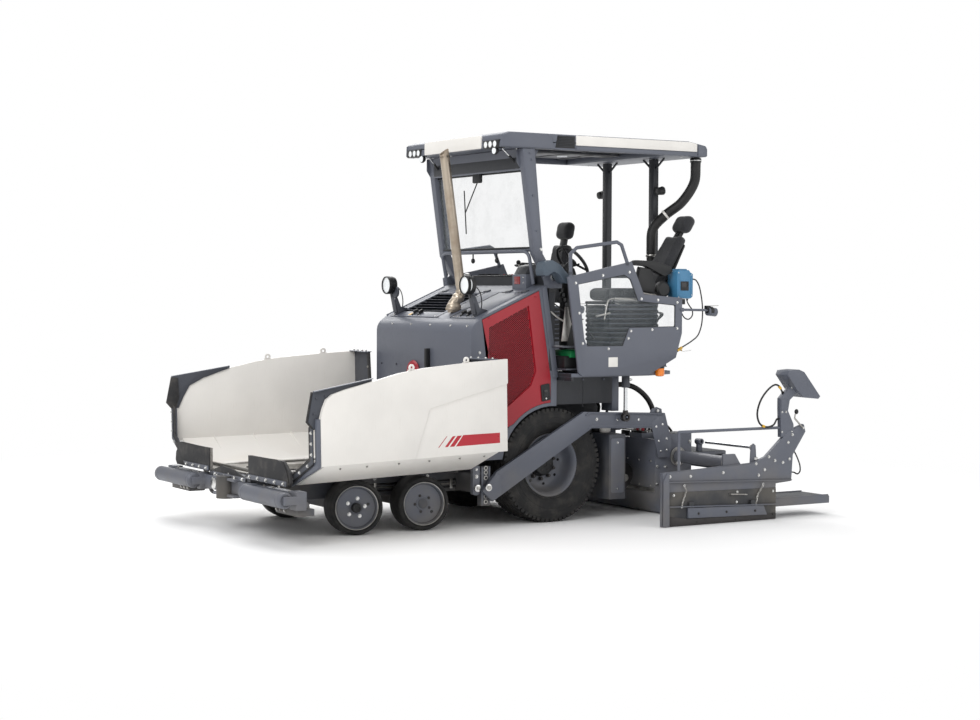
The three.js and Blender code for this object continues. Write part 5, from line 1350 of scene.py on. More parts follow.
def make_platform():
    finer("platform", "tractor", lambda face: GREY if face.calc_center_median().z > 1.366 else DARK, 0.004,
          reshape=cut_deck_corners)
    deck = Shape()
    deck.plate([(-0.965, 0.1), (-0.965, 1.29), (0.965, 1.29), (0.965, 0.1)], "xy", 1.4, 1.4035, TREAD,
               0.001)
    for side in (1, -1):
        deck.plate([(side * 0.985, 0.83), (side * 1.12, 0.83), (side * 1.12, 0.955), (side * 0.985, 1.25)],
                   "xy", 1.4, 1.4035, TREAD, 0.001)
    for side, top, back, lean in SEATS:
        x = side * 0.75
        front, rear = back - 0.595, back - 0.03
        # bellows round the seat's post, under the cushion
        first = 1.64
        folds = round((top - 0.03 - first) / 0.045)
        for k in range(folds):
            z = first + k * (top - 0.03 - first) / folds
            grow = 0.004 if k in (0, folds - 1) else 0.012
            deck.box((x - 0.19 - grow, front - grow, z + 0.003), (x + 0.19 + grow, rear + grow, z + 0.037),
                     BLACK, 0.014)
        deck.box((x - 0.187, front + 0.003, first), (x + 0.187, rear - 0.003, top - 0.02), BLACK, 0.003)
        deck.box((x - 0.204, front - 0.012, top - 0.028), (x + 0.204, rear + 0.012, top - 0.001), BLACK,
                 0.008)
        deck.box((x - 0.2, front - 0.01, 1.4), (x + 0.2, rear + 0.01, 1.43), GREY_PAINTED_SHADE, 0.005)
        for y in (front + 0.02, rear - 0.02):
            for dx in (-0.16, 0.16):
                deck.bolt((x + dx, y, 1.43), (0, 0, 1), 0.012, BRIGHT)
        deck.rod((x - 0.17, front - 0.03, top - 0.04), (x + 0.17, front - 0.03, top - 0.04), 0.009, BRIGHT,
                 14)
        for dx in (-0.16, 0.16):
            deck.rod((x + dx, front - 0.03, top - 0.04), (x + dx, front + 0.02, top - 0.02), 0.007, BRIGHT,
                     12)
        deck.rod((x + side * 0.205, front + 0.1, top - 0.03), (x + side * 0.235, front + 0.02, top - 0.01),
                 0.008, BRIGHT, 12)
        deck.ball((x + side * 0.235, front + 0.02, top - 0.01), 0.016, BLACK)
        # pedestal box: lid seams, toggles and a hose bundle behind the glass
        for y in (front + 0.12, rear - 0.12):
            deck.box((x + side * 0.189, y - 0.02, 1.56), (x + side * 0.196, y + 0.02, 1.60), STEEL, 0.003)
        deck.box((x - 0.192, front + 0.02, 1.598), (x + 0.192, rear - 0.02, 1.602), BLACK, 0.001)
        for k in range(3):
            out = x + side * (0.215 + 0.022 * k)
            deck.sweep([(out, rear - 0.12, 1.42), (out, rear - 0.11, 1.7),
                        (out, rear - 0.05 - 0.02 * k, 1.86), (out - side * 0.03, rear + 0.06, 1.95),
                        (x, rear + 0.10, 1.97)],
                       0.0075, (HOSE, STEEL, HOSE)[k], 8, 0.06)
    for side in (1, -1):
        # front wall of the operator's space, with a tray, cables and a green case
        deck.box((side * 0.86 - 0.05, -0.045, 1.42), (side * 0.86 + 0.05, 0.02, 2.15), DARK, 0.004)
        # deck edge and the lower beams
        deck.box((min(side * 0.88, side * 1.128), 0.062, 1.33),
                 (max(side * 0.88, side * 1.128), 0.09, 1.366), DARK, 0.003)
        deck.box((min(side * 0.70, side * 0.878), 0.70, 1.02),
                 (max(side * 0.70, side * 0.878), 0.78, 1.365), GREY, 0.004)
        for y in (0.14, 0.36, 0.6):
            deck.bolt((side * 0.881, y, 1.33), (side, 0, 0), 0.008, GREY)
        deck.box((side * 0.881 - 0.002, 0.36, 1.07), (side * 0.881 + 0.002, 0.364, 1.36), DARK, 0)
    deck.box((0.66, 0.03, 1.43), (1.08, 0.26, 1.445), GREY_PAINTED_SHADE, 0.003)
    deck.box((0.70, 0.05, 1.445), (1.03, 0.24, 1.56), BLACK, 0.008)
    deck.box((0.78, 0.10, 1.545), (1.05, 0.255, 1.615), GREEN, 0.01)
    deck.box((0.76, -0.02, 1.64), (1.10, 0.20, 1.652), GREY_PAINTED_SHADE, 0.003)
    deck.plate([(-0.01, 1.70), (0.03, 2.02), (0.06, 2.02), (0.10, 1.86), (0.06, 1.70)], "yz", 1.06, 1.066,
               STEEL, 0.001)
    deck.sweep([(0.95, -0.02, 2.05), (0.97, 0.05, 2.0), (1.0, 0.13, 1.93), (1.06, 0.24, 1.90)], 0.006, HOSE,
               8, 0.05)
    deck.sweep([(0.90, -0.03, 1.98), (0.93, 0.06, 1.90), (0.98, 0.14, 1.86), (1.04, 0.2, 1.84)], 0.009,
               STEEL, 8, 0.05)
    # post pad for the lift, hook and amber lamp under the deck
    for side in (1, -1):
        deck.box((side * 1.10 - 0.03, 1.04, 1.445), (side * 1.10 + 0.035, 1.16, 1.453), GREY, 0.003)
        deck.box((side * 1.118 - 0.004, 1.04, 1.445), (side * 1.118 + 0.004, 1.16, 1.50), GREY, 0.002)
        deck.rod((side * 1.10, 1.10, 1.43), (side * 1.10, 1.10, 1.447), 0.044, BLACK, 28, bevel=0.003)
    deck.place("deck_fittings", "tractor", slot="dark_paint")

    lamps = Shape()
    for side in (1, -1):
        lamps.lathe([(0.0, 1.352), (0.03, 1.354), (0.041, 1.36), (0.044, 1.372), (0.044, 1.43),
                     (0.0, 1.43)],
                    (side * 1.10, 1.10, 0), AMBER, "Z", 40)
    lamps.place("marker_lamps", "tractor", slot="clear_glass")


def make_cowl():
    finer("cowl", "tractor", DARK, 0.004)
    dash = Shape()
    # instrument hood: a curved console behind the screen
    dash.plate([(-0.205, 2.305), (-0.215, 2.36), (-0.19, 2.43), (-0.12, 2.452), (-0.03, 2.41), (0.05, 2.33),
                (0.115, 2.255), (0.108, 2.235), (0.03, 2.235), (-0.03, 2.31), (-0.09, 2.345), (-0.13, 2.33),
                (-0.16, 2.305)],
               "yz", 0.93, 1.07, BLUE_GREY, 0.012, corner=0.02)
    dash.plate([(-0.13, 2.232), (-0.16, 2.30), (-0.10, 2.40), (0.0, 2.42), (0.11, 2.32), (0.13, 2.26),
                (0.10, 2.232)],
               "yz", 0.45, 0.655, DARK, 0.014, corner=0.02)
    dash.box((-0.55, -0.01, 2.30), (0.40, 0.13, 2.315), BLACK, 0.006)
    for x in (-0.45, -0.33, -0.21):
        dash.lathe([(0, 0.004), (0.038, 0.004), (0.044, 0), (0.046, 0.012), (0, 0.012)], (x, 0.06, 2.318),
                   BLACK, "Z", 28)
        dash.lathe([(0, 0), (0.036, 0), (0.036, 0.002), (0, 0.002)], (x, 0.06, 2.323), WHITE, "Z", 28)
        dash.box((x - 0.001, 0.045, 2.3252), (x + 0.001, 0.085, 2.3262), RED, 0)
    for k in range(6):
        dash.rod((-0.10 + k * 0.05, 0.09, 2.314), (-0.10 + k * 0.05, 0.09, 2.328), 0.01,
                 (RED, BLACK, BRIGHT)[k % 3], 14)
        dash.box((-0.108 + k * 0.05, 0.03, 2.314), (-0.092 + k * 0.05, 0.05, 2.322), BLACK, 0.002)
    dash.rod((0.26, 0.06, 2.312), (0.24, 0.04, 2.43), 0.007, STEEL, 10)
    dash.ball((0.24, 0.04, 2.44), 0.022, BLACK)
    # front rail with its hangers
    dash.sweep([(-0.80, -0.15, 2.23), (-0.80, -0.2, 2.50), (-0.74, -0.205, 2.535), (0.74, -0.205, 2.535),
                (0.80, -0.2, 2.50), (0.80, -0.15, 2.23)], 0.0165, GREY, 16, 0.06)
    for x in (0.24, -0.2):
        dash.rod((x, -0.205, 2.52), (x, -0.205, 2.47), 0.007, BLACK, 10)
        dash.ball((x, -0.205, 2.455), 0.02, BLACK, (1, 1, 1.3))
    for side in (1, -1):
        # foot bracket of the roof post, lever bank and small fittings
        dash.plate([(-0.08, 2.19), (-0.10, 2.29), (-0.02, 2.36), (0.06, 2.33), (0.11, 2.23), (0.11, 2.19)],
                   "yz",
                   side * 0.84 - 0.006 + side * 0.047, side * 0.84 + 0.006 + side * 0.047, GREY, 0.003)
        dash.lathe([(0, 0), (0.03, 0), (0.034, 0.006), (0.03, 0.016), (0, 0.02)],
                   (side * 0.893, 0.01, 2.29), BRIGHT, "X", 24,
                   mirror=side)
        dash.box((side * 0.55 - 0.05, 0.13, 2.14), (side * 0.55 + 0.05, 0.16, 2.24), BLACK, 0.006)
    # cable chain and joystick console by the near post
    for k in range(7):
        dash.box((0.79, 0.12 + k * 0.016, 2.20 - k * 0.045), (0.83, 0.155 + k * 0.016, 2.238 - k * 0.045),
                 BLACK, 0.006)
    # steering column in its rubber gaiter, with two stalks
    column = [Vector((0.70, 0.09, 2.265)), Vector((0.70, 0.23, 2.335)), Vector((0.70, 0.338, 2.4195))]
    dash.sweep(catmull_rom(column, 60), 0.036, BLACK, 24,
               scale_at=lambda k: 1.0 + 0.09 * math.cos(k * math.tau / 5))
    dash.plate([(0.27, 1.40), (0.50, 1.40), (0.47, 1.62), (0.40, 1.86), (0.385, 2.26), (0.33, 2.40),
                (0.26, 2.36), (0.25, 1.9),
                (0.25, 1.6)], "yz", 0.63, 0.77, BLACK, 0.012, corner=0.03)
    dash.box((0.645, 0.245, 2.33), (0.755, 0.335, 2.39), BLACK, 0.014)
    for way in (-1, 1):
        dash.rod((0.70, 0.30, 2.385), (0.70 + way * 0.15, 0.33, 2.42), 0.006, BLACK, 12, 0.009)
    dash.place("dashboard", "tractor", slot="dark_paint")

    wheel_axis = Vector((0, 0.115, 0.09)).normalized()
    stand = (Matrix.Translation(Vector((0.700, 0.345, 2.425)) + wheel_axis * 0.0153)
             @ wheel_axis.to_track_quat("Z", "Y").to_matrix().to_4x4())
    wheel = Shape(stand)
    section = [(0.19 + 0.0155 * math.cos(a),
                0.0155 * math.sin(a)) for a in [math.tau * k / 16 for k in range(17)]]
    wheel.lathe(section, (0, 0, 0), BLACK, "Z", 72)
    wheel.lathe([(0, -0.014), (0.03, -0.014), (0.044, -0.004), (0.046, 0.006), (0.038, 0.016),
                 (0.012, 0.02), (0, 0.02)],
                (0, 0, 0), BLACK, "Z", 40)
    wheel.lathe([(0, 0.02), (0.022, 0.02), (0.024, 0.017), (0.024, 0.022), (0, 0.024)], (0, 0, 0), BRIGHT,
                "Z", 28)
    for k in range(3):
        turn = Matrix.Rotation(math.tau * k / 3, 4, "Z")
        wheel.box((-0.014, 0.035, -0.006), (0.014, 0.185, 0.006), BLACK, 0.005, turn)
        wheel.box((-0.005, 0.06, 0.005), (0.005, 0.16, 0.008), STEEL, 0.001, turn)
    wheel.rod((0.13, 0.13, 0.01), (0.13, 0.13, 0.045), 0.016, BLACK, 18, 0.02, 0.003)
    wheel.place("steering_wheel_ring", "steering_wheel", slot="black_plastic", replaces=("steering_wheel",))


PANEL_BOLTS = [(0.09, 2.24), (0.395, 2.312), (0.700, 2.345), (0.131, 1.961), (0.172, 1.68), (0.464, 1.626),
               (0.692, 1.722),
               (0.841, 2.094), (1.035, 2.084), (1.265, 2.06), (1.265, 1.812), (0.969, 1.802), (0.722, 1.79)]
PANEL_WINDOW = [(0.12, 2.23), (0.19, 1.72), (0.225, 1.652), (0.63, 1.65), (0.705, 1.822), (1.245, 1.826),
                (1.245, 2.036),
                (0.808, 2.074), (0.716, 2.28), (0.64, 2.322), (0.12, 2.23)]


def make_side_panels():
    for word, side in (("left", 1), ("right", -1)):
        finer(f"side_panel_{word}", "tractor", GREY, 0.003)
        dress(f"side_window_{word}", GLASS)
    trim = Shape()
    x = PANEL_X
    for y, z in PANEL_BOLTS:
        trim.bolt((x, y, z), (1, 0, 0), 0.0095, BRIGHT)
    # rubber seal round the window, bright catch and the blank label
    trim.sweep([(x - 0.012, y, z) for y, z in PANEL_WINDOW], 0.006, BLACK, 8, 0.02)
    trim.plate([(0.465, 1.456), (0.571, 1.456), (0.571, 1.546), (0.465, 1.546)], "yz", x, x + 0.0008, WHITE,
               0.0003)
    trim.rod((x - 0.05, 0.56, 2.095), (x - 0.05, 0.90, 2.085), 0.013, STEEL, 14)
    trim.sweep([(x - 0.05, 0.56, 2.095), (x - 0.06, 0.50, 2.09), (x - 0.06, 0.47, 1.98),
                (x - 0.05, 0.45, 1.90)], 0.008, STEEL, 10, 0.03)
    trim.rod((x - 0.06, 0.36, 1.93), (x - 0.06, 0.52, 1.96), 0.010, STEEL, 12)
    trim.sweep([(x - 0.04, 0.24, 2.05), (x - 0.05, 0.25, 1.95), (x - 0.04, 0.28, 1.88),
                (x - 0.05, 0.26, 1.80), (x - 0.05, 0.34, 1.72)], 0.007, HOSE, 8, 0.03)
    # inner edge stiffener
    trim.box((x - 0.045, 0.20, 1.40), (x - 0.021, 0.94, 1.44), GREY, 0.004)
    # lamp at the end of its arm
    trim.rod((x - 0.01, 1.3, 1.991), (x - 0.01, 1.345, 1.99), 0.019, GREY, 20)
    trim.lathe([(0, 0.0), (0.018, 0), (0.03, 0.008), (0.043, 0.02), (0.044, 0.055), (0.04, 0.06),
                (0, 0.06)],
               (x - 0.01, 1.636, 1.976), BLACK, "Y", 36)
    trim.lathe([(0, 0.0), (0.039, 0.0), (0.04, 0.012), (0.03, 0.03), (0.014, 0.039), (0, 0.041)],
               (x - 0.01, 1.694, 1.97),
               AMBER, "Y", 36)
    trim.box((x - 0.04, 1.62, 1.99), (x + 0.012, 1.665, 2.03), BLACK, 0.006)
    trim.rod((x - 0.012, 1.655, 2.026), (x - 0.012, 1.775, 2.03), 0.003, STEEL, 8)
    # connector on the panel's rear edge
    trim.rod((x - 0.01, 1.272, 1.598), (x - 0.01, 1.30, 1.6125), 0.017, BRASS, 6)
    trim.rod((x - 0.01, 1.298, 1.612), (x - 0.01, 1.331, 1.628), 0.0135, BRASS, 20, bevel=0.002)
    trim.rod((x - 0.01, 1.30, 1.613), (x + 0.018, 1.31, 1.60), 0.008, BRASS, 12)
    trim.sweep([(x + 0.016, 1.31, 1.602), (x + 0.02, 1.33, 1.59), (x + 0.02, 1.42, 1.602)], 0.0035, BRIGHT,
               8, 0.01)
    for k, (y, z) in enumerate(((0.04, 2.30), (0.675, 2.42))):
        trim.lathe([(0.0165, -0.012), (0.021, -0.012), (0.022, 0), (0.021, 0.012), (0.0165, 0.012),
                    (0.0165, -0.012)],
                   (x - 0.01, y, z + (0.03 if k == 0 else 0.0)), GREY_PAINTED_SHADE, "Z", 24)
    place_pair(trim, "side_panel_trim", "tractor", slot="grey_paint")

    # armrest, cover and wiring that show above the near panel's rear part
    rest = Shape()
    rest.plate([(0.80, 2.435), (0.86, 2.462), (1.06, 2.455), (1.27, 2.405), (1.285, 2.36), (1.26, 2.335),
                (1.19, 2.31),
                (0.97, 2.405), (0.82, 2.415)], "yz", 0.975, 1.05, BLACK, 0.012, corner=0.012)
    rest.lathe([(0, -0.035), (0.06, -0.035), (0.074, -0.026), (0.078, -0.01), (0.078, 0.02), (0.06, 0.035),
                (0, 0.035)],
               (1.02, 1.18, 2.185), BLACK, "X", 36)
    rest.plate([(0.86, 2.18), (0.90, 2.40), (1.04, 2.38), (1.10, 2.22), (1.06, 2.14)], "yz", 0.985, 1.04,
               BLACK, 0.012,
               corner=0.02)
    rest.sweep([(1.01, 0.9, 2.40), (1.03, 0.93, 2.30), (1.02, 1.0, 2.22), (1.03, 1.1, 2.15),
                (1.0, 1.2, 2.08)], 0.009,
               HOSE, 10, 0.05)
    rest.rod((1.012, 1.18, 2.12), (1.03, 0.86, 2.16), 0.008, STEEL, 12)
    place_pair(rest, "armrest", "tractor", slot="black_plastic")


def make_control_box():
    box = Shape()
    box.plate([(1.295, 2.10), (1.295, 2.355), (1.315, 2.372), (1.44, 2.372), (1.455, 2.35), (1.487, 2.335),
               (1.487, 2.12),
               (1.465, 2.10), (1.44, 2.096)], "yz", 0.952, 1.108, BLUE, 0.008)
    box.plate([(1.325, 2.372), (1.43, 2.372), (1.42, 2.383), (1.335, 2.383)], "yz", 0.975, 1.09, BLUE,
              0.004)
    for y in (1.318, 1.462):
        box.plate([(y - 0.004, 2.12), (y + 0.004, 2.12), (y + 0.004, 2.345), (y - 0.004, 2.345)], "yz",
                  1.106, 1.111, BLUE, 0.002)
    box.box((1.108, 1.335, 2.175), (1.113, 1.43, 2.262), BLACK, 0.002)
    box.box((1.112, 1.34, 2.18), (1.1145, 1.42, 2.25), BLACK_GLOSS, 0.001)
    box.box((1.1, 1.47, 2.275), (1.06, 1.4903, 2.293), BLACK, 0.003)
    box.rod((1.080, 1.4905, 2.284), (1.080, 1.505, 2.284), 0.0115, BLACK, 18, 0.0085)
    box.rod((1.095, 1.425, 2.0945), (1.095, 1.425, 2.078), 0.012, BLACK, 18, 0.008)
    box.box((1.001, 1.211, 2.041), (1.129, 1.379, 2.094), BLACK, 0.006)
    box.rod((1.100, 1.330, 2.0398), (1.100, 1.330, 2.03), 0.011, BLACK, 18)
    for y, z in ((1.31, 2.11), (1.47, 2.13), (1.31, 2.345), (1.462, 2.325)):
        box.bolt((1.109, y, z), (1, 0, 0), 0.004, BRIGHT)
    box.place("control_box_case", "tractor", slot="blue_plastic", replaces=("control_box",))


# ---------------------------------------------------------------- seats
def cushion(name, size, matrix, body, replaces, cap, shoulder=0.03, taper=0.0):
    """A padded block: remeshed, inflated as cloth inside its own limits, then smoothed."""
    part = bmesh.new()
    bmesh.ops.create_cube(part, size=1.0, matrix=Matrix.Diagonal((*size, 1)))
    if taper:
        top = [v for v in part.verts if v.co.z > 0]
        bmesh.ops.scale(part, vec=(1 - taper, 1, 1), verts=top)
    bmesh.ops.bevel(part, geom=part.edges[:], offset=shoulder, offset_type="OFFSET", segments=4,
                    profile=0.5,
                    affect="EDGES", clamp_overlap=True, material=-1)
    bmesh.ops.subdivide_edges(part, edges=[e for e in part.edges if e.calc_length() > 0.05], cuts=5,
                              use_grid_fill=True)
    bmesh.ops.transform(part, matrix=Matrix.Translation((0, AXLE_Y, 0)) @ matrix, verts=part.verts)
    bmesh.ops.recalc_face_normals(part, faces=part.faces)
    mesh = bpy.data.meshes.new(name)
    part.to_mesh(mesh)
    part.free()
    pad = bpy.data.objects.new(name, mesh)
    bpy.context.collection.objects.link(pad)
    voxels = pad.modifiers.new("voxels", "REMESH")
    voxels.mode = "VOXEL"
    voxels.voxel_size = 0.006
    bake_shape(pad)
    inflate(pad, cap)
    for face in pad.data.polygons:
        face.use_smooth = True
    soften = pad.modifiers.new("soften", "SUBSURF")
    soften.levels = 1
    soften.render_levels = 1
    pad.data.materials.clear()
    pad.data.materials.append(SEAT)
    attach(pad, body)
    if replaces:
        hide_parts(*replaces)
    return pad


def bake_shape(made):
    """Puts the shape that an object's modifiers give into its own mesh."""
    shown = made.evaluated_get(bpy.context.evaluated_depsgraph_get())
    mesh = bpy.data.meshes.new_from_object(shown)
    made.modifiers.clear()
    made.data = mesh


def inflate(pad, cap):
    start = [v.co.copy() for v in pad.data.vertices]
    cloth = pad.modifiers.new("cloth", "CLOTH")
    cloth.settings.use_pressure = True
    cloth.settings.uniform_pressure_force = 4
    cloth.settings.effector_weights.gravity = 0
    cloth.settings.quality = 4
    cloth.point_cache.frame_start = 1
    cloth.point_cache.frame_end = 20
    scene = bpy.context.scene
    for step in range(1, 21):
        scene.frame_set(step)
    bake_shape(pad)
    scene.frame_set(1)
    for vertex, before in zip(pad.data.vertices, start):
        move = vertex.co - before
        if move.length > cap:
            vertex.co = before + move.normalized() * cap


def make_seats():
    for side, top, back, lean in SEATS:
        word = "left" if side > 0 else "right"
        x = side * 0.75
        middle = back - 0.056 - 0.28
        cushion(f"seat_pad_{word}", (0.345, 0.53, 0.098), Matrix.Translation((x, middle, top + 0.065)),
                "tractor",
                (f"seat_cushion_{word}",), 0.012, 0.034)
        turn = Matrix.Rotation(-math.radians(lean), 4, "X")
        base = Matrix.Translation((x, back, top + 0.0603 + 0.055 * math.sin(math.radians(lean)))) @ turn
        cushion(f"seat_back_pad_{word}", (0.352, 0.084, 0.625),
                base @ Matrix.Translation((0, -0.006, 0.325)), "tractor",
                (f"seat_back_{word}",), 0.012, 0.03, 0.24)
        cushion(f"head_pad_{word}", (0.24, 0.116, 0.182), base @ Matrix.Translation((0, -0.005, 0.785)),
                "tractor", (),
                0.006, 0.056)
        shell = Shape()
        shell.box((-0.045, -0.022, 0.575), (0.045, 0.022, 0.715), BLACK, 0.012, base)
        # back shell, hinge covers, piping along the seams and belt buckle
        shell.plate([(-0.165, 0.03), (-0.17, 0.28), (-0.125, 0.585), (0.125, 0.585), (0.17, 0.28),
                     (0.165, 0.03)], "xz", 0.034, 0.052,
                    BLACK, 0.008, corner=0.03, matrix=base)
        for way in (-1, 1):
            shell.rod(base @ Vector((way * 0.172, -0.004, 0.045)),
                      base @ Vector((way * 0.1895, -0.004, 0.045)), 0.045,
                      BLACK, 28, bevel=0.006)
            shell.sweep([base @ Vector((way * u, -0.0475, v)) for u,
                         v in ((0.09, 0.08), (0.095, 0.3), (0.075, 0.56))], 0.003,
                        BLACK, 8, 0.05)
            shell.sweep([(x + way * 0.1, middle - 0.24, top + 0.112),
                         (x + way * 0.105, middle, top + 0.1165),
                         (x + way * 0.1, middle + 0.22, top + 0.1145)], 0.003, BLACK, 8, 0.03)
            shell.box((x + way * 0.176 - 0.006, middle + 0.10, top + 0.01),
                      (x + way * 0.176 + 0.006, back + 0.02, top + 0.04), BLACK, 0.005)
        shell.box((x - 0.187, back - 0.10, top + 0.04), (x - 0.172, back - 0.07, top + 0.125), RED, 0.004)
        shell.place(f"seat_shell_{word}", "tractor", slot="black_plastic")


make_platform()
make_cowl()
make_side_panels()
make_control_box()
make_seats()


# ---------------------------------------------------------------- roof and its frame
def make_roof_frame():
    finer("roof_frame", "tractor", GREY, 0.005)
    finer("rear_posts", "tractor", DARK, 0.006)
    dress("windshield", GLASS)
    trim = Shape()
    trim.box((-0.79, -0.312, 3.30), (0.79, -0.208, 3.47), DARK, 0.006)
    for side in (1, -1):
        x = side * 0.84
        # gussets, base bolts and inner stiffeners of the front posts
        trim.plate([(-0.34, 3.478), (-0.34, 3.36), (-0.30, 3.30), (-0.20, 3.30), (-0.10, 3.478)], "yz",
                   x - 0.046, x - 0.040, GREY, 0.002)
        for y, z in ((0.03, 2.25), (0.03, 2.31), (-0.06, 2.40), (-0.12, 2.55)):
            trim.bolt((x + side * 0.041, y, z), (side, 0, 0), 0.011, BRIGHT)
        for y, z in ((-0.25, 3.44), (-0.23, 3.38), (-0.17, 2.72), (-0.21, 3.05)):
            trim.bolt((x + side * 0.041, y, z), (side, 0, 0), 0.008, GREY)
        trim.sweep([(side * 0.79, -0.16, 2.58), (side * 0.79, -0.24, 3.27)], 0.008, BLACK, 8)
        # rear posts: lamps, feet and braces under the roof
        post = side * 0.40
        trim.box((post - 0.07, 1.49, 1.4), (post + 0.07, 1.57, 1.412), GREY_PAINTED_SHADE, 0.003)
        for y in (1.495, 1.565):
            for dx in (-0.055, 0.055):
                trim.bolt((post + dx, y, 1.412), (0, 0, 1), 0.009, BRIGHT)
        trim.box((post + side * 0.04, 1.505, 3.13), (post + side * 0.085, 1.545, 3.20), BLACK, 0.01)
        trim.rod((post + side * 0.115, 1.56, 3.165), (post + side * 0.115, 1.50, 3.155), 0.044, BLACK, 28,
                 0.036, 0.004)
        trim.rod((post + side * 0.115, 1.562, 3.1653), (post + side * 0.115, 1.568, 3.1663), 0.038, LAMP,
                 28)
        trim.rod((post, 1.53, 3.36), (post - side * 0.17, 1.53, 3.478), 0.011, DARK, 12)
        trim.rod((post, 1.53, 3.36), (post + side * 0.17, 1.53, 3.478), 0.011, DARK, 12)
        trim.bolts([(post + side * 0.041, 1.53, 2.33 + dz) for dz in (-0.12, 0.12)], (side, 0, 0), 0.008,
                   BRIGHT)
    # gas strut that steadies the roof, wiper and its motor, seal of the screen
    trim.rod((0.73, -0.215, 3.27), (0.70, -0.36, 3.42), 0.011, BLACK, 16)
    trim.rod((0.70, -0.36, 3.42), (0.69, -0.43, 3.485), 0.006, CHROME, 12)
    trim.rod((-0.73, -0.215, 3.27), (-0.70, -0.36, 3.42), 0.011, BLACK, 16)
    trim.rod((-0.70, -0.36, 3.42), (-0.69, -0.43, 3.485), 0.006, CHROME, 12)
    trim.box((-0.07, -0.30, 3.20), (0.07, -0.262, 3.29), BLACK, 0.012)
    trim.rod((0.02, -0.262, 3.24), (0.02, -0.285, 3.242), 0.014, BLACK, 18)
    trim.rod((0.02, -0.277, 3.24), (-0.28, -0.245, 2.93), 0.006, BLACK, 10)
    trim.rod((-0.30, -0.224, 2.72), (-0.27, -0.267, 3.14), 0.006, BLACK, 10)
    trim.box((-0.80, -0.262, 3.272), (0.80, -0.244, 3.288), BLACK, 0.004)
    trim.box((-0.80, -0.196, 2.56), (0.80, -0.174, 2.576), BLACK, 0.004)
    trim.place("roof_frame_trim", "tractor", slot="dark_paint")


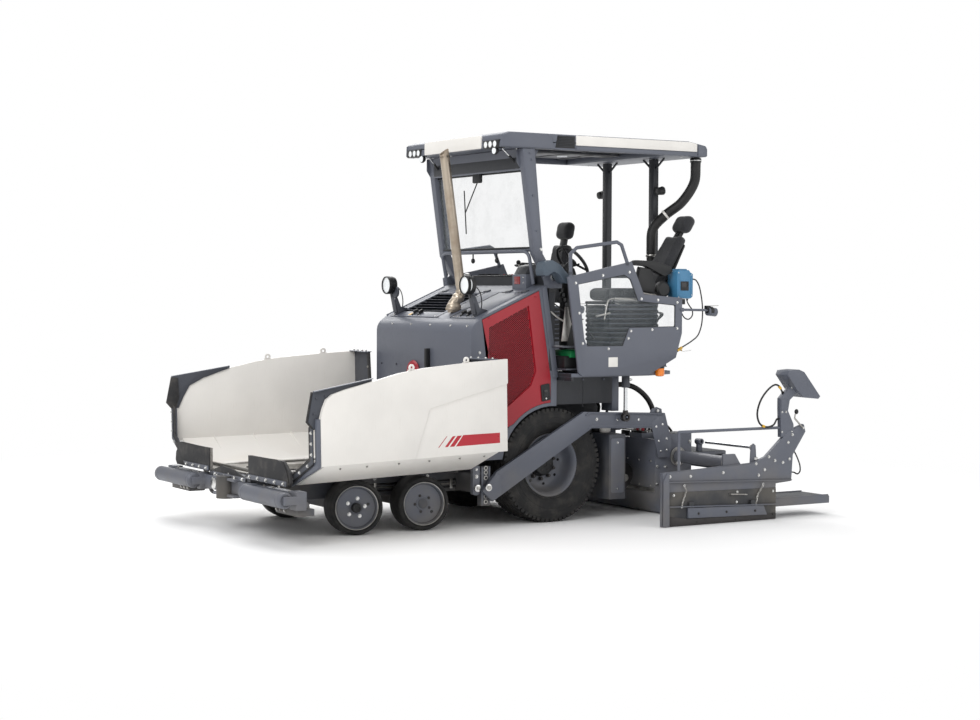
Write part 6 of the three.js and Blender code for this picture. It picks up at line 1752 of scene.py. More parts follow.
def make_roof():
    roof = Shape()
    edge = ROOF_HALF_WIDTH - 0.011
    roof.plate([(-0.566, 3.549), (-0.562, 3.603), (-0.478, 3.629), (1.598, 3.629), (1.812, 3.592),
                (1.812, 3.549)],
               "yz", -edge, edge, GREY, 0.012)
    # raised skin with long ribs and its fasteners
    roof.box((-0.70, -0.40, 3.622), (0.70, 1.52, 3.634), WHITE, 0.005)
    for x in (-0.52, -0.26, 0.0, 0.26, 0.52):
        roof.box((x - 0.025, -0.34, 3.630), (x + 0.025, 1.46, 3.6395), WHITE, 0.004)
    for y in (-0.37, 0.25, 0.87, 1.49):
        for x in (-0.66, -0.39, -0.13, 0.13, 0.39, 0.66):
            roof.bolt((x, y, 3.630), (0, 0, 1), 0.007, BRIGHT)
    # rim round the recess underneath
    roof.plate([(-0.572, 3.484), (-0.566, 3.545), (-0.12, 3.545), (-0.12, 3.484)], "yz", -edge, edge, GREY,
               0.008)
    roof.plate([(1.33, 3.484), (1.33, 3.545), (1.814, 3.545), (1.814, 3.484)], "yz", -edge, edge, GREY,
               0.008)
    for side in (1, -1):
        roof.box((min(side * 0.853, side * edge), -0.13, 3.484),
                 (max(side * 0.853, side * edge), 1.34, 3.545), GREY, 0.006)
        # white side cover, dark vent, lamp niches and the corner mouldings
        low, high = sorted((side * (edge - 0.003), side * 0.8955))
        roof.plate([(0.262, 3.53), (0.262, 3.622), (1.60, 3.622), (1.69, 3.606), (1.69, 3.53)], "yz", low,
                   high, WHITE, 0.004)
        roof.plate([(0.262, 3.488), (0.262, 3.524), (1.69, 3.524), (1.69, 3.488)], "yz", low,
                   high - 0.002 * (side > 0), GREY, 0.003)
        roof.plate([(0.03, 3.50), (0.055, 3.615), (0.25, 3.615), (0.25, 3.50)], "yz",
                   *sorted((side * (edge - 0.002), side * (edge + 0.003))), BLACK, 0.003)
        for k in range(7):
            z = 3.513 + k * 0.0145
            roof.box((min(side * edge, side * 0.8945), 0.062, z),
                     (max(side * edge, side * 0.8945), 0.238, z + 0.006), DARK, 0.0015)
        roof.plate([(-0.572, 3.49), (-0.568, 3.595), (-0.49, 3.618), (-0.02, 3.618), (0.02, 3.49)], "yz",
                   *sorted((side * (edge - 0.004), side * 0.894)), GREY, 0.006)
        roof.plate([(1.705, 3.49), (1.705, 3.60), (1.80, 3.586), (1.816, 3.56), (1.816, 3.49)], "yz",
                   *sorted((side * (edge - 0.004), side * 0.894)), GREY, 0.006)
        low, high = sorted((side * 0.585, side * 0.865))
        roof.box((low, -0.5775, 3.478), (high, -0.50, 3.552), BLACK, 0.008)
        for k in range(3):
            at = side * (0.635 + k * 0.08)
            roof.rod((at, -0.572, 3.515), (at, -0.5795, 3.515), 0.027, LAMP, 24, bevel=0.002)
            roof.lathe([(0.027, 0), (0.032, 0), (0.032, 0.012), (0.027, 0.012), (0.027, 0)],
                       (at, -0.5798, 3.515), BRIGHT, "Y", 24)
        # round lamp on its stalk under the corner
        at = side * (0.767 if side > 0 else 0.592)
        roof.rod((at, -0.53, 3.50), (at, -0.545, 3.47), 0.008, BLACK, 12)
        roof.lathe([(0, -0.026), (0.022, -0.024), (0.036, -0.006), (0.038, 0.012), (0.034, 0.016),
                    (0, 0.016)],
                   (at, -0.552, 3.455), BLACK, "Y", 28, mirror=-1)
        roof.lathe([(0, 0), (0.032, 0), (0.03, 0.004), (0, 0.006)], (at, -0.568, 3.455), LAMP, "Y", 28,
                   mirror=-1)
        # rear lamps
        roof.box((side * 0.70 - 0.055, 1.80, 3.50), (side * 0.70 + 0.055, 1.8185, 3.54), BLACK, 0.004)
        roof.box((side * 0.70 - 0.048, 1.816, 3.505), (side * 0.70 + 0.048, 1.8198, 3.535), LAMP, 0.0015)
        roof.rod((side * 0.45, 0.2, 3.5412), (side * 0.45, 0.2, 3.531), 0.055, LAMP, 30, bevel=0.003)
        roof.rod((side * 0.45, 1.0, 3.5412), (side * 0.45, 1.0, 3.531), 0.055, LAMP, 30, bevel=0.003)
    roof.plate([(-0.512, 3.486), (-0.512, 3.596), (-0.49, 3.612), (0.53, 3.612), (0.552, 3.596),
                (0.552, 3.486)], "xz",
               -0.5795, -0.56, WHITE, 0.006, corner=0.012)
    roof.plate([(-0.60, 3.49), (-0.60, 3.58), (0.60, 3.58), (0.60, 3.49)], "xz", 1.80, 1.8195, WHITE, 0.005,
               corner=0.012)
    # ceiling: lining with cross seams and an air duct
    roof.box((-0.85, -0.118, 3.5405), (0.85, 1.328, 3.5465), GREY_PAINTED_SHADE, 0.002)
    for y in (0.12, 0.48, 0.84, 1.20):
        roof.box((-0.85, y - 0.012, 3.532), (0.85, y + 0.012, 3.541), DARK, 0.003)
    roof.box((-0.12, -0.10, 3.515), (0.12, 1.31, 3.541), DARK, 0.008)
    for y in (0.05, 0.35, 0.65, 0.95, 1.2):
        roof.box((-0.09, y, 3.511), (0.09, y + 0.07, 3.517), BLACK, 0.003)
    for x in (-0.80, -0.4, 0.4, 0.80):
        for y in (-0.34, 1.57):
            roof.bolt((x, y, 3.484), (0, 0, -1), 0.008, BRIGHT)
    roof.place("roof_shell", "tractor", slot="white_paint", replaces=("roof",))


def make_extraction_hose():
    hose = Shape()
    path = [(0.78, 1.76, 3.479), (0.78, 1.76, 3.40), (0.745, 1.77, 3.24), (0.64, 1.70, 3.05),
            (0.545, 1.57, 2.92),
            (0.50, 1.45, 2.78), (0.50, 1.43, 2.60), (0.495, 1.44, 2.40), (0.495, 1.45, 2.15)]
    route = catmull_rom(path, 300)
    hose.sweep(route, 0.0455, HOSE, 28, scale_at=lambda k: 1.0 + 0.09 * math.cos(k * math.tau / 4))
    band = (Vector(path[4]) - Vector(path[3])).normalized() * 0.011
    hose.rod(Vector(path[4]) - band + Vector((0, 0, 0.004)), Vector(path[4]) + band + Vector((0, 0, 0.004)),
             0.0525, WHITE, 36)
    for centre, grow in (((0.78, 1.76, 3.455), 0.056), ((0.495, 1.45, 2.185), 0.056)):
        ring(hose, centre, "Z", grow, 0.044, 0.02, BLACK, 32)
        ring(hose, centre, "Z", grow + 0.002, 0.05, 0.006, BRIGHT, 32)
    # clamp that holds it to the rear post
    ring(hose, (0.4965, 1.434, 2.52), "Z", 0.0555, 0.047, 0.012, STEEL, 32)
    hose.box((0.438, 1.468, 2.505), (0.50, 1.512, 2.535), STEEL, 0.003)
    hose.bolt((0.49, 1.512, 2.52), (0, 1, 0), 0.007, BRIGHT)
    hose.place("extraction_hose_ribbed", "tractor", 50, "black_plastic", ("extraction_hose",))


# ---------------------------------------------------------------- machine's rear and its running gear
def make_rear_body():
    finer("rear_body", "tractor", GREY_PAINTED_SHADE, 0.005)
    rear = Shape()
    for side in (1, -1):
        low, high = sorted((side * 0.505, side * 0.90))
        # locker lids with handles, louvres and hinges
        rear.box((low, 0.829, 0.24), (high, 0.837, 0.74), GREY, 0.004)
        for k in range(8):
            z = 0.30 + k * 0.03
            rear.box((low + 0.07, 0.834, z), (high - 0.07, 0.846, z + 0.012), DARK, 0.003)
        rear.box((side * 0.70 - 0.05, 0.836, 0.62), (side * 0.70 + 0.05, 0.846, 0.66), BLACK, 0.005)
        rear.sweep([(side * 0.70 - 0.04, 0.84, 0.64), (side * 0.70 - 0.035, 0.868, 0.64),
                    (side * 0.70 + 0.035, 0.868, 0.64),
                    (side * 0.70 + 0.04, 0.84, 0.64)], 0.006, STEEL, 10, 0.012)
        for z in (0.30, 0.66):
            rear.rod((side * 0.888, 0.842, z - 0.035), (side * 0.888, 0.842, z + 0.035), 0.009, STEEL, 14)
        for x in (0.53, 0.87):
            for z in (0.26, 0.72):
                rear.bolt((side * x, 0.837, z), (0, 1, 0), 0.008, BRIGHT)
        side_low, side_high = sorted((side * 0.9245, side * 0.9285))
        rear.plate([(0.66, 0.24), (0.66, 0.76), (0.81, 0.76), (0.81, 0.24)], "yz", side_low, side_high,
                   GREY, 0.0015, corner=0.02)
        for z in (0.28, 0.72):
            rear.bolt((side * 0.9285, 0.735, z), (side, 0, 0), 0.008, BRIGHT)
        # filters and hoses above the lockers, beside the gear case
        for k in range(2):
            x = side * (0.57 + k * 0.14)
            rear.lathe([(0, 0.803), (0.045, 0.803), (0.052, 0.812), (0.052, 0.90), (0.044, 0.915),
                        (0, 0.915)], (x, 0.74, 0),
                       (BLACK, WHITE)[k], "Z", 28)
            rear.lathe([(0, 0.915), (0.058, 0.915), (0.06, 0.925), (0.05, 0.945), (0, 0.945)], (x, 0.74, 0),
                       IRON, "Z", 28)
            rear.sweep([(x, 0.74, 0.94), (x, 0.76, 1.0), (x - side * 0.04, 0.80, 1.06),
                        (x - side * 0.10, 0.78, 1.10)],
                       0.014, HOSE, 12, 0.04)
        # chute beside the gear case, where the mix leaves the tunnel
        low, high = sorted((side * 0.07, side * 0.44))
        rear.box((low, 1.0105, 0.775), (high, 1.016, 0.915), GREY, 0.003)
        for x in (0.11, 0.40):
            rear.bolt((side * x, 1.016, 0.845), (0, 1, 0), 0.009, BRIGHT)
        rear.rod((side * 0.0455, 1.0, 0.35), (side * 0.05, 1.0, 0.35), 0.075, IRON, 36)
    for z in (0.32, 0.47, 0.62, 0.74):
        for x in (-0.033, 0.033):
            rear.bolt((x, 1.061, z), (0, 1, 0), 0.0065, BRIGHT)
    rear.plate([(-0.04, 0.285), (-0.04, 0.765), (0.04, 0.765), (0.04, 0.285)], "xz", 1.058, 1.066, IRON,
               0.002, corner=0.02)
    rear.rod((0, 1.06, 0.70), (0, 1.085, 0.70), 0.016, BRASS, 6)
    # hydraulic motor on top, with its lines
    rear.rod((-0.06, 0.90, 0.97), (0.15, 0.90, 0.97), 0.045, IRON, 32, bevel=0.005)
    rear.box((0.14, 0.855, 0.93), (0.19, 0.945, 1.01), IRON, 0.006)
    for dy in (-0.02, 0.02):
        rear.sweep([(0.19, 0.90 + dy, 0.98), (0.25, 0.90 + dy, 1.0), (0.28, 0.87 + dy, 1.05),
                    (0.28, 0.835, 1.10)], 0.013,
                   HOSE, 12, 0.03)
        rear.rod((0.19, 0.90 + dy, 0.98), (0.21, 0.90 + dy, 0.985), 0.019, BRIGHT, 6)
    rear.place("rear_body_fittings", "tractor", slot="dark_paint")


def make_augers():
    auger = Shape()
    start, end, pitch = 0.075, 0.69, 0.26
    part = bmesh.new()
    steps = 84
    rows = []
    for k in range(steps + 1):
        along = start + (end - start) * k / steps
        angle = math.tau * (along - start) / pitch
        row = []
        for radius, half in ((0.036, 0.008), (0.149, 0.006)):
            for offset in (-half, half):
                row.append(part.verts.new((min(max(along + offset, 0.05), 0.695),
                                           1.0 + radius * math.cos(angle),
                                           0.35 + radius * math.sin(angle))))
        rows.append(row)
    for a, b in zip(rows, rows[1:]):
        for i, j in ((0, 1), (1, 3), (3, 2), (2, 0)):
            part.faces.new((a[i], a[j], b[j], b[i]))
    part.faces.new((rows[0][0], rows[0][2], rows[0][3], rows[0][1]))
    part.faces.new((rows[-1][0], rows[-1][1], rows[-1][3], rows[-1][2]))
    auger._finish_part(part, IRON)
    auger.rod((0.0455, 1.0, 0.35), (0.695, 1.0, 0.35), 0.035, STEEL, 40, bevel=0.003)
    for x in (0.075, 0.335, 0.595):
        ring(auger, (x, 1.0, 0.35), "X", 0.05, 0.034, 0.014, IRON, 32)
        auger.bolt((x, 1.0, 0.40), (0, 0, 1), 0.008, BRIGHT)
    # bolted-on wear shoes along the rim
    for k in range(9):
        along = start + 0.04 + k * 0.062
        angle = math.tau * (along - start) / pitch
        turn = Matrix.Translation((along, 1.0, 0.35)) @ Matrix.Rotation(angle, 4, "X")
        auger.box((-0.014, 0.112, -0.02), (-0.004, 0.1475, 0.02), STEEL, 0.002, turn)
        for z in (-0.011, 0.011):
            auger.rod(turn @ Vector((-0.003, 0.128, z)), turn @ Vector((0.005, 0.128, z)), 0.005, BRIGHT, 6)
    place_pair(auger, "auger_flight", "auger", replaces=("auger",), slot="dark_iron")


def make_lift_cylinders():
    x = 1.03
    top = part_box("lift_barrel_left")
    high = top[1].z
    for side, word in ((1, "left"), (-1, "right")):
        barrel = Shape()
        barrel.lathe([(0.0, 1.252), (0.034, 1.252), (0.0415, 1.258), (0.0415, 1.298), (0.038, 1.304),
                      (0.038, high - 0.035),
                      (0.0415, high - 0.03), (0.0415, high - 0.006), (0.037, high - 0.001),
                      (0.0, high - 0.001)],
                     (side * x, 0.75, 0), GREY_PAINTED_SHADE, "Z", 40)
        barrel.rod((side * x - 0.054, 0.75, 1.62), (side * x + 0.054, 0.75, 1.62), 0.03, STEEL, 32,
                   bevel=0.003)
        ring(barrel, (side * x, 0.75, 1.62), "X", 0.0395, 0.028, 0.044, IRON, 32)
        for z in (1.325, 1.56):
            barrel.rod((side * x, 0.785, z), (side * x, 0.81, z), 0.012, BRIGHT, 6)
            barrel.rod((side * x, 0.81, z), (side * x, 0.822, z), 0.009, BRIGHT, 12)
        barrel.place(f"lift_cylinder_{word}", f"lift_barrel_{word}", slot="grey_paint",
                     replaces=(f"lift_barrel_{word}",))
        rod = Shape()
        rod.rod((side * x, 0.75, 1.298), (side * x, 0.75, 1.0), 0.019, CHROME, 36)
        rod.rod((side * x, 0.75, 1.035), (side * x, 0.75, 1.0), 0.027, IRON, 6)
        ring(rod, (side * x, 0.75, 0.97), "X", 0.0415, 0.0245, 0.0245, IRON, 36)
        rod.box((side * x - 0.018, 0.728, 0.992), (side * x + 0.018, 0.772, 1.03), IRON, 0.006)
        rod.place(f"lift_rod_chrome_{word}", f"lift_rod_{word}", slot="worn_steel",
                  replaces=(f"lift_rod_{word}",))


def make_tow_arms():
    for word in ("left", "right"):
        finer(f"tow_arm_{word}", "screed", GREY, 0.004)
    arm = Shape()
    x = 0.97
    # folded edge, joint plates and bolts
    arm.plate([(0.36, 0.88), (0.42, 0.90), (1.13, 0.876), (1.13, 0.862), (0.42, 0.884), (0.37, 0.866)],
              "yz", x - 0.002, x + 0.003, GREY, 0.001)
    arm.plate([(0.33, 1.002), (0.37, 1.025), (1.24, 0.989), (1.24, 0.975), (0.37, 1.011), (0.34, 0.99)],
              "yz", x - 0.002, x + 0.012, GREY, 0.002)
    arm.plate([(1.10, 0.90), (1.11, 0.84), (1.19, 0.56), (1.32, 0.57), (1.33, 0.71), (1.26, 0.955),
               (1.18, 0.96)], "yz", x - 0.002, x + 0.0015, GREY, 0.0005)
    for y, z in ((1.215, 0.62), (1.285, 0.63), (1.19, 0.72), (1.285, 0.74), (1.16, 0.86), (1.235, 0.88),
                 (0.46, 0.955), (0.70, 0.945), (0.95, 0.935)):
        if y > 0.6:
            arm.rod((x, y, z), (x + 0.0035, y, z), 0.012, BRIGHT, 20, bevel=0.001)
        else:
            arm.bolt((x, y, z), (1, 0, 0), 0.012, BRIGHT)
    arm.plate([(-0.80, 0.34), (-0.69, 0.24), (-0.60, 0.30), (-0.60, 0.47), (-0.66, 0.49)], "yz", x - 0.002,
              x + 0.005, GREY, 0.002)
    arm.plate([(0.66, 0.93), (0.70, 0.99), (0.75, 1.005), (0.80, 0.99), (0.84, 0.93)], "yz", x - 0.002,
              x + 0.003, GREY, 0.001)
    # tie rod and chain bracket on top of the rear end
    arm.plate([(1.10, 0.985), (1.12, 1.03), (1.18, 1.05), (1.24, 1.03), (1.25, 0.975)], "yz", x - 0.035,
              x - 0.023, GREY, 0.003)
    arm.rod((x - 0.04, 1.18, 1.015), (x + 0.0, 1.18, 1.015), 0.014, BRIGHT, 24)
    place_pair(arm, "tow_arm_plates", "screed", slot="grey_paint")

    tow = Shape()
    # holed rail on the frame, with the roller and its pin; the black disc in each ring is painted shade of
    # its hole
    for z in (0.235, 0.285, 0.455, 0.505, 0.545):
        ring(tow, (0.9255, -0.74, z), "X", 0.021, 0.013, 0.0035, STEEL, 24)
        tow.rod((0.918, -0.74, z), (0.9265, -0.74, z), 0.013, BLACK, 24)
    tow.box((0.9245, -0.786, 0.21), (0.929, -0.77, 0.55), GREY, 0.0015)
    tow.box((0.9245, -0.71, 0.21), (0.929, -0.694, 0.55), GREY, 0.0015)
    # guide block with its bright roller ahead of the rail
    tow.plate([(-0.872, 0.31), (-0.872, 0.55), (-0.855, 0.568), (-0.797, 0.566), (-0.797, 0.31),
               (-0.83, 0.295)], "yz", 0.872, 0.918, GREY, 0.005)
    tow.rod((0.916, -0.832, 0.365), (0.945, -0.832, 0.365), 0.034, BRIGHT, 36, bevel=0.004)
    tow.rod((0.944, -0.832, 0.365), (0.952, -0.832, 0.365), 0.015, STEEL, 24, bevel=0.002)
    tow.bolt((0.918, -0.835, 0.47), (1, 0, 0), 0.013, BRIGHT)
    tow.bolt((0.918, -0.835, 0.535), (1, 0, 0), 0.009, BRIGHT)
    tow.rod((0.895, -0.80, 0.50), (0.895, -0.745, 0.50), 0.02, GREY, 20)
    tow.rod((0.895, -0.80, 0.35), (0.895, -0.745, 0.35), 0.02, GREY, 20)
    tow.rod((0.971, -0.74, 0.37), (0.985, -0.74, 0.37), 0.034, BRIGHT, 32, bevel=0.003)
    tow.rod((0.984, -0.74, 0.37), (0.996, -0.74, 0.37), 0.019, STEEL, 6)
    place_pair(tow, "tow_points", "tractor", slot="worn_steel")


def make_chassis():
    finer("chassis", "tractor", GREY_PAINTED_SHADE, 0.005)
    frame_part = Shape()
    for side in (1, -1):
        x = side * 0.481
        # hydraulic lines clipped along the rail, drive motor and its lines behind the wheel
        for k in range(3):
            z = 0.34 + k * 0.03
            frame_part.sweep([(x, -2.05, z), (x, -0.9, z), (x, -0.6, z + 0.02)], 0.009,
                             (HOSE, STEEL, HOSE)[k], 10, 0.05)
        for y in (-1.9, -1.65, -1.05, -0.85):
            frame_part.box((x - 0.012, y - 0.015, 0.325), (x + 0.012, y + 0.015, 0.415), STEEL, 0.003)
        frame_part.lathe([(0.0, 0.0), (0.14, 0.0), (0.15, 0.012), (0.15, 0.05), (0.10, 0.07), (0, 0.07)],
                         (side * 0.505, 0, AXLE_Z), IRON, "X", 40, mirror=side)
        for y in (-2.2, -1.65, -1.1):
            frame_part.bolt((side * 0.479, y, 0.45), (side, 0, 0), 0.012, BRIGHT)
        # step and hand hold by the front of the service door
        frame_part.rod((side * 0.60, -0.80, 0.54), (side * 0.60, -0.62, 0.54), 0.012, GREY, 14)
    frame_part.place("chassis_fittings", "tractor", slot="dark_paint")


# ---------------------------------------------------------------- screed
def chain(shape, points, x, pitch=0.021, wire=0.0028):
    """Hanging chain in the Y-Z plane: links set alternately flat and on edge."""
    route = [Vector((0, y, z)) for y, z in points]
    total = length_of(route)
    count = int(total / pitch)
    for k in range(count):
        along = (k + 0.5) * total / count
        for a, b in zip(route, route[1:]):
            reach = (b - a).length
            if along <= reach or b is route[-1]:
                at = a.lerp(b, min(along / reach, 1))
                way = (b - a).normalized()
                break
            along -= reach
        across = Vector((1, 0, 0)) if k % 2 else Vector((1, 0, 0)).cross(way)
        loop = [at + Vector((x, 0, 0)) + way * (pitch * 0.62 * math.cos(t))
                + across * (pitch * 0.33 * math.sin(t))
                for t in [math.tau * n / 8 for n in range(9)]]
        shape.sweep(loop, wire, STEEL, 5)


def make_screed():
    finer("screed_main", "screed", GREY, 0.004)
    main = Shape()
    x = 0.9305
    for side in (1, -1):
        for y, z in ((1.20, 0.66), (1.205, 0.47), (1.305, 0.464), (1.20, 0.30), (1.60, 0.10), (1.60, 0.40),
                     (1.60, 0.70), (1.45, 0.06)):
            main.bolt((side * x, y, z), (side, 0, 0), 0.013, BRIGHT)
        main.plate([(1.20, 0.665), (1.20, 0.715), (1.345, 0.72), (1.345, 0.67)], "yz",
                   *sorted((side * x, side * (x + 0.0015))), YELLOW, 0.0005)
        # blocks with hoses and fittings
        for k in range(3):
            at = side * (0.53 + k * 0.07)
            main.rod((at, 1.30, 0.779), (at, 1.30, 0.80), 0.016, BRIGHT, 6)
            main.sweep([(at, 1.30, 0.79), (at, 1.30, 0.86), (at + side * 0.01, 1.36, 0.90),
                        (at + side * 0.02, 1.46, 0.87), (at + side * 0.02, 1.55, 0.80),
                        (at + side * 0.02, 1.60, 0.70)],
                       0.012, HOSE, 12, 0.04)
        low, high = sorted((side * 0.50, side * 0.70))
        main.box((low + 0.01, 1.19, 0.776), (high - 0.01, 1.26, 0.80), IRON, 0.006)
        for k in range(4):
            main.lathe([(0, 0), (0.015, 0), (0.015, 0.03), (0, 0.032)],
                       (low + 0.035 + k * 0.043, 1.225, 0.80), (STEEL, RED)[k % 2], "Z", 18)
        main.box((min(side * 0.08, side * 0.46), 1.36, 0.776), (max(side * 0.08, side * 0.46), 1.59, 0.787),
                 TREAD, 0.001)
        main.box((min(side * 0.72, side * 0.915), 1.36, 0.776),
                 (max(side * 0.72, side * 0.915), 1.59, 0.787), TREAD, 0.001)
        # heater sockets along the rear and the tamper shield in front
        for k in range(3):
            at = side * (0.18 + k * 0.26)
            main.box((at - 0.07, 1.616, 0.62), (at + 0.07, 1.64, 0.74), BLACK, 0.008)
            main.rod((at, 1.64, 0.68), (at, 1.66, 0.68), 0.022, (AMBER, BLACK, BLACK)[k], 20, bevel=0.003)
            main.sweep([(at, 1.655, 0.68), (at, 1.69, 0.67), (at + side * 0.02, 1.70, 0.62),
                        (at + side * 0.02, 1.66, 0.595)], 0.008, HOSE, 10, 0.02)
        for k in range(5):
            main.bolt((side * (0.10 + k * 0.19), 1.179, 0.52), (0, -1, 0), 0.010, BRIGHT)
            main.bolt((side * (0.10 + k * 0.19), 1.179, 0.28), (0, -1, 0), 0.010, BRIGHT)
    main.box((-0.925, 1.605, 0.589), (0.925, 2.045, 0.5935), TREAD, 0.001)
    main.box((-0.925, 1.171, 0.22), (0.925, 1.179, 0.26), STEEL, 0.002)
    main.rod((-0.90, 1.62, 0.50), (0.90, 1.62, 0.50), 0.014, STEEL, 14)
    main.rod((-0.90, 1.62, 0.45), (0.90, 1.62, 0.45), 0.010, HOSE, 12)
    # glands of the guide tubes and the sleeves of the upper rods
    for side in (1, -1):
        ring(main, (side * 0.938, 1.45, 0.56), "X", 0.092, 0.0625, 0.008, STEEL, 44)
        for k in range(6):
            turn = math.tau * k / 6
            main.bolt((side * 0.946, 1.45 + 0.079 * math.cos(turn), 0.56 + 0.079 * math.sin(turn)),
                      (side, 0, 0), 0.005, BRIGHT, False)
        main.box((side * 0.885 - 0.02, 1.725, 0.588), (side * 0.885 + 0.02, 1.775, 0.668), GREY, 0.004)
        ring(main, (side * 0.885, 1.75, 0.69), "X", 0.03, 0.0145, 0.04, GREY, 28)
    # crown adjuster in the middle
    main.rod((-0.12, 1.30, 0.80), (0.12, 1.30, 0.80), 0.022, STEEL, 24, bevel=0.003)
    main.rod((-0.05, 1.30, 0.80), (0.05, 1.30, 0.80), 0.036, YELLOW, 6, bevel=0.003)
    for side in (1, -1):
        main.box((side * 0.13 - 0.02, 1.27, 0.77), (side * 0.13 + 0.02, 1.33, 0.83), GREY, 0.005)
    main.place("screed_fittings", "screed", slot="grey_paint")


def make_extensions():
    for word in ("left", "right"):
        finer(f"extension_{word}", f"extension_{word}", GREY, 0.004)
    gate = Shape()
    x = GATE_X
    gate.plate([(0.647, 0.496), (1.687, 0.54), (1.86, 0.60), (2.10, 0.80), (2.14, 0.832), (2.336, 0.894),
                (2.356, 0.823), (2.20, 0.607), (2.184, 0.362), (0.66, 0.408)],
               "yz", x - 0.002, x + 0.012, GREY, 0.004)
    gate.plate([(0.652, 0.006), (0.652, 0.43), (0.69, 0.49), (0.716, 0.49), (0.721, 0.006)], "yz", x + 0.01,
               x + 0.026, GREY, 0.004)
    gate.plate([(0.733, 0.32), (1.998, 0.30), (1.998, 0.004), (0.733, 0.004)], "yz", x - 0.001, x + 0.006,
               DARK, 0.003)
    gate.plate([(0.93, 0.168), (1.83, 0.144), (1.875, 0.052), (0.935, 0.072)], "yz", x + 0.005, x + 0.028,
               GREY, 0.003)
    for y, z in ((0.97, 0.178), (1.70, 0.156)):
        gate.box((x + 0.004, y - 0.028, z - 0.01), (x + 0.034, y + 0.028, z + 0.045), DARK, 0.003)
    gate.plate([(0.719, 0.10), (0.74, 0.004), (1.995, 0.004), (1.997, 0.06), (0.93, 0.066)], "yz",
               x + 0.005, x + 0.010, IRON, 0.002)
    gate.plate([(0.715, 0.183), (0.715, 0.193), (1.997, 0.150), (1.997, 0.140)], "yz", x + 0.004, x + 0.036,
               GREY, 0.002)
    gate.plate([(0.70, 0.41), (0.70, 0.42), (2.18, 0.372), (2.18, 0.362)], "yz", x + 0.010, x + 0.028, GREY,
               0.002)
    for y, z in ((0.968, 0.458), (1.85, 0.479), (1.777, 0.43), (1.976, 0.56), (2.074, 0.538),
                 (2.156, 0.569), (2.19, 0.80),
                 (2.139, 0.727), (1.745, 0.54), (0.73, 0.465), (1.90, 0.60), (1.35, 0.475)):
        gate.bolt((x + 0.012, y, z), (1, 0, 0), 0.011, BRIGHT)
    for y, z in ((1.525, 0.285), (1.519, 0.19), (1.054, 0.03), (1.514, 0.022), (1.053, 0.109),
                 (1.382, 0.107), (1.726, 0.098),
                 (0.78, 0.29), (1.96, 0.27), (1.96, 0.05)):
        gate.bolt((x + (0.028 if 0.07 < z < 0.15 else 0.006), y, z), (1, 0, 0), 0.009,
                  BRIGHT if z > 0.15 else IRON)
    gate.sweep([(x + 0.004, 1.435, 0.269), (x + 0.036, 1.44, 0.269), (x + 0.036, 1.627, 0.258),
                (x + 0.004, 1.632, 0.258)], 0.0065,
               STEEL, 10, 0.015)
    chain(gate, [(0.889, 0.372), (0.915, 0.331), (0.876, 0.238), (0.862, 0.19)], x + 0.022)
    chain(gate, [(1.826, 0.335), (1.76, 0.247), (1.74, 0.155)], x + 0.022)
    for y, z in ((0.889, 0.378), (1.826, 0.345), (0.862, 0.18), (1.74, 0.15)):
        ring(gate, (x + 0.022, y, z), "X", 0.012, 0.007, 0.003, BRIGHT, 16)
    # height spindles of the gate
    for y in (0.86, 1.78):
        gate.rod((x - 0.03, y, 0.46), (x - 0.03, y, 0.60), 0.012, STEEL, 20)
        gate.rod((x - 0.03, y, 0.575), (x - 0.03, y, 0.595), 0.02, BRIGHT, 6)
    # collar of the guide tube, upper rod with its lug
    ring(gate, (1.697, 1.45, 0.56), "X", 0.072, 0.058, 0.003, STEEL, 40)
    gate.plate([(1.70, 0.38), (1.72, 0.66), (1.725, 0.71), (1.75, 0.73), (1.775, 0.71), (1.78, 0.66),
                (1.80, 0.38)], "yz", 1.702, 1.7195, GREY, 0.004)
    gate.rod((0.99, 1.75, 0.69), (1.71, 1.75, 0.69), 0.0135, CHROME, 24)
    ring(gate, (1.695, 1.75, 0.69), "X", 0.03, 0.0135, 0.007, STEEL, 28)
    # step plates and their edges
    gate.box((1.305, 2.005, 0.1795), (1.695, 2.715, 0.184), TREAD, 0.001)
    for at in (1.302, 1.692):
        gate.box((at, 2.01, 0.15), (at + 0.006, 2.71, 0.196), GREY, 0.002)
    gate.box((0.90, 1.655, 0.379), (1.60, 1.99, 0.3845), TREAD, 0.001)
    for at in (1.38, 1.62):
        gate.bolt((at, 2.03, 0.184), (0, 0, 1), 0.010, BRIGHT)
        gate.box((at - 0.02, 1.98, 0.11), (at + 0.02, 2.02, 0.176), GREY, 0.004)
    for k in range(4):
        at = 1.05 + k * 0.17
        gate.bolt((at, 2.0105, 0.32), (0, 1, 0), 0.010, BRIGHT)
        gate.bolt((at, 2.0105, 0.07), (0, 1, 0), 0.010, BRIGHT)
    gate.box((0.90, 2.008, 0.16), (1.28, 2.016, 0.24), GREY_PAINTED_SHADE, 0.003)
    # crank with its black knob
    gate.rod((1.765, 2.32, 0.859), (1.765, 2.213, 0.956), 0.0085, STEEL, 14)
    gate.rod((1.765, 2.213, 0.95), (1.765, 2.222, 1.0), 0.007, STEEL, 12)
    gate.ball((1.765, 2.235, 1.019), 0.02, BLACK, (1, 1, 1.25))
    gate.rod((1.74, 2.32, 0.86), (1.775, 2.32, 0.86), 0.012, BRIGHT, 16)
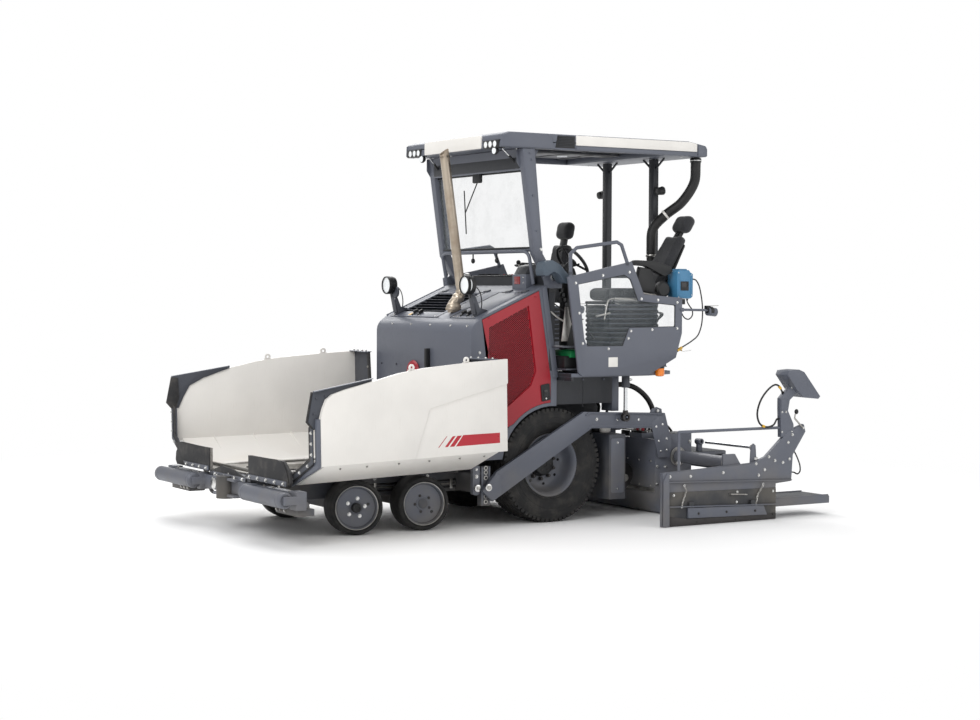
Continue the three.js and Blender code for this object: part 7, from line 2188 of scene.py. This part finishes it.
    # console: fascia in the painted-shade grey, keys, screen, hood, mounting screws and side cover
    gate.plate([(2.12, 1.26), (2.10, 1.37), (2.125, 1.405), (2.22, 1.412), (2.285, 1.388), (2.47, 1.165),
                (2.30, 1.175), (2.20, 1.255)], "yz", 1.8085 - 0.006, 1.8085, GREY_PAINTED_SHADE, 0.002)
    slope = Matrix.Translation((1.72, 2.375, 1.289)) @ Matrix.Rotation(math.radians(-49.5), 4, "X")
    gate.box((-0.078, -0.125, 0.008), (0.078, 0.125, 0.016), BLACK, 0.004, slope)
    gate.box((-0.055, -0.005, 0.015), (0.055, 0.095, 0.018), BLACK_GLOSS, 0.001, slope)
    for k in range(4):
        for n in range(3):
            gate.box((-0.06 + k * 0.034, -0.105 + n * 0.03, 0.015),
                     (-0.04 + k * 0.034, -0.087 + n * 0.03, 0.021),
                     (WHITE, GREY, RED)[(k + n) % 3], 0.002, slope)
    for dx in (-0.07, 0.07):
        for y, z in ((2.14, 1.40), (2.24, 1.412)):
            gate.bolt((1.72 + dx, y, z + 0.006), (0, 0, 1), 0.005, BRIGHT)
    for y, z in ((2.062, 0.83), (2.18, 0.83), (2.062, 1.02), (2.11, 1.02), (2.18, 1.25), (2.25, 1.28)):
        gate.bolt((1.76, y, z), (1, 0, 0), 0.008, BRIGHT)
    gate.box((1.76, 2.05, 1.04), (1.764, 2.125, 1.14), GREY, 0.002)
    # guard rail feet and cable sleeves
    for y in (0.85, 2.09):
        gate.box((1.715, y - 0.03, 0.49), (1.755, y + 0.03, 0.50), GREY, 0.003)
    place_pair(gate, "gate_fittings", "extension", slot="grey_paint")
    sleeves = Shape()
    sleeves.rod((1.745, 2.055, 1.243), (1.748, 2.028, 1.266), 0.0125, YELLOW, 18, bevel=0.002)
    sleeves.rod((1.735, 2.0917, 1.1986), (1.735, 2.083, 1.209), 0.014, BLACK, 18)
    sleeves.rod((1.7665, 1.81, 0.899), (1.7675, 1.84, 0.889), 0.0125, YELLOW, 18, bevel=0.002)
    sleeves.rod((1.735, 2.2253, 0.6397), (1.735, 2.236, 0.631), 0.012, BLACK, 18)
    sleeves.place("cable_sleeves", "extension_left", slot="black_plastic")


make_roof_frame()
make_roof()
make_extraction_hose()
make_rear_body()
make_augers()
make_lift_cylinders()
make_tow_arms()
make_chassis()
make_screed()
make_extensions()


# ---------------------------------------------------------------- floor and light
def make_stage():
    floor_paint = Nodes("studio_floor")
    x = floor_paint.axis("X")
    y = floor_paint.axis("Y")
    far = (x * x + y * y).raised(0.5).ramp(3.2, 8.5)
    floor_paint.set(Base_Color=rgb(250, 250, 250), Roughness=0.7)
    glow = floor_paint.tree.nodes.new("ShaderNodeEmission")
    both = floor_paint.tree.nodes.new("ShaderNodeMixShader")
    floor_paint.tree.links.new(far.socket, both.inputs[0])
    floor_paint.tree.links.new(floor_paint.shader.outputs[0], both.inputs[1])
    floor_paint.tree.links.new(glow.outputs[0], both.inputs[2])
    floor_paint.tree.links.new(both.outputs[0], floor_paint.tree.nodes["Material Output"].inputs["Surface"])
    mesh = bpy.data.meshes.new("floor")
    ground = bmesh.new()
    bmesh.ops.create_grid(ground, x_segments=1, y_segments=1, size=60)
    ground.to_mesh(mesh)
    ground.free()
    mesh.materials.append(floor_paint.material)
    floor = bpy.data.objects.new("floor", mesh)
    bpy.context.collection.objects.link(floor)

    def soft_light(name, at, target, size, power):
        lamp = bpy.data.lights.new(name, "AREA")
        lamp.shape = "SQUARE"
        lamp.size = size
        lamp.energy = power
        made = bpy.data.objects.new(name, lamp)
        made.location = at
        made.rotation_euler = (Vector(target) - Vector(at)).to_track_quat("-Z", "Y").to_euler()
        bpy.context.collection.objects.link(made)

    soft_light("key", (5.8, -9.6, 8.0), (0, 0, 1.4), 6.0, 640)
    soft_light("fill", (9.0, 6.0, 5.0), (0, 0.5, 1.2), 7.0, 190)
    soft_light("top", (-2.0, 0.0, 9.5), (0, 0, 1.0), 9.0, 520)
    soft_light("back", (-8.0, 3.0, 6.0), (0, 0, 1.5), 7.0, 420)

    world = bpy.data.worlds.new("studio")
    world.use_nodes = True
    tree = world.node_tree
    sky = tree.nodes["Background"]
    sky.inputs["Color"].default_value = (1, 1, 1, 1)
    light_path = tree.nodes.new("ShaderNodeLightPath")
    through = tree.nodes.new("ShaderNodeMath")
    through.operation = "MAXIMUM"
    tree.links.new(light_path.outputs["Is Camera Ray"], through.inputs[0])
    tree.links.new(light_path.outputs["Is Transmission Ray"], through.inputs[1])
    strength = tree.nodes.new("ShaderNodeMapRange")
    strength.inputs["To Min"].default_value = 0.58
    strength.inputs["To Max"].default_value = 1.0
    tree.links.new(through.outputs[0], strength.inputs["Value"])
    tree.links.new(strength.outputs[0], sky.inputs["Strength"])
    bpy.context.scene.world = world
    bpy.context.scene.view_settings.view_transform = "Standard"


make_stage()
